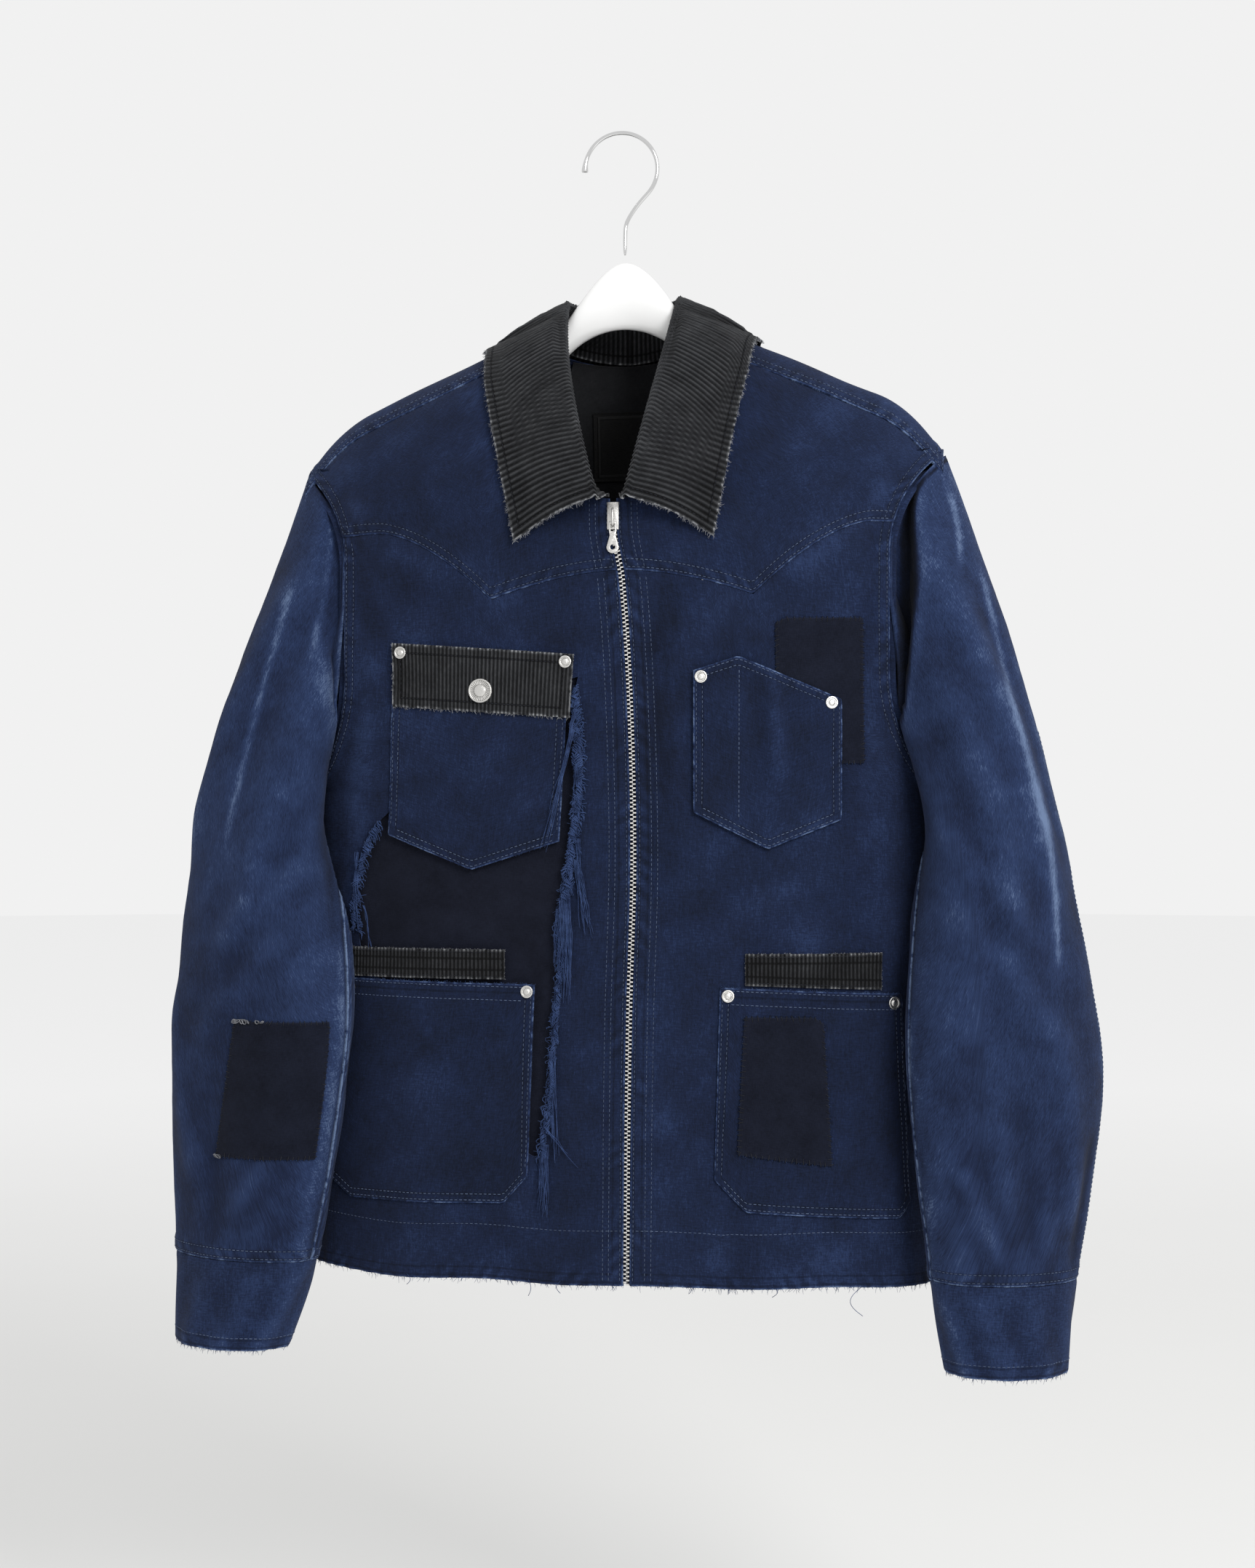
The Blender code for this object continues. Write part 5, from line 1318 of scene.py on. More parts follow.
    def finish(self, colour: object, rough: object, normal: object = None, sheen: float = 0.0,
               metal: float = 0.0, coat: float = 0.0, gloss: float = 0.5) -> bpy.types.Material:
        """Set the shader's sockets and return the material."""
        sockets = self.shader.inputs
        self.put(sockets["Base Color"], colour)
        self.put(sockets["Roughness"], rough)
        self.put(sockets["Normal"], normal)
        sockets["Sheen Weight"].default_value = sheen
        sockets["Specular IOR Level"].default_value = gloss
        sockets["Sheen Roughness"].default_value = 0.6
        sockets["Metallic"].default_value = metal
        sockets["Coat Weight"].default_value = coat
        sockets["Coat Roughness"].default_value = 0.08
        return self.material


INDIGO = ((0.00, (0.0020, 0.0028, 0.0062)), (0.30, (0.0046, 0.0076, 0.0195)),
          (0.50, (0.0080, 0.0138, 0.0380)), (0.74, (0.0188, 0.0332, 0.0860)),
          (1.00, (0.1050, 0.1500, 0.2550)))


@dataclass(frozen=True)
class Canvas:
    """Worn indigo canvas with roped seams, pale edges and painted shade in its stitch grooves.

    Attributes:
        name: The material's name.
        base: Tone where nothing wears it.
        rope: Strength of the roped seam.
        rows: Distances of the sewn lines from an edge.
        edge: Strength of the pale worn edge.
    """

    name: str
    base: float = 0.42
    rope: float = 0.09
    rows: tuple[float, ...] = SEAM_ROWS
    edge: float = 0.36

    def seam(self, graph: Graph) -> tuple[Socket, Socket]:
        """Tone and height of the nearest seam, with painted shade in its stitch grooves.

        Args:
            graph: The material's nodes.

        Returns:
            Tone to add, and height to add.
        """
        _, s, t = graph.uv("cloth")
        _, dx, dy = graph.uv("seam")
        away = graph.math("MINIMUM", dx, dy)
        first = graph.math("LESS_THAN", dx, dy)
        along = graph.math("ADD", graph.math("MULTIPLY", t, first),
                           graph.math("MULTIPLY", s, graph.math("SUBTRACT", 1.0, first)))
        sway = graph.math("SINE", graph.math("MULTIPLY", along, 1 / 0.017))
        phase = graph.total((along, 2 * pi / ROPE_PITCH), (away, 2 * pi / ROPE_SLANT), (sway, 2.2))
        rope = graph.math("MULTIPLY", graph.math("SINE", phase), graph.fade(away, 0.0135, 0.0085))
        worn = graph.noise(graph.place(), 170.0, 3.0, 0.6)
        rope = graph.math("MULTIPLY", rope, graph.fade(graph.noise(graph.place(), 30.0, 2.0), 0.40, 0.62))
        pale = graph.math("MULTIPLY", graph.fade(away, 0.0019, 0.0002), graph.fade(worn, 0.30, 0.62))
        lines = [graph.fade(graph.math("ABSOLUTE", graph.math("SUBTRACT", away, row)), 0.0011, 0.0003)
                 for row in self.rows]
        groove = lines[0]
        for row in lines[1:]:
            groove = graph.math("MAXIMUM", groove, row)
        # The groove term darkens the stitch lines: painted shade in the grooves.
        tone = graph.total((rope, self.rope), (pale, self.edge), (groove, -0.10))
        height = graph.total((rope, 0.35 * self.rope / 0.2), (groove, -0.5))
        return tone, height

    def make(self) -> bpy.types.Material:
        """Build the material."""
        graph = Graph(self.name)
        cloth, _, _ = graph.uv("cloth")
        _, light, dark = graph.uv("wear")
        tone, height = self.seam(graph)
        place = graph.place()
        broad = graph.noise(place, 7.0, 2.0)
        mottle = graph.noise(place, 38.0, 4.0, 0.62)
        cross = graph.noise(graph.stretch(cloth, (170.0, 900.0, 1.0), 3.0), 1.0, 2.0, 0.6)
        twill = graph.noise(graph.stretch(cloth, (1500.0, 420.0, 1.0), 35.0), 1.0, 2.0, 0.6)
        slub = graph.noise(graph.stretch(cloth, (620.0, 90.0, 1.0), -2.0), 1.0, 2.0, 0.6)
        # Light and dark from the wear map: worn fading and stains, with painted highlights and painted shade.
        value = graph.total((broad, 0.20), (mottle, 0.40), (cross, 0.34), (twill, 0.42), (slub, 0.30),
                            (tone, 1.0), (light, 0.75), (dark, -0.30))
        value = graph.math("ADD", value, self.base - 0.81)
        weave = graph.total((cross, 0.5), (twill, 0.5))
        normal = graph.bump(weave, 0.00055, graph.bump(height, 0.0006))
        rough = graph.fade(mottle, 0.2, 0.8, 0.82, 0.96)
        return graph.finish(graph.ramp(value, INDIGO), rough, normal, sheen=0.02, gloss=0.08)


@dataclass(frozen=True)
class DarkCloth:
    """Dark plain-woven cloth of the patches and linings."""

    name: str
    low: Colour = (0.0018, 0.0022, 0.0046)
    high: Colour = (0.0100, 0.0125, 0.0240)
    edge: float = 0.25

    def make(self) -> bpy.types.Material:
        """Build the material."""
        graph = Graph(self.name)
        cloth, _, _ = graph.uv("cloth")
        _, dx, dy = graph.uv("seam")
        away = graph.math("MINIMUM", dx, dy)
        place = graph.place()
        mottle = graph.noise(place, 45.0, 4.0, 0.65)
        warp = graph.noise(graph.stretch(cloth, (260.0, 1300.0, 1.0)), 1.0, 2.0, 0.6)
        weft = graph.noise(graph.stretch(cloth, (1300.0, 260.0, 1.0)), 1.0, 2.0, 0.6)
        pale = graph.math("MULTIPLY", graph.fade(away, 0.0016, 0.0002), graph.noise(place, 200.0, 2.0))
        value = graph.total((mottle, 0.45), (warp, 0.28), (weft, 0.28), (pale, self.edge))
        normal = graph.bump(graph.total((warp, 0.5), (weft, 0.5)), 0.0005)
        colour = graph.ramp(value, ((0.25, self.low), (0.75, self.high)))
        return graph.finish(colour, 0.92, normal, sheen=0.02, gloss=0.06)


@dataclass(frozen=True)
class Corduroy:
    """Faded corduroy, paler along raw edges from wear, paler on the tops of its wales from wear and painted
    highlight, with painted shade between the wales and in its stitch groove.
    """

    name: str
    deep: float = 0.21

    def make(self) -> bpy.types.Material:
        """Build the material."""
        graph = Graph(self.name)
        cloth, _, _ = graph.uv("cloth")
        _, light, dark = graph.uv("wear")
        place = graph.place()
        mottle = graph.noise(place, 60.0, 4.0, 0.65)
        pile = graph.noise(graph.stretch(cloth, (900.0, 260.0, 1.0)), 1.0, 3.0, 0.65)
        _, dx, dy = graph.uv("seam")
        away = graph.math("MINIMUM", dx, dy)
        worn = graph.fade(graph.noise(place, 240.0), 0.3, 0.6)
        pale = graph.math("MULTIPLY", graph.fade(away, 0.0026, 0.0004), worn)
        # Painted shade along the stitch groove.
        groove = graph.fade(graph.math("ABSOLUTE", graph.math("SUBTRACT", away, 0.0068)), 0.0012, 0.0003)
        # Light and dark from the wear map: painted highlights on wale tops and bends, painted shade between
        # wales and in creases.
        value = graph.total((mottle, 0.34), (pile, 0.36), (light, 0.46), (dark, -0.5), (pale, 0.42),
                            (groove, -0.24))
        value = graph.math("SUBTRACT", value, self.deep)
        colour = graph.ramp(value, ((0.12, (0.0025, 0.0026, 0.0030)), (0.40, (0.0135, 0.0142, 0.0160)),
                                    (0.72, (0.0520, 0.0540, 0.0580)), (1.0, (0.2300, 0.2350, 0.2450))))
        return graph.finish(colour, 0.9, graph.bump(pile, 0.0006), sheen=0.04, gloss=0.06)


@dataclass(frozen=True)
class Yarn:
    """Cotton yarn or sewing thread."""

    name: str
    low: Colour
    high: Colour

    def make(self) -> bpy.types.Material:
        """Build the material."""
        graph = Graph(self.name)
        place = graph.place()
        value = graph.noise(place, 130.0, 3.0, 0.6)
        ply = graph.noise(place, 1800.0, 2.0, 0.6)
        colour = graph.ramp(graph.total((value, 0.8), (ply, 0.25)), ((0.30, self.low), (0.74, self.high)))
        return graph.finish(colour, 0.9, graph.bump(ply, 0.0003), sheen=0.03, gloss=0.08)


@dataclass(frozen=True)
class Metal:
    """Worn metal with fine scratches and dirt, and with painted shade in its hollows."""

    name: str
    low: Colour = (0.030, 0.028, 0.026)
    high: Colour = (0.62, 0.61, 0.59)
    rough: tuple[float, float] = (0.22, 0.42)
    scratch: float = 0.00012
    # Reach of the painted shade in hollows.
    groove: float = 0.0016

    def make(self) -> bpy.types.Material:
        """Build the material."""
        graph = Graph(self.name)
        place = graph.place()
        dirt = graph.noise(place, 420.0, 4.0, 0.6)
        fine = graph.noise(graph.stretch(place, (900.0, 900.0, 5000.0)), 1.0, 2.0)
        # Painted shade: the colour darkens in hollows by how closed in they are.
        hollow_shade = graph.hollow(self.groove)
        colour = graph.ramp(graph.total((dirt, 0.25), (hollow_shade, 0.8)), ((0.42, self.low), (0.80, self.high)))
        rough = graph.fade(dirt, 0.3, 0.7, *self.rough)
        return graph.finish(colour, rough, graph.bump(fine, self.scratch), metal=1.0)


@dataclass(frozen=True)
class Plastic:
    """Glossy moulded white plastic."""

    name: str

    def make(self) -> bpy.types.Material:
        """Build the material."""
        graph = Graph(self.name)
        place = graph.place()
        cloud = graph.noise(place, 14.0, 3.0)
        scuff = graph.noise(graph.stretch(place, (40.0, 400.0, 90.0)), 1.0, 4.0, 0.7)
        colour = graph.ramp(cloud, ((0.3, (0.72, 0.72, 0.715)), (0.7, (0.78, 0.78, 0.775))))
        rough = graph.fade(scuff, 0.35, 0.75, 0.16, 0.30)
        return graph.finish(colour, rough, graph.bump(cloud, 0.0004), coat=0.35)


@dataclass(frozen=True)
class Label:
    """Black woven label with a raised border and nothing written on it."""

    name: str
    border: tuple[float, float] = (0.0035, 0.0050)

    def make(self) -> bpy.types.Material:
        """Build the material."""
        graph = Graph(self.name)
        cloth, s, t = graph.uv("cloth")
        across = graph.math("MINIMUM", s, graph.math("SUBTRACT", 0.061, s))
        down = graph.math("MINIMUM", t, graph.math("SUBTRACT", 0.054, t))
        away = graph.math("MINIMUM", across, down)
        rim = graph.math("MULTIPLY", graph.fade(away, self.border[0] - 0.0006, self.border[0]),
                         graph.fade(away, self.border[1] + 0.0006, self.border[1]))
        weave = graph.noise(graph.stretch(cloth, (500.0, 1600.0, 1.0)), 1.0, 2.0)
        colour = graph.ramp(graph.total((weave, 0.6), (rim, 0.35)),
                            ((0.2, (0.0035, 0.0035, 0.0040)), (0.9, (0.0230, 0.0230, 0.0240))))
        normal = graph.bump(graph.total((weave, 0.25), (rim, 1.0)), 0.0008)
        return graph.finish(colour, 0.7, normal, gloss=0.2)


@dataclass(frozen=True)
class Floor:
    """Pale floor with painted shade near the middle and painted light far off, so that its far part blends
    into the bright air.
    """

    name: str

    def make(self) -> bpy.types.Material:
        """Build the material."""
        graph = Graph(self.name)
        place = graph.place()
        node = graph.tree.nodes.new("ShaderNodeVectorMath")
        node.operation = "LENGTH"
        graph.put(node.inputs[0], place)
        # Darker within 1.5 metres and paler past 5.5: painted light that evens the lit floor with the air.
        far = graph.fade(node.outputs["Value"], 1.5, 5.5)
        value = graph.total((graph.noise(place, 3.0, 4.0), 0.10), (far, 1.0))
        colour = graph.ramp(value, ((0.0, (0.80, 0.80, 0.79)), (1.0, (0.955, 0.955, 0.955))))
        return graph.finish(colour, 1.0, gloss=0.0)


class Finish(Enum):
    """Every finish of the jacket and its hanger."""

    BODY = Canvas("indigo canvas, body")
    SLEEVE = Canvas("indigo canvas, sleeves", base=0.44, rope=0.08)
    POCKET = Canvas("indigo canvas, pockets", base=0.41, rope=0.03, rows=(POCKET_ROW,), edge=0.46)
    PATCH = DarkCloth("dark patch cloth")
    UNDERLAY = DarkCloth("dark underlay", (0.0020, 0.0024, 0.0050), (0.0100, 0.0120, 0.0225))
    LINING = DarkCloth("black lining", (0.0060, 0.0062, 0.0072), (0.0240, 0.0250, 0.0280))
    CORD = Corduroy("charcoal corduroy")
    BAND = Corduroy("dark corduroy strip", 0.30)
    TAPE = DarkCloth("navy zip tape", (0.0040, 0.0060, 0.0160), (0.0160, 0.0230, 0.0550))
    LABEL = Label("bare woven label")
    THREAD = Yarn("worn blue thread", (0.0300, 0.0440, 0.0850), (0.1100, 0.1450, 0.2300))
    DARK_THREAD = Yarn("black thread", (0.0040, 0.0045, 0.0070), (0.0250, 0.0270, 0.0350))
    GREY_THREAD = Yarn("grey frayed yarn", (0.0600, 0.0620, 0.0700), (0.3200, 0.3300, 0.3600))
    BLUE_YARN = Yarn("blue frayed yarn", (0.0060, 0.0120, 0.0400), (0.0460, 0.0800, 0.1950))
    SILVER = Metal("worn silver")
    CHROME = Metal("polished wire", (0.30, 0.30, 0.30), (0.66, 0.66, 0.66), (0.06, 0.12), 0.00001)
    TEETH = Metal("zip teeth", (0.20, 0.20, 0.19), (0.72, 0.71, 0.69), groove=0.0002)
    WHITE = Plastic("white plastic")
    FLOOR = Floor("pale floor")


class Wardrobe:
    """Makes each finish once and hands it out."""

    def __init__(self) -> None:
        """Start with no finish made."""
        self.made: dict[Finish, bpy.types.Material] = {}

    def dress(self, piece: Piece, finish: Finish) -> Piece:
        """Give a piece one finish."""
        if finish not in self.made:
            self.made[finish] = finish.value.make()
        piece.data.materials.clear()
        piece.data.materials.append(self.made[finish])
        return piece


WARDROBE = Wardrobe()


def seat(piece: Piece, finish: Finish, slot: str, *nodes: str, body: str = BODY) -> Piece:
    """Dress a piece, hang it on its body and hide the nodes it stands for.

    Args:
        piece: The finished piece.
        finish: Its material.
        slot: Its slot in the frame; not used.
        nodes: Nodes it stands for.
        body: Body it moves with.

    Returns:
        The same piece.
    """
    WARDROBE.dress(piece, finish)
    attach(piece, body)
    if nodes:
        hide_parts(*nodes)
    LOG.info("%s: %d faces", piece.name, len(piece.data.polygons))
    return piece


def tubes(paths: Array, radii: Array, sides: int = 3) -> tuple[Array, Array, Array]:
    """Closed tapering tubes along many paths of the same number of points.

    Args:
        paths: Points, shaped strands by points by 3.
        radii: Radius at each point.
        sides: Sides of a tube.

    Returns:
        Vertices, four-sided faces and three-sided end faces.
    """
    count, steps = paths.shape[:2]
    ahead = unit(np.gradient(paths, axis=1))
    across = unit(np.cross(ahead, np.array((0.31, 0.87, 0.38))))
    upward = np.cross(across, ahead)
    turns = 2 * pi * np.arange(sides) / sides
    ring = (across[:, :, None] * np.cos(turns)[:, None] + upward[:, :, None] * np.sin(turns)[:, None])
    points = paths[:, :, None] + ring * radii[:, :, None, None]
    grid = np.arange(count * steps * sides).reshape(count, steps, sides)
    after = np.roll(grid, -1, axis=2)
    quads = np.stack([grid[:, :-1], after[:, :-1], after[:, 1:], grid[:, 1:]], axis=-1).reshape(-1, 4)
    if sides == 3:
        return points.reshape(-1, 3), quads, np.concatenate([grid[:, 0, ::-1], grid[:, -1]])
    ends = np.concatenate([grid[:, 0, ::-1], grid[:, -1]])
    return points.reshape(-1, 3), np.concatenate([quads, ends]), np.zeros((0, 3), int)


class Threads:
    """Collects strands and makes them one piece."""

    def __init__(self, name: str) -> None:
        """Start with no strand."""
        self.name = name
        self.parts: list[tuple[Array, Array, Array]] = []

    def add(self, paths: Array, radii: Array, sides: int = 3) -> None:
        """Add strands along paths with a radius at each point."""
        if len(paths):
            self.parts.append(tubes(np.asarray(paths, float), np.broadcast_to(radii, paths.shape[:2]), sides))

    def sew(self, points: Array, normals: Array, stitch: float = 0.0027, gap: float = 0.0008,
            radius: float = 0.00030, proud: float = 0.00016) -> None:
        """Sew a row of stitches along a line.

        Args:
            points: The line.
            normals: Normals along it.
            stitch: Length of a stitch.
            gap: Length between stitches.
            radius: The thread's radius.
            proud: Height of a stitch's middle over the cloth.
        """
        if len(points) < 2:
            return
        run = np.concatenate([[0], np.cumsum(np.linalg.norm(np.diff(points, axis=0), axis=-1))])
        starts = np.arange(gap, run[-1] - stitch, stitch + gap)
        if not len(starts):
            return
        shares = starts[:, None] + stitch * np.array((0.0, 0.25, 0.75, 1.0))
        where = np.stack([np.interp(shares, run, points[:, k]) for k in range(3)], axis=-1)
        facing = unit(np.stack([np.interp(shares, run, normals[:, k]) for k in range(3)], axis=-1))
        lift = np.array((-0.0004, proud, proud, -0.0004))
        self.add(where + facing * lift[None, :, None], radius * np.array((0.7, 1.0, 1.0, 0.7)))

    def whip(self, points: Array, normals: Array, outward: Array, seed: int, pitch: float = 0.0042,
             reach: float = 0.0028, radius: float = 0.00032) -> None:
        """Sew short stitches over an edge.

        Args:
            points: The edge.
            normals: Normals along it.
            outward: Directions in the cloth's plane, away from the piece.
            seed: Seed of the stitches' unevenness.
            pitch: Distance between stitches.
            reach: Length of a stitch inside the edge.
            radius: The thread's radius.
        """
        rng = np.random.default_rng(seed)
        run = np.concatenate([[0], np.cumsum(np.linalg.norm(np.diff(points, axis=0), axis=-1))])
        starts = np.arange(pitch / 2, run[-1] - pitch / 2, pitch) + 0.0
        starts = starts + rng.uniform(-0.18, 0.18, len(starts)) * pitch
        pick = [np.stack([np.interp(starts, run, table[:, k]) for k in range(3)], axis=-1)
                for table in (points, normals, outward)]
        along = unit(np.cross(pick[1], pick[2]))
        slant = rng.uniform(-0.35, 0.35, (len(starts), 1))
        away = unit(pick[2] + along * slant)
        size = reach * rng.uniform(0.75, 1.25, (len(starts), 1))
        steps = ((-1.0, -0.0003), (-0.45, 0.00040), (0.12, 0.00035), (0.42, -0.0012))
        path = np.stack([pick[0] + away * size * far + pick[1] * up for far, up in steps], axis=1)
        self.add(path, radius * np.array((0.7, 1.0, 1.0, 0.8)))

    def fray(self, points: Array, normals: Array, outward: Array, seed: int, density: float,
             length: tuple[float, float], radius: float = 0.00016, droop: float = 0.3,
             sink: float = 0.0010) -> None:
        """Short loose yarns along a raw edge.

        Args:
            points: The edge.
            normals: Normals along it.
            outward: Directions in the cloth's plane, away from the piece.
            seed: Seed of the yarns' unevenness.
            density: Yarns in a metre.
            length: Shortest and longest yarn.
            radius: A yarn's radius.
            droop: How far a yarn bends down, as a share of its length.
            sink: Depth of its root under the face.
        """
        rng = np.random.default_rng(seed)
        run = np.concatenate([[0], np.cumsum(np.linalg.norm(np.diff(points, axis=0), axis=-1))])
        count = int(run[-1] * density)
        if count < 1:
            return
        starts = rng.uniform(0, run[-1], count)
        pick = [np.stack([np.interp(starts, run, table[:, k]) for k in range(3)], axis=-1)
                for table in (points, normals, outward)]
        along = unit(np.cross(pick[1], pick[2]))
        aside = along * rng.normal(0, 0.75, (count, 1))
        head = unit(pick[2] + aside + pick[1] * rng.uniform(-0.05, 0.45, (count, 1)))
        size = rng.uniform(0, 1, (count, 1)) ** 2 * (length[1] - length[0]) + length[0]
        bend = along * rng.normal(0, 0.35, (count, 1)) + np.array((0.0, 0.0, -droop)) + pick[1] * 0.1
        root = pick[0] - pick[1] * sink * rng.uniform(0.2, 1.0, (count, 1)) - pick[2] * 0.0006
        middle, tip = root + head * size * 0.55 + pick[2] * 0.0004, root + head * size + bend * size * 0.5
        path = np.stack([root, middle, tip], axis=1)
        self.add(path, radius * np.array((1.0, 1.0, 0.45)))

    def mesh(self) -> Piece:
        """Make the piece from its strands."""
        points, quads, ends, base = [], [], [], 0
        for part in self.parts:
            points.append(part[0])
            quads.append(part[1] + base)
            ends.append(part[2] + base)
            base += len(part[0])
        return build_mesh(self.name, np.concatenate(points), np.concatenate(quads), np.concatenate(ends))


def side_out(sheet: Sheet, edge: int, away: float = 0.0) -> tuple[Array, Array, Array]:
    """Line at a distance from a sheet's edge, with directions out of the sheet."""
    points, normals = sheet.line(edge, max(away, 1e-6))
    inner, _ = sheet.line(edge, away + 0.0015)
    count = min(len(points), len(inner))
    return points[:count], normals[:count], unit(points[:count] - inner[:count])


POCKETS = ("chest_pocket_right", "chest_pocket_left", "hip_pocket_right", "hip_pocket_left")
PATCHES = ("patch_chest_left", "patch_hip_left", "patch_sleeve_right")


@dataclass
class Sewing:
    """Rows of stitches and the frayed edges of the cloth."""

    seam_rows: tuple[float, ...] = SEAM_ROWS
    pocket_row: float = POCKET_ROW
    hem_row: float = 0.0400
    zip_rows: tuple[float, ...] = (0.0110, 0.0155)

    def build(self, sheets: dict[str, Sheet]) -> list[Piece]:
        """Sew the whole jacket.

        Args:
            sheets: The laid out cloth, by node.

        Returns:
            The pieces of thread.
        """
        blue, dark = Threads("topstitching"), Threads("patch_stitches")
        self.seams(blue, sheets)
        self.pockets(blue, sheets)
        self.corduroy(dark, sheets)
        self.patches(dark, sheets)
        pale, navy = Threads("corduroy_fray"), Threads("canvas_fray")
        self.frays(pale, navy, sheets)
        return [seat(blue.mesh(), Finish.THREAD, "blue_yarn"),
                seat(dark.mesh(), Finish.DARK_THREAD, "dark_patch"),
                seat(pale.mesh(), Finish.GREY_THREAD, "charcoal_corduroy"),
                seat(navy.mesh(), Finish.BLUE_YARN, "blue_yarn")]

    def rows(self, thread: Threads, sheet: Sheet, edge: int, rows: Iterable[float],
             trim: tuple[float, float] = (0.002, 0.002)) -> None:
        """Sew rows at distances from one edge."""
        for away in rows:
            thread.sew(*sheet.line(edge, away, trim))

    def seams(self, thread: Threads, sheets: dict[str, Sheet]) -> None:
        """Sew the panels' roped seams, the zip's rows and the hem."""
        for hand in ("right", "left"):
            for piece in ("front", "yoke_front"):
                sheet = sheets[f"{piece}_{hand}"]
                self.rows(thread, sheet, 1, self.seam_rows)
                self.rows(thread, sheet, 0, (0.0024, *self.zip_rows))
            self.rows(thread, sheets[f"yoke_front_{hand}"], 2, self.seam_rows)
            self.rows(thread, sheets[f"front_{hand}"], 2, (self.hem_row,))
            self.rows(thread, sheets[f"sleeve_{hand}_top"], 0, self.seam_rows)
            self.rows(thread, sheets[f"sleeve_{hand}_top"], 3, self.seam_rows)
            self.rows(thread, sheets[f"sleeve_{hand}_under"], 3, self.seam_rows)
            self.rows(thread, sheets[f"cuff_{hand}"], 3, (0.0100,))
        for edge in (0, 1):
            self.rows(thread, sheets["back_panel"], edge, self.seam_rows)
        self.rows(thread, sheets["back_panel"], 2, (self.hem_row,))
        self.rows(thread, sheets["yoke_back"], 2, self.seam_rows)
        for edge in (0, 1):
            self.rows(thread, sheets["yoke_back"], edge, self.seam_rows)
        self.rows(thread, sheets["yoke_back"], 3, self.seam_rows, (0.004, 0.004))

    def pockets(self, thread: Threads, sheets: dict[str, Sheet]) -> None:
        """Sew the pockets' edges and the pen slot."""
        row = self.pocket_row
        for node in POCKETS:
            for edge in (0, 1, 2):
                self.rows(thread, sheets[node], edge, (0.0022, row), (row, row * 0.6))
            mouth = (0.0022, 0.0120) if "hip" in node else (0.0022, row)
            self.rows(thread, sheets[node], 3, mouth, (row, row))
        z = np.linspace(-0.412, -0.520, 60)
        face, lift = FACE[FRONT], 2 * (GAP + FACET) + THIN + POCKET
        x = 0 * z + 0.0955
        thread.sew(face.at(x, z, lift), face.normal(x, z))
        share = np.linspace(0.34, 0.995, 150)
        for turn in (0.24, 0.31):
            angle = turn + 0.10 * share
            thread.sew(ARM_LEFT.at(angle, share), ARM_LEFT.normal(angle, share))

    def corduroy(self, thread: Threads, sheets: dict[str, Sheet]) -> None:
        """Sew the flap, the bands and the collar's leaf."""
        for edge in range(4):
            self.rows(thread, sheets["pocket_flap"], edge, (0.0068,), (0.0068, 0.0068))
        for hand in ("right", "left"):
            for edge in range(4):
                self.rows(thread, sheets[f"corduroy_band_{hand}"], edge, (0.0022,))
        collar = sheets["collar"]
        self.rows(thread, collar, 3, (0.0065,), (0.0065, 0.0065))
        for edge in (0, 1):
            points, normals = collar.line(edge, 0.0065, (0.0, 0.0065))
            thread.sew(points[int(len(points) * 0.55):], normals[int(len(points) * 0.55):])

    def patches(self, thread: Threads, sheets: dict[str, Sheet]) -> None:
        """Whip the patches down all round."""
        for k, node in enumerate(PATCHES):
            for edge in range(4):
                thread.whip(*side_out(sheets[node], edge), seed=100 + 10 * k + edge)

    def frays(self, pale: Threads, navy: Threads, sheets: dict[str, Sheet]) -> None:
        """Fray the corduroy's raw edges, the pockets, the hem and the cuffs."""
        collar = sheets["collar"]
        pale.fray(*side_out(collar, 3), seed=1, density=1500, length=(0.0008, 0.0034))
        for edge in (0, 1):
            points, normals, outward = side_out(collar, edge)
            start = int(len(points) * 0.60)
            pale.fray(points[start:], normals[start:], outward[start:], 2 + edge, 2600, (0.0008, 0.0045))
        for edge, length in ((0, 0.0022), (1, 0.0018), (2, 0.0028), (3, 0.0010)):
            pale.fray(*side_out(sheets["pocket_flap"], edge), 10 + edge, 1800, (0.0005, length))
        for k, hand in enumerate(("right", "left")):
            for edge, length in ((0, 0.0016), (1, 0.0016), (3, 0.0020)):
                pale.fray(*side_out(sheets[f"corduroy_band_{hand}"], edge), 20 + 4 * k + edge, 1100,
                          (0.0005, length))
        for k, node in enumerate(POCKETS):
            for edge in range(4):
                navy.fray(*side_out(sheets[node], edge), 40 + 4 * k + edge, 420, (0.0004, 0.0014), 0.00013)
        for k, node in enumerate(PATCHES):
            for edge in range(4):
                navy.fray(*side_out(sheets[node], edge), 90 + 4 * k + edge, 900, (0.0005, 0.0022), 0.00013)
        for k, node in enumerate(("hip_pocket_right", "hip_pocket_left")):
            navy.fray(*side_out(sheets[node], 3), 110 + k, 2200, (0.0005, 0.0024), 0.00016, 0.0)
        for k, node in enumerate(("front_right", "front_left", "back_panel")):
            navy.fray(*side_out(sheets[node], 2), 60 + k, 1100, (0.0006, 0.0040), 0.00015, 0.8)
        for k, hand in enumerate(("right", "left")):
            navy.fray(*side_out(sheets[f"cuff_{hand}"], 3), 70 + k, 1200, (0.0006, 0.0036), 0.00015, 0.8)
        self.knots(pale, sheets)
        for x, sway, length in ((-0.058, 0.002, 0.012), (-0.034, -0.003, 0.009), (0.185, -0.009, 0.022),
                                (0.120, 0.004, 0.008), (-0.150, 0.003, 0.008), (0.060, 0.002, 0.006)):
            t = np.linspace(0, 1, 12)
            z = FORM.hem + 0.002 - length * t
            navy.add(FACE[FRONT].at(x + sway * np.sin(pi * t), z, 0.0006 + 0 * t)[None], np.array(0.00024))

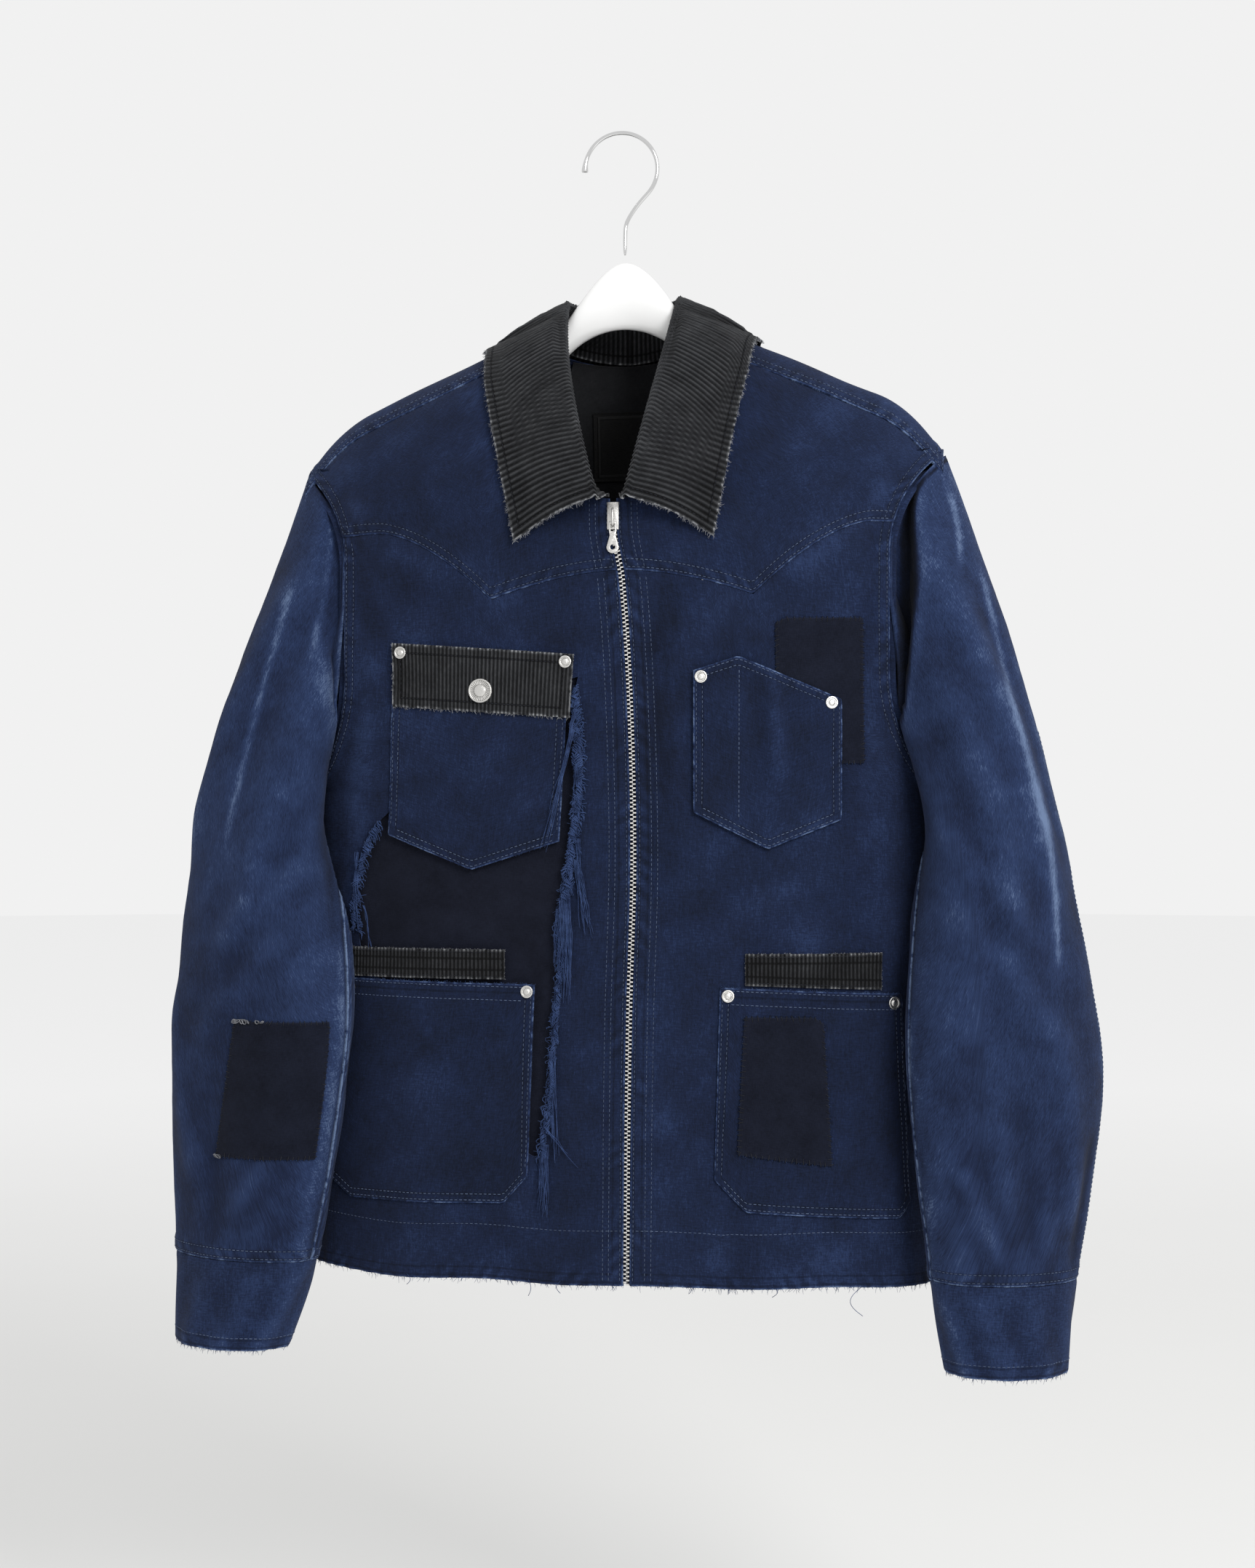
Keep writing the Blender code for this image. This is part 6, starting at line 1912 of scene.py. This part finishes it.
    def knots(self, thread: Threads, sheets: dict[str, Sheet]) -> None:
        """Grey-blue knots at the sleeve patch's left corners."""
        rng = np.random.default_rng(77)
        patch = sheets["patch_sleeve_right"]
        corners = {2: (0.0, 0.10), 3: (0.0, 0.35)}
        for edge, (low, high) in corners.items():
            points, normals, outward = side_out(patch, edge)
            for share in np.linspace(low, high, 4 if edge == 2 else 9):
                k = int(share * (len(points) - 1))
                turn = np.linspace(0, 4 * pi, 14)
                size = rng.uniform(0.0009, 0.0018)
                along = np.cross(normals[k], outward[k])
                loop = (points[k] + normals[k] * 0.0006 + outward[k] * size * np.cos(turn)[:, None]
                        + along * size * 1.3 * np.sin(turn * 0.93 + rng.uniform(0, 6))[:, None]
                        + normals[k] * 0.0007 * np.sin(turn * 0.5)[:, None])
                thread.add(loop[None], np.array(0.00034))


RIP_RIGHT = ((-0.420, -0.0237), (-0.4545, -0.0205), (-0.4947, -0.0203), (-0.529, -0.0230), (-0.5636, -0.0286),
             (-0.5923, -0.0343), (-0.621, -0.0324), (-0.667, -0.0368), (-0.724, -0.0412), (-0.770, -0.0480))
RIP_LEFT = ((-0.520, -0.1738), (-0.538, -0.1834), (-0.559, -0.1886), (-0.583, -0.1931), (-0.606, -0.1915))
RIP_UPPER = ((-0.1400, -0.492), (-0.0850, -0.446), (-0.0500, -0.424))
RIP_LOWER = ((-0.0700, -0.760), (-0.1000, -0.690), (-0.1300, -0.655), (-0.1880, -0.634))


@dataclass
class Rip:
    """The long tear of the wearer's right front and the yarns that hang from its edges."""

    first: float = -0.420
    last: float = -0.770
    yarn: float = 0.00050
    fine: float = 0.00030
    rng: np.random.Generator = field(default_factory=lambda: np.random.default_rng(2024))
    threads: Threads = field(default_factory=lambda: Threads("rip_fringe"))

    def outline(self) -> list[tuple[float, float]]:
        """Torn outline in x and height, uneven by a millimetre."""
        heights = np.arange(self.first, self.last, -0.0022)
        right = [(float(through(RIP_RIGHT, np.array(z), 1)) + self.rng.uniform(-0.0009, 0.0007), float(z))
                 for z in heights]
        left = [(float(through(RIP_LEFT, np.array(z), 1)) + self.rng.uniform(-0.0008, 0.0008), float(z))
                for z in np.arange(-0.606, -0.520, 0.0024)]
        return [(-0.0225, -0.416), *right, *RIP_LOWER, *left, *RIP_UPPER]

    def cut(self, panel: Piece) -> None:
        """Cut the torn hole through the front."""
        rim = self.outline()
        count = len(rim)
        points = [(x, y, z) for y in (-0.115, -0.050) for x, z in rim]
        data = bpy.data.meshes.new("rip_cutter")
        sides = [(k, (k + 1) % count, (k + 1) % count + count, k + count) for k in range(count)]
        data.from_pydata(points, [], [tuple(range(count))[::-1], tuple(range(count, 2 * count)), *sides])
        cutter = bpy.data.objects.new("rip_cutter", data)
        bpy.context.collection.objects.link(cutter)
        choose(cutter)
        bpy.ops.object.mode_set(mode="EDIT")
        bpy.ops.mesh.select_all(action="SELECT")
        bpy.ops.mesh.normals_make_consistent(inside=False)
        bpy.ops.object.mode_set(mode="OBJECT")
        hole = panel.modifiers.new("rip", "BOOLEAN")
        hole.operation = "DIFFERENCE"
        hole.solver = "EXACT"
        hole.object = cutter
        bpy.context.view_layer.objects.active = panel
        bpy.ops.object.modifier_apply(modifier="rip")
        bpy.data.objects.remove(cutter)

    def at(self, x: Array, z: Array, lift: Array) -> Array:
        """Points over the front at x, height and lift."""
        return FACE[FRONT].at(x, z, lift)

    def tuft(self, x: float, z: float, length: float, lean: float, lift: float, yarns: int = 7,
             girth: float = 0.0016, radius: float = 0.0) -> None:
        """A twisted bundle of yarns that hangs from a point.

        Args:
            x: Sideways place of its root.
            z: Height of its root.
            length: Length.
            lean: Sideways drift at its foot.
            lift: Height over the cloth.
            yarns: Number of yarns.
            girth: Radius of the bundle.
            radius: Radius of a yarn, or none for the usual.
        """
        steps = max(8, int(length / 0.0024))
        t = np.linspace(0, 1, steps)
        phase = self.rng.uniform(0, 2 * pi)
        twist = self.rng.choice((-1, 1)) * self.rng.uniform(0.9, 1.5) * length / 0.006
        sway = self.rng.uniform(-0.0012, 0.0012) * np.sin(2 * pi * t + phase)
        bulge = girth * (0.55 + 0.6 * np.sin(pi * np.minimum(1, t * 1.4)) + 0.2 * np.sin(9 * t + phase))
        paths = []
        for k in range(yarns):
            angle = 2 * pi * k / yarns + twist * 2 * pi * t * 0.5 + self.rng.normal(0, 0.25)
            spread = bulge * self.rng.uniform(0.55, 1.1) * (1 + 1.2 * np.maximum(0, t - 0.75))
            px = x + lean * t ** 1.2 + sway + spread * np.cos(angle)
            pz = z - length * t * self.rng.uniform(0.86, 1.0)
            paths.append(self.at(px, pz, lift + spread * np.sin(angle)))
        self.threads.add(np.array(paths), (radius or self.yarn) * np.linspace(1, 0.7, steps))

    def lock(self, start: tuple[float, float], end: tuple[float, float], spread: float, yarns: int,
             lift: float, flare: float = 1.6) -> None:
        """A lock of fine parallel yarns from one place to another.

        Args:
            start: Place and height of its root.
            end: Place and height of its foot.
            spread: Half-width at its root.
            yarns: Number of yarns.
            lift: Height over the cloth.
            flare: Growth of its width to its foot.
        """
        t = np.linspace(0, 1, 16)
        paths = []
        for _ in range(yarns):
            side, depth = self.rng.uniform(-1, 1), self.rng.uniform(0, 1)
            short = self.rng.uniform(0.62, 1.0)
            swing = self.rng.uniform(0.0002, 0.0011)
            pace, phase = self.rng.uniform(5, 11), self.rng.uniform(0, 6)
            wave = swing * np.sin(t * pace + phase)
            x = mix(start[0], end[0], t * short) + side * spread * mix(1, flare, t) + wave
            z = mix(start[1], end[1], t * short)
            paths.append(self.at(x, z, lift + depth * 0.0022 + 0.0010 * np.sin(3 * t + depth * 5)))
        self.threads.add(np.array(paths), self.fine * np.linspace(1, 0.55, 16))

    def edge(self, table: Sequence[Sequence[float]], first: float, last: float, toward: int, step: float,
             width: float) -> None:
        """Short crooked yarns all along a torn edge."""
        heights = np.arange(first, last, -step)
        count = len(heights)
        x = through(table, heights, 1) + self.rng.uniform(-0.0005, 0.0005, count)
        size = width * self.rng.uniform(0.35, 1.25, count)
        fall = self.rng.uniform(-0.2, 1.5, count)
        t = np.linspace(0, 1, 6)[None]
        curl = self.rng.normal(0, 0.25, (count, 1)) * np.sin(t * 5 + self.rng.uniform(0, 6, (count, 1)))
        px = x[:, None] + toward * (size[:, None] * np.sin(t * 1.7) * (0.9 + curl)) - toward * 0.0012
        pz = heights[:, None] - size[:, None] * fall[:, None] * t ** 1.4 + 0.3 * curl * size[:, None]
        lift = 0.0002 + self.rng.uniform(0.0, 0.0022, (count, 1)) * np.sin(pi * t * 0.9) - 0.0006 * (t < 0.05)
        paths = self.at(px, pz, lift)
        self.threads.add(paths, self.yarn * np.linspace(1, 0.6, 6) * self.rng.uniform(0.6, 1.2, (count, 1)))

    def build(self) -> Piece:
        """Hang every yarn of the rip."""
        self.edge(RIP_RIGHT, -0.4215, -0.7680, -1, 0.00040, 0.0056)
        self.edge(RIP_RIGHT, -0.4400, -0.6000, 1, 0.00070, 0.0046)
        self.edge(RIP_LEFT, -0.5220, -0.6050, 1, 0.00050, 0.0050)
        for z in np.arange(-0.424, -0.570, -0.0052):
            x = float(through(RIP_RIGHT, np.array(z), 1))
            self.tuft(x + self.rng.uniform(-0.0045, 0.0008), z, self.rng.uniform(0.009, 0.019),
                      self.rng.uniform(-0.002, 0.002), 0.0026, 8, 0.0025)
        for z in np.arange(-0.570, -0.764, -0.0078):
            x = float(through(RIP_RIGHT, np.array(z), 1))
            self.tuft(x + self.rng.uniform(-0.0022, 0.0008), z, self.rng.uniform(0.008, 0.017),
                      self.rng.uniform(-0.002, 0.001), 0.0022, 6, 0.0018)
        for z in (-0.5215, -0.5290, -0.5370, -0.5460, -0.5550, -0.5650, -0.5770, -0.5900):
            x = float(through(RIP_LEFT, np.array(z), 1))
            self.tuft(x + 0.001, z, self.rng.uniform(0.009, 0.016), -0.003, 0.0026, 8, 0.0026)
        self.lock((-0.0300, -0.575), (-0.0285, -0.656), 0.0038, 34, 0.0022, 1.2)
        self.lock((-0.0320, -0.580), (-0.0340, -0.640), 0.0020, 14, 0.0034, 1.0)
        self.lock((-0.0225, -0.550), (-0.0125, -0.612), 0.0022, 16, 0.0016, 2.2)
        self.lock((-0.0215, -0.535), (-0.0180, -0.590), 0.0012, 8, 0.0016, 2.0)
        self.lock((-0.0368, -0.586), (-0.0392, -0.646), 0.0006, 3, 0.0030, 1.0)
        self.lock((-0.0395, -0.690), (-0.0370, -0.772), 0.0016, 14, 0.0018, 1.6)
        self.lock((-0.0450, -0.758), (-0.0476, -0.812), 0.0022, 26, 0.0022, 1.8)
        self.lock((-0.0250, -0.455), (-0.0500, -0.548), 0.0010, 7, 0.0052, 3.2)
        self.lock((-0.0230, -0.440), (-0.0440, -0.546), 0.0008, 5, 0.0058, 2.4)
        self.lock((-0.0225, -0.480), (-0.0235, -0.530), 0.0022, 6, 0.0030, 1.4)
        self.lock((-0.0450, -0.745), (-0.0200, -0.775), 0.0008, 4, 0.0018, 1.6)
        self.lock((-0.1880, -0.545), (-0.1905, -0.606), 0.0014, 9, 0.0030, 1.8)
        self.lock((-0.1840, -0.585), (-0.1790, -0.622), 0.0006, 4, 0.0020, 1.6)
        return seat(self.threads.mesh(), Finish.BLUE_YARN, "blue_yarn", "rip_fringe_front", "rip_fringe_side")


@dataclass
class Zip:
    """Metal zip: its teeth, slider and pull tab."""

    pitch: float = 0.0030
    top: float = -0.3075
    foot: float = -0.8575
    tooth: tuple[float, float, float] = (0.0024, 0.0024, 0.00115)

    def one_tooth(self) -> tuple[Array, Array]:
        """Model one tooth: a block with a raised, pinched tip.

        Returns:
            Its vertices and its faces' corners.
        """
        bpy.ops.object.select_all(action="DESELECT")
        bpy.ops.mesh.primitive_cube_add(size=1)
        block = bpy.context.object
        block.data.transform(block.matrix_world)
        for vert in block.data.vertices:
            vert.co = vert.co * Vector(self.tooth)
        bpy.ops.object.mode_set(mode="EDIT")
        bpy.ops.mesh.select_all(action="DESELECT")
        bpy.ops.object.mode_set(mode="OBJECT")
        for face in block.data.polygons:
            face.select = face.normal.y < -0.9
        bpy.ops.object.mode_set(mode="EDIT")
        bpy.ops.mesh.select_mode(type="FACE")
        bpy.ops.mesh.inset(thickness=0.00028, depth=0.00022)
        bpy.ops.object.mode_set(mode="OBJECT")
        data = block.data
        points = np.array([tuple(vert.co) for vert in data.vertices])
        faces = np.array([tuple(face.vertices) for face in data.polygons])
        bpy.data.objects.remove(block)
        return points, faces

    def teeth(self) -> Piece:
        """Repeat the tooth down both tapes, each side half a step from the other."""
        points, faces = self.one_tooth()
        heights = np.arange(self.top, self.foot, -self.pitch)
        every, corners, base = [], [], 0
        for side in (-1, 1):
            z = heights - (self.pitch / 2 if side > 0 else 0)
            x = FORM.zip_x(z) + side * 0.00100
            seats, out = FACE[FRONT].at(x, z, -0.0006), FACE[FRONT].normal(x, z)
            down = unit(np.gradient(seats, axis=0))
            across = unit(np.cross(down, out))
            for k in range(len(z)):
                frame_k = np.stack([across[k], -out[k], -down[k]])
                every.append(seats[k] + points @ frame_k)
                corners.append(faces + base)
                base += len(points)
        made = build_mesh("zip_teeth", np.concatenate(every), np.concatenate(corners))
        mark_sharp(made, 25)
        return seat(made, Finish.TEETH, "silver_metal")

    def rounded(self, node: str, name: str, body: str, width: float) -> Piece:
        """Copy a frame node, merge its triangles and round its edges."""
        made = merged_copy(node, name)
        if width:
            soft = made.modifiers.new("soft", "BEVEL")
            soft.width = width
            soft.segments = 2
            soft.limit_method = "ANGLE"
            soft.angle_limit = radians(40)
            bpy.ops.object.modifier_apply(modifier="soft")
        mark_sharp(made, 35)
        return seat(made, Finish.SILVER, "silver_metal", node, body=body)

    def build(self) -> None:
        """Make the teeth, the slider and the pull tab."""
        self.teeth()
        self.rounded("zip_slider", "slider_body", BODY, 0.0004)
        self.rounded("zip_pull", "pull_tab_plate", "pull_tab", 0.0003)


@dataclass(frozen=True)
class Stud:
    """A small turned fastener: a rivet or the flap's button.

    Attributes:
        radius: Radius of its head.
        height: Height of its head's edge.
        steps: Insets of the head's face: width and rise of each.
        ticks: Which step's ring has sunk ticks, or none.
    """

    radius: float
    height: float
    steps: tuple[tuple[float, float], ...]
    ticks: int = -1
    sides: int = 40

    def model(self) -> bpy.types.Mesh:
        """Turn the head from a short cylinder.

        Returns:
            Its mesh, about the origin with its face toward +Z.
        """
        bpy.ops.object.select_all(action="DESELECT")
        bpy.ops.mesh.primitive_cylinder_add(vertices=self.sides, radius=self.radius, depth=self.height,
                                            location=(0, 0, self.height / 2))
        head = bpy.context.object
        head.data.transform(head.matrix_world)
        head.location = (0, 0, 0)
        ring: list[int] = []
        for k, (width, rise) in enumerate(self.steps):
            top = max(face.center.z for face in head.data.polygons if len(face.vertices) > 4)
            known = len(head.data.polygons)
            self.pick(head, lambda face: len(face.vertices) > 4 and abs(face.center.z - top) < 1e-7)
            bpy.ops.mesh.inset(thickness=width, depth=rise)
            bpy.ops.object.mode_set(mode="OBJECT")
            if k == self.ticks:
                ring = list(range(known, len(head.data.polygons)))
        if ring:
            level = sum(head.data.polygons[k].center.z for k in ring) / len(ring)
            low, high = self.band()
            self.pick(head, lambda face: len(face.vertices) == 4 and face.normal.z > 0.9
                      and low < face.center.xy.length < high and abs(face.center.z - level) < 2e-4
                      and self.turn(face.center) % 2 == 0)
            bpy.ops.mesh.inset(thickness=0.00012, depth=-0.00035, use_individual=True)
            bpy.ops.object.mode_set(mode="OBJECT")
        soft = head.modifiers.new("soft", "BEVEL")
        soft.width = 0.00013
        soft.segments = 2
        soft.limit_method = "ANGLE"
        soft.angle_limit = radians(35)
        bpy.ops.object.modifier_apply(modifier="soft")
        data = head.data.copy()
        bpy.data.objects.remove(head)
        return data

    def turn(self, place: Vector) -> int:
        """Which of the head's sides a place lies on."""
        return round(np.arctan2(place.y, place.x) / (2 * pi) * self.sides - 0.5)

    def band(self) -> tuple[float, float]:
        """Radii between which the ticked ring lies."""
        outer = self.radius - sum(width for width, _ in self.steps[:self.ticks])
        return outer - self.steps[self.ticks][0], outer

    def pick(self, head: Piece, wanted: Callable[[bpy.types.MeshPolygon], bool]) -> None:
        """Select a head's wanted faces and go to edit mode."""
        bpy.ops.object.mode_set(mode="EDIT")
        bpy.ops.mesh.select_mode(type="FACE")
        bpy.ops.mesh.select_all(action="DESELECT")
        bpy.ops.object.mode_set(mode="OBJECT")
        for face in head.data.polygons:
            face.select = bool(wanted(face))
        bpy.ops.object.mode_set(mode="EDIT")


@dataclass
class Fasteners:
    """Rivets at the pockets' corners and the flap's button."""

    level_flap: float = POCKET + 2 * (GAP + FACET) + CORD
    level_upper: float = POCKET + 2 * (GAP + FACET) + THIN
    level_hip: float = GAP + FACET + POCKET
    rivet: Stud = Stud(0.00465, 0.0006, (
        (0.00022, 0.00030), (0.00085, 0.00008), (0.00030, -0.00045), (0.00075, 0.0), (0.00030, 0.00045),
        (0.00040, 0.00025), (0.0006, 0.0001)))
    button: Stud = Stud(0.0090, 0.0012, (
        (0.00035, 0.00055), (0.00075, 0.00010), (0.00040, -0.00050), (0.0030, 0.0), (0.00030, 0.00035),
        (0.0009, 0.0003), (0.0012, 0.0001)), ticks=3, sides=64)

    def seats(self) -> dict[str, tuple[float, float, float]]:
        """Place, height and level of each fastener, by node."""
        return {
            "flap_rivet_right": (-0.1562, -0.3955, self.level_flap),
            "flap_rivet_left": (-0.0315, -0.4050, self.level_flap),
            "chest_rivet_right": (0.0679, -0.4175, self.level_upper),
            "chest_rivet_left": (0.1619, -0.4370, self.level_upper),
            "hip_right_rivet_inner": (-0.0590, -0.6470, self.level_hip),
            "hip_right_rivet_outer": (-0.1960, -0.6465, self.level_hip),
            "hip_left_rivet_inner": (0.0880, -0.6490, self.level_hip),
            "hip_left_rivet_outer": (0.2060, -0.6550, self.level_hip),
            "flap_button": (-0.0944, -0.4254, self.level_flap),
        }

    def build(self) -> None:
        """Model each kind once and set a copy on every seat."""
        models = {"rivet": self.rivet.model(), "button": self.button.model()}
        for node, (x, z, lift) in self.seats().items():
            data = models["button" if node == "flap_button" else "rivet"].copy()
            name = node.replace("rivet", "stud") if "rivet" in node else "button_head"
            made = bpy.data.objects.new(name, data)
            bpy.context.collection.objects.link(made)
            seat_x, seat_z = np.array(x), np.array(z)
            centre = FACE[FRONT].at(seat_x, seat_z, lift + GAP)
            out = Vector(FACE[FRONT].normal(seat_x, seat_z))
            turn = out.to_track_quat("Z", "Y").to_matrix().to_4x4()
            turn.translation = Vector(centre)
            data.transform(turn)
            data.name = name
            mark_sharp(made, 30)
            seat(made, Finish.SILVER, "silver_metal", node)


@dataclass
class Hanger:
    """Glossy plastic hanger with its polished wire hook."""

    def smoothed(self, node: str, name: str, finish: Finish, slot: str, levels: int) -> Piece:
        """Copy a frame node, merge it and round it off.

        Args:
            node: The frame's node.
            name: Name of the copy.
            finish: Its finish.
            slot: Its material slot.
            levels: How many times it is subdivided.

        Returns:
            The dressed piece.
        """
        made = merged_copy(node, name)
        soft = made.modifiers.new("soft", "SUBSURF")
        soft.levels = soft.render_levels = levels
        bpy.ops.object.modifier_apply(modifier="soft")
        made.data.shade_smooth()
        return seat(made, finish, slot, node)

    def build(self) -> None:
        """Make the body and the hook."""
        self.smoothed("hanger_body", "hanger_plastic", Finish.WHITE, "white_plastic", 2)
        self.smoothed("hanger_hook", "hanger_wire", Finish.CHROME, "silver_metal", 2)


def merged_copy(node: str, name: str) -> Piece:
    """Copy a frame node's mesh, with its doubles merged and its triangles joined in pairs.

    Args:
        node: The frame node.
        name: Name of the copy.

    Returns:
        The copy, linked to the scene.
    """
    made = bpy.data.objects.new(name, frame["nodes"][node].data.copy())
    made.data.name = name
    bpy.context.collection.objects.link(made)
    choose(made)
    bpy.ops.object.mode_set(mode="EDIT")
    bpy.ops.mesh.select_all(action="SELECT")
    bpy.ops.mesh.remove_doubles(threshold=2e-6)
    bpy.ops.mesh.tris_convert_to_quads(face_threshold=radians(60), shape_threshold=radians(80))
    bpy.ops.object.mode_set(mode="OBJECT")
    return made


@dataclass
class ArmholeBand:
    """Dark seam allowance that closes the armhole's crack from inside."""

    inner: float = 0.0090
    outer: float = 0.0040
    sunk: float = CLOTH + 0.0012

    def build(self, arm: Arm, hand: str) -> Sheet:
        """Lay the band round one armhole.

        Args:
            arm: The sleeve's surface.
            hand: right or left.

        Returns:
            The band's sheet.
        """
        centre = arm.seam(np.array([0.0, pi]))[2].mean()

        def place(u: Array, v: Array) -> Array:
            """Points of the band at shares round the armhole and across it."""
            angle = u * 2 * pi
            here = np.stack(arm.seam(angle), axis=-1)
            step = np.stack(arm.seam(angle + 0.01), axis=-1) - np.stack(arm.seam(angle - 0.01), axis=-1)
            out = unit(np.cross(step, np.array((1.0, 0.0, 0.0))))
            toward = here - np.array((0.0, 0.0, centre))
            out = out * np.where(np.sum(out[..., 1:] * toward[..., 1:], axis=-1, keepdims=True) < 0, -1, 1)
            here = here - out * self.sunk
            low = smooth((FORM.ridge(FORM.arm_top) - 0.004 - here[..., 2]) / 0.030)
            here = here - out * ((1 - low) * 0.0062)[..., None]
            here[..., 0] += mix(-self.inner, mix(-0.0030, self.outer, low), v)
            return FORM.lean(here * np.array((arm.sign, 1.0, 1.0)))

        def core(points: Array) -> Array:
            """Middle of the armhole."""
            return points * np.array((1.0, 0.0, 0.0)) + np.array((0.0, 0.0, centre))

        return Sheet(f"armhole_seam_{hand}", place, core, 0.0009, 0.0040, (Edge.PLAIN,) * 4, closed=True)


@dataclass
class Studio:
    """Pale floor, soft light and the camera at the photograph's viewing angle."""

    floor: float = -1.25
    reach: float = 14.0
    eye: tuple[float, float, float] = (0.25724, -2.06343, -0.49482)
    turned: float = 7.0
    lens: float = 62.616
    key: tuple[float, float, float] = (1.5, -2.2, 0.75)
    key_power: float = 60.0
    key_size: float = 1.1
    air: float = 0.88

    def camera(self) -> None:
        """Set the camera level, turned a little to the wearer's right."""
        made = bpy.data.objects.new("camera", bpy.data.cameras.new("camera"))
        bpy.context.collection.objects.link(made)
        made.location = self.eye
        made.rotation_euler = (pi / 2, 0, radians(self.turned))
        made.data.lens = self.lens
        made.data.sensor_width = 36
        bpy.context.scene.camera = made

    def build(self) -> None:
        """Lay the floor and light the scene."""
        bpy.ops.object.select_all(action="DESELECT")
        bpy.ops.mesh.primitive_circle_add(vertices=96, radius=self.reach, fill_type="NGON")
        floor = bpy.context.object
        floor.name = "floor"
        floor.data.transform(floor.matrix_world)
        for vert in floor.data.vertices:
            vert.co.z = self.floor
        WARDROBE.dress(floor, Finish.FLOOR)
        world = bpy.data.worlds.new("studio air")
        bpy.context.scene.world = world
        world.use_nodes = True
        shade = world.node_tree.nodes["Background"]
        shade.inputs["Color"].default_value = (self.air, self.air, self.air, 1)
        lamp = bpy.data.objects.new("key", bpy.data.lights.new("key", "AREA"))
        lamp.data.energy = self.key_power
        lamp.data.size = self.key_size
        lamp.location = self.key
        lamp.rotation_euler = (Vector((0, 0, -0.5)) - lamp.location).to_track_quat("-Z", "Y").to_euler()
        bpy.context.collection.objects.link(lamp)
        bpy.context.scene.view_settings.view_transform = "Standard"


CLOTHS = {
    "front_": (Finish.BODY, "indigo_canvas"), "yoke_": (Finish.BODY, "indigo_canvas"),
    "back_panel": (Finish.BODY, "indigo_canvas"), "sleeve_": (Finish.SLEEVE, "indigo_canvas"),
    "cuff_": (Finish.SLEEVE, "indigo_canvas"), "armhole_": (Finish.BODY, "indigo_canvas"),
    "chest_": (Finish.POCKET, "indigo_canvas"), "hip_": (Finish.POCKET, "indigo_canvas"),
    "pocket_flap": (Finish.CORD, "charcoal_corduroy"), "corduroy_": (Finish.BAND, "charcoal_corduroy"),
    "collar": (Finish.CORD, "charcoal_corduroy"), "patch_": (Finish.PATCH, "dark_patch"),
    "rip_underlay": (Finish.UNDERLAY, "dark_patch"), "back_lining": (Finish.LINING, "black_lining"),
    "neck_label": (Finish.LABEL, "label_cloth"), "zip_tape_": (Finish.TAPE, "zip_tape"),
}


def dress_cloth(sheets: dict[str, Sheet], rip: Rip) -> None:
    """Make every sheet's mesh, cut the tear in the right front and dress it.

    Args:
        sheets: The laid out cloth, by node.
        rip: The tear to cut in the wearer's right front.
    """
    nodes = frame["nodes"]
    for node, sheet in sheets.items():
        made = sheet.mesh()
        if node == "front_right":
            rip.cut(made)
        finish, slot = next(CLOTHS[key] for key in CLOTHS if node.startswith(key))
        seat(made, finish, slot, *([node] if node in nodes else []))


def main() -> None:
    """Build the camera, the jacket, the hanger and the studio."""
    logging.basicConfig(level=logging.INFO)
    studio = Studio()
    studio.camera()
    rip = Rip()
    Hanger().build()
    sheets: dict[str, Sheet] = {}
    for maker in (Panels(), Sleeves(), Applied()):
        sheets.update(maker.build())
    sheets["collar"] = Collar().build()
    for arm, hand in ((ARM_RIGHT, "right"), (ARM_LEFT, "left")):
        sheets[f"armhole_{hand}"] = ArmholeBand().build(arm, hand)
    dress_cloth(sheets, rip)
    rip.build()
    Sewing().build(sheets)
    Zip().build()
    Fasteners().build()
    studio.build()


if __name__ == "__main__":
    main()
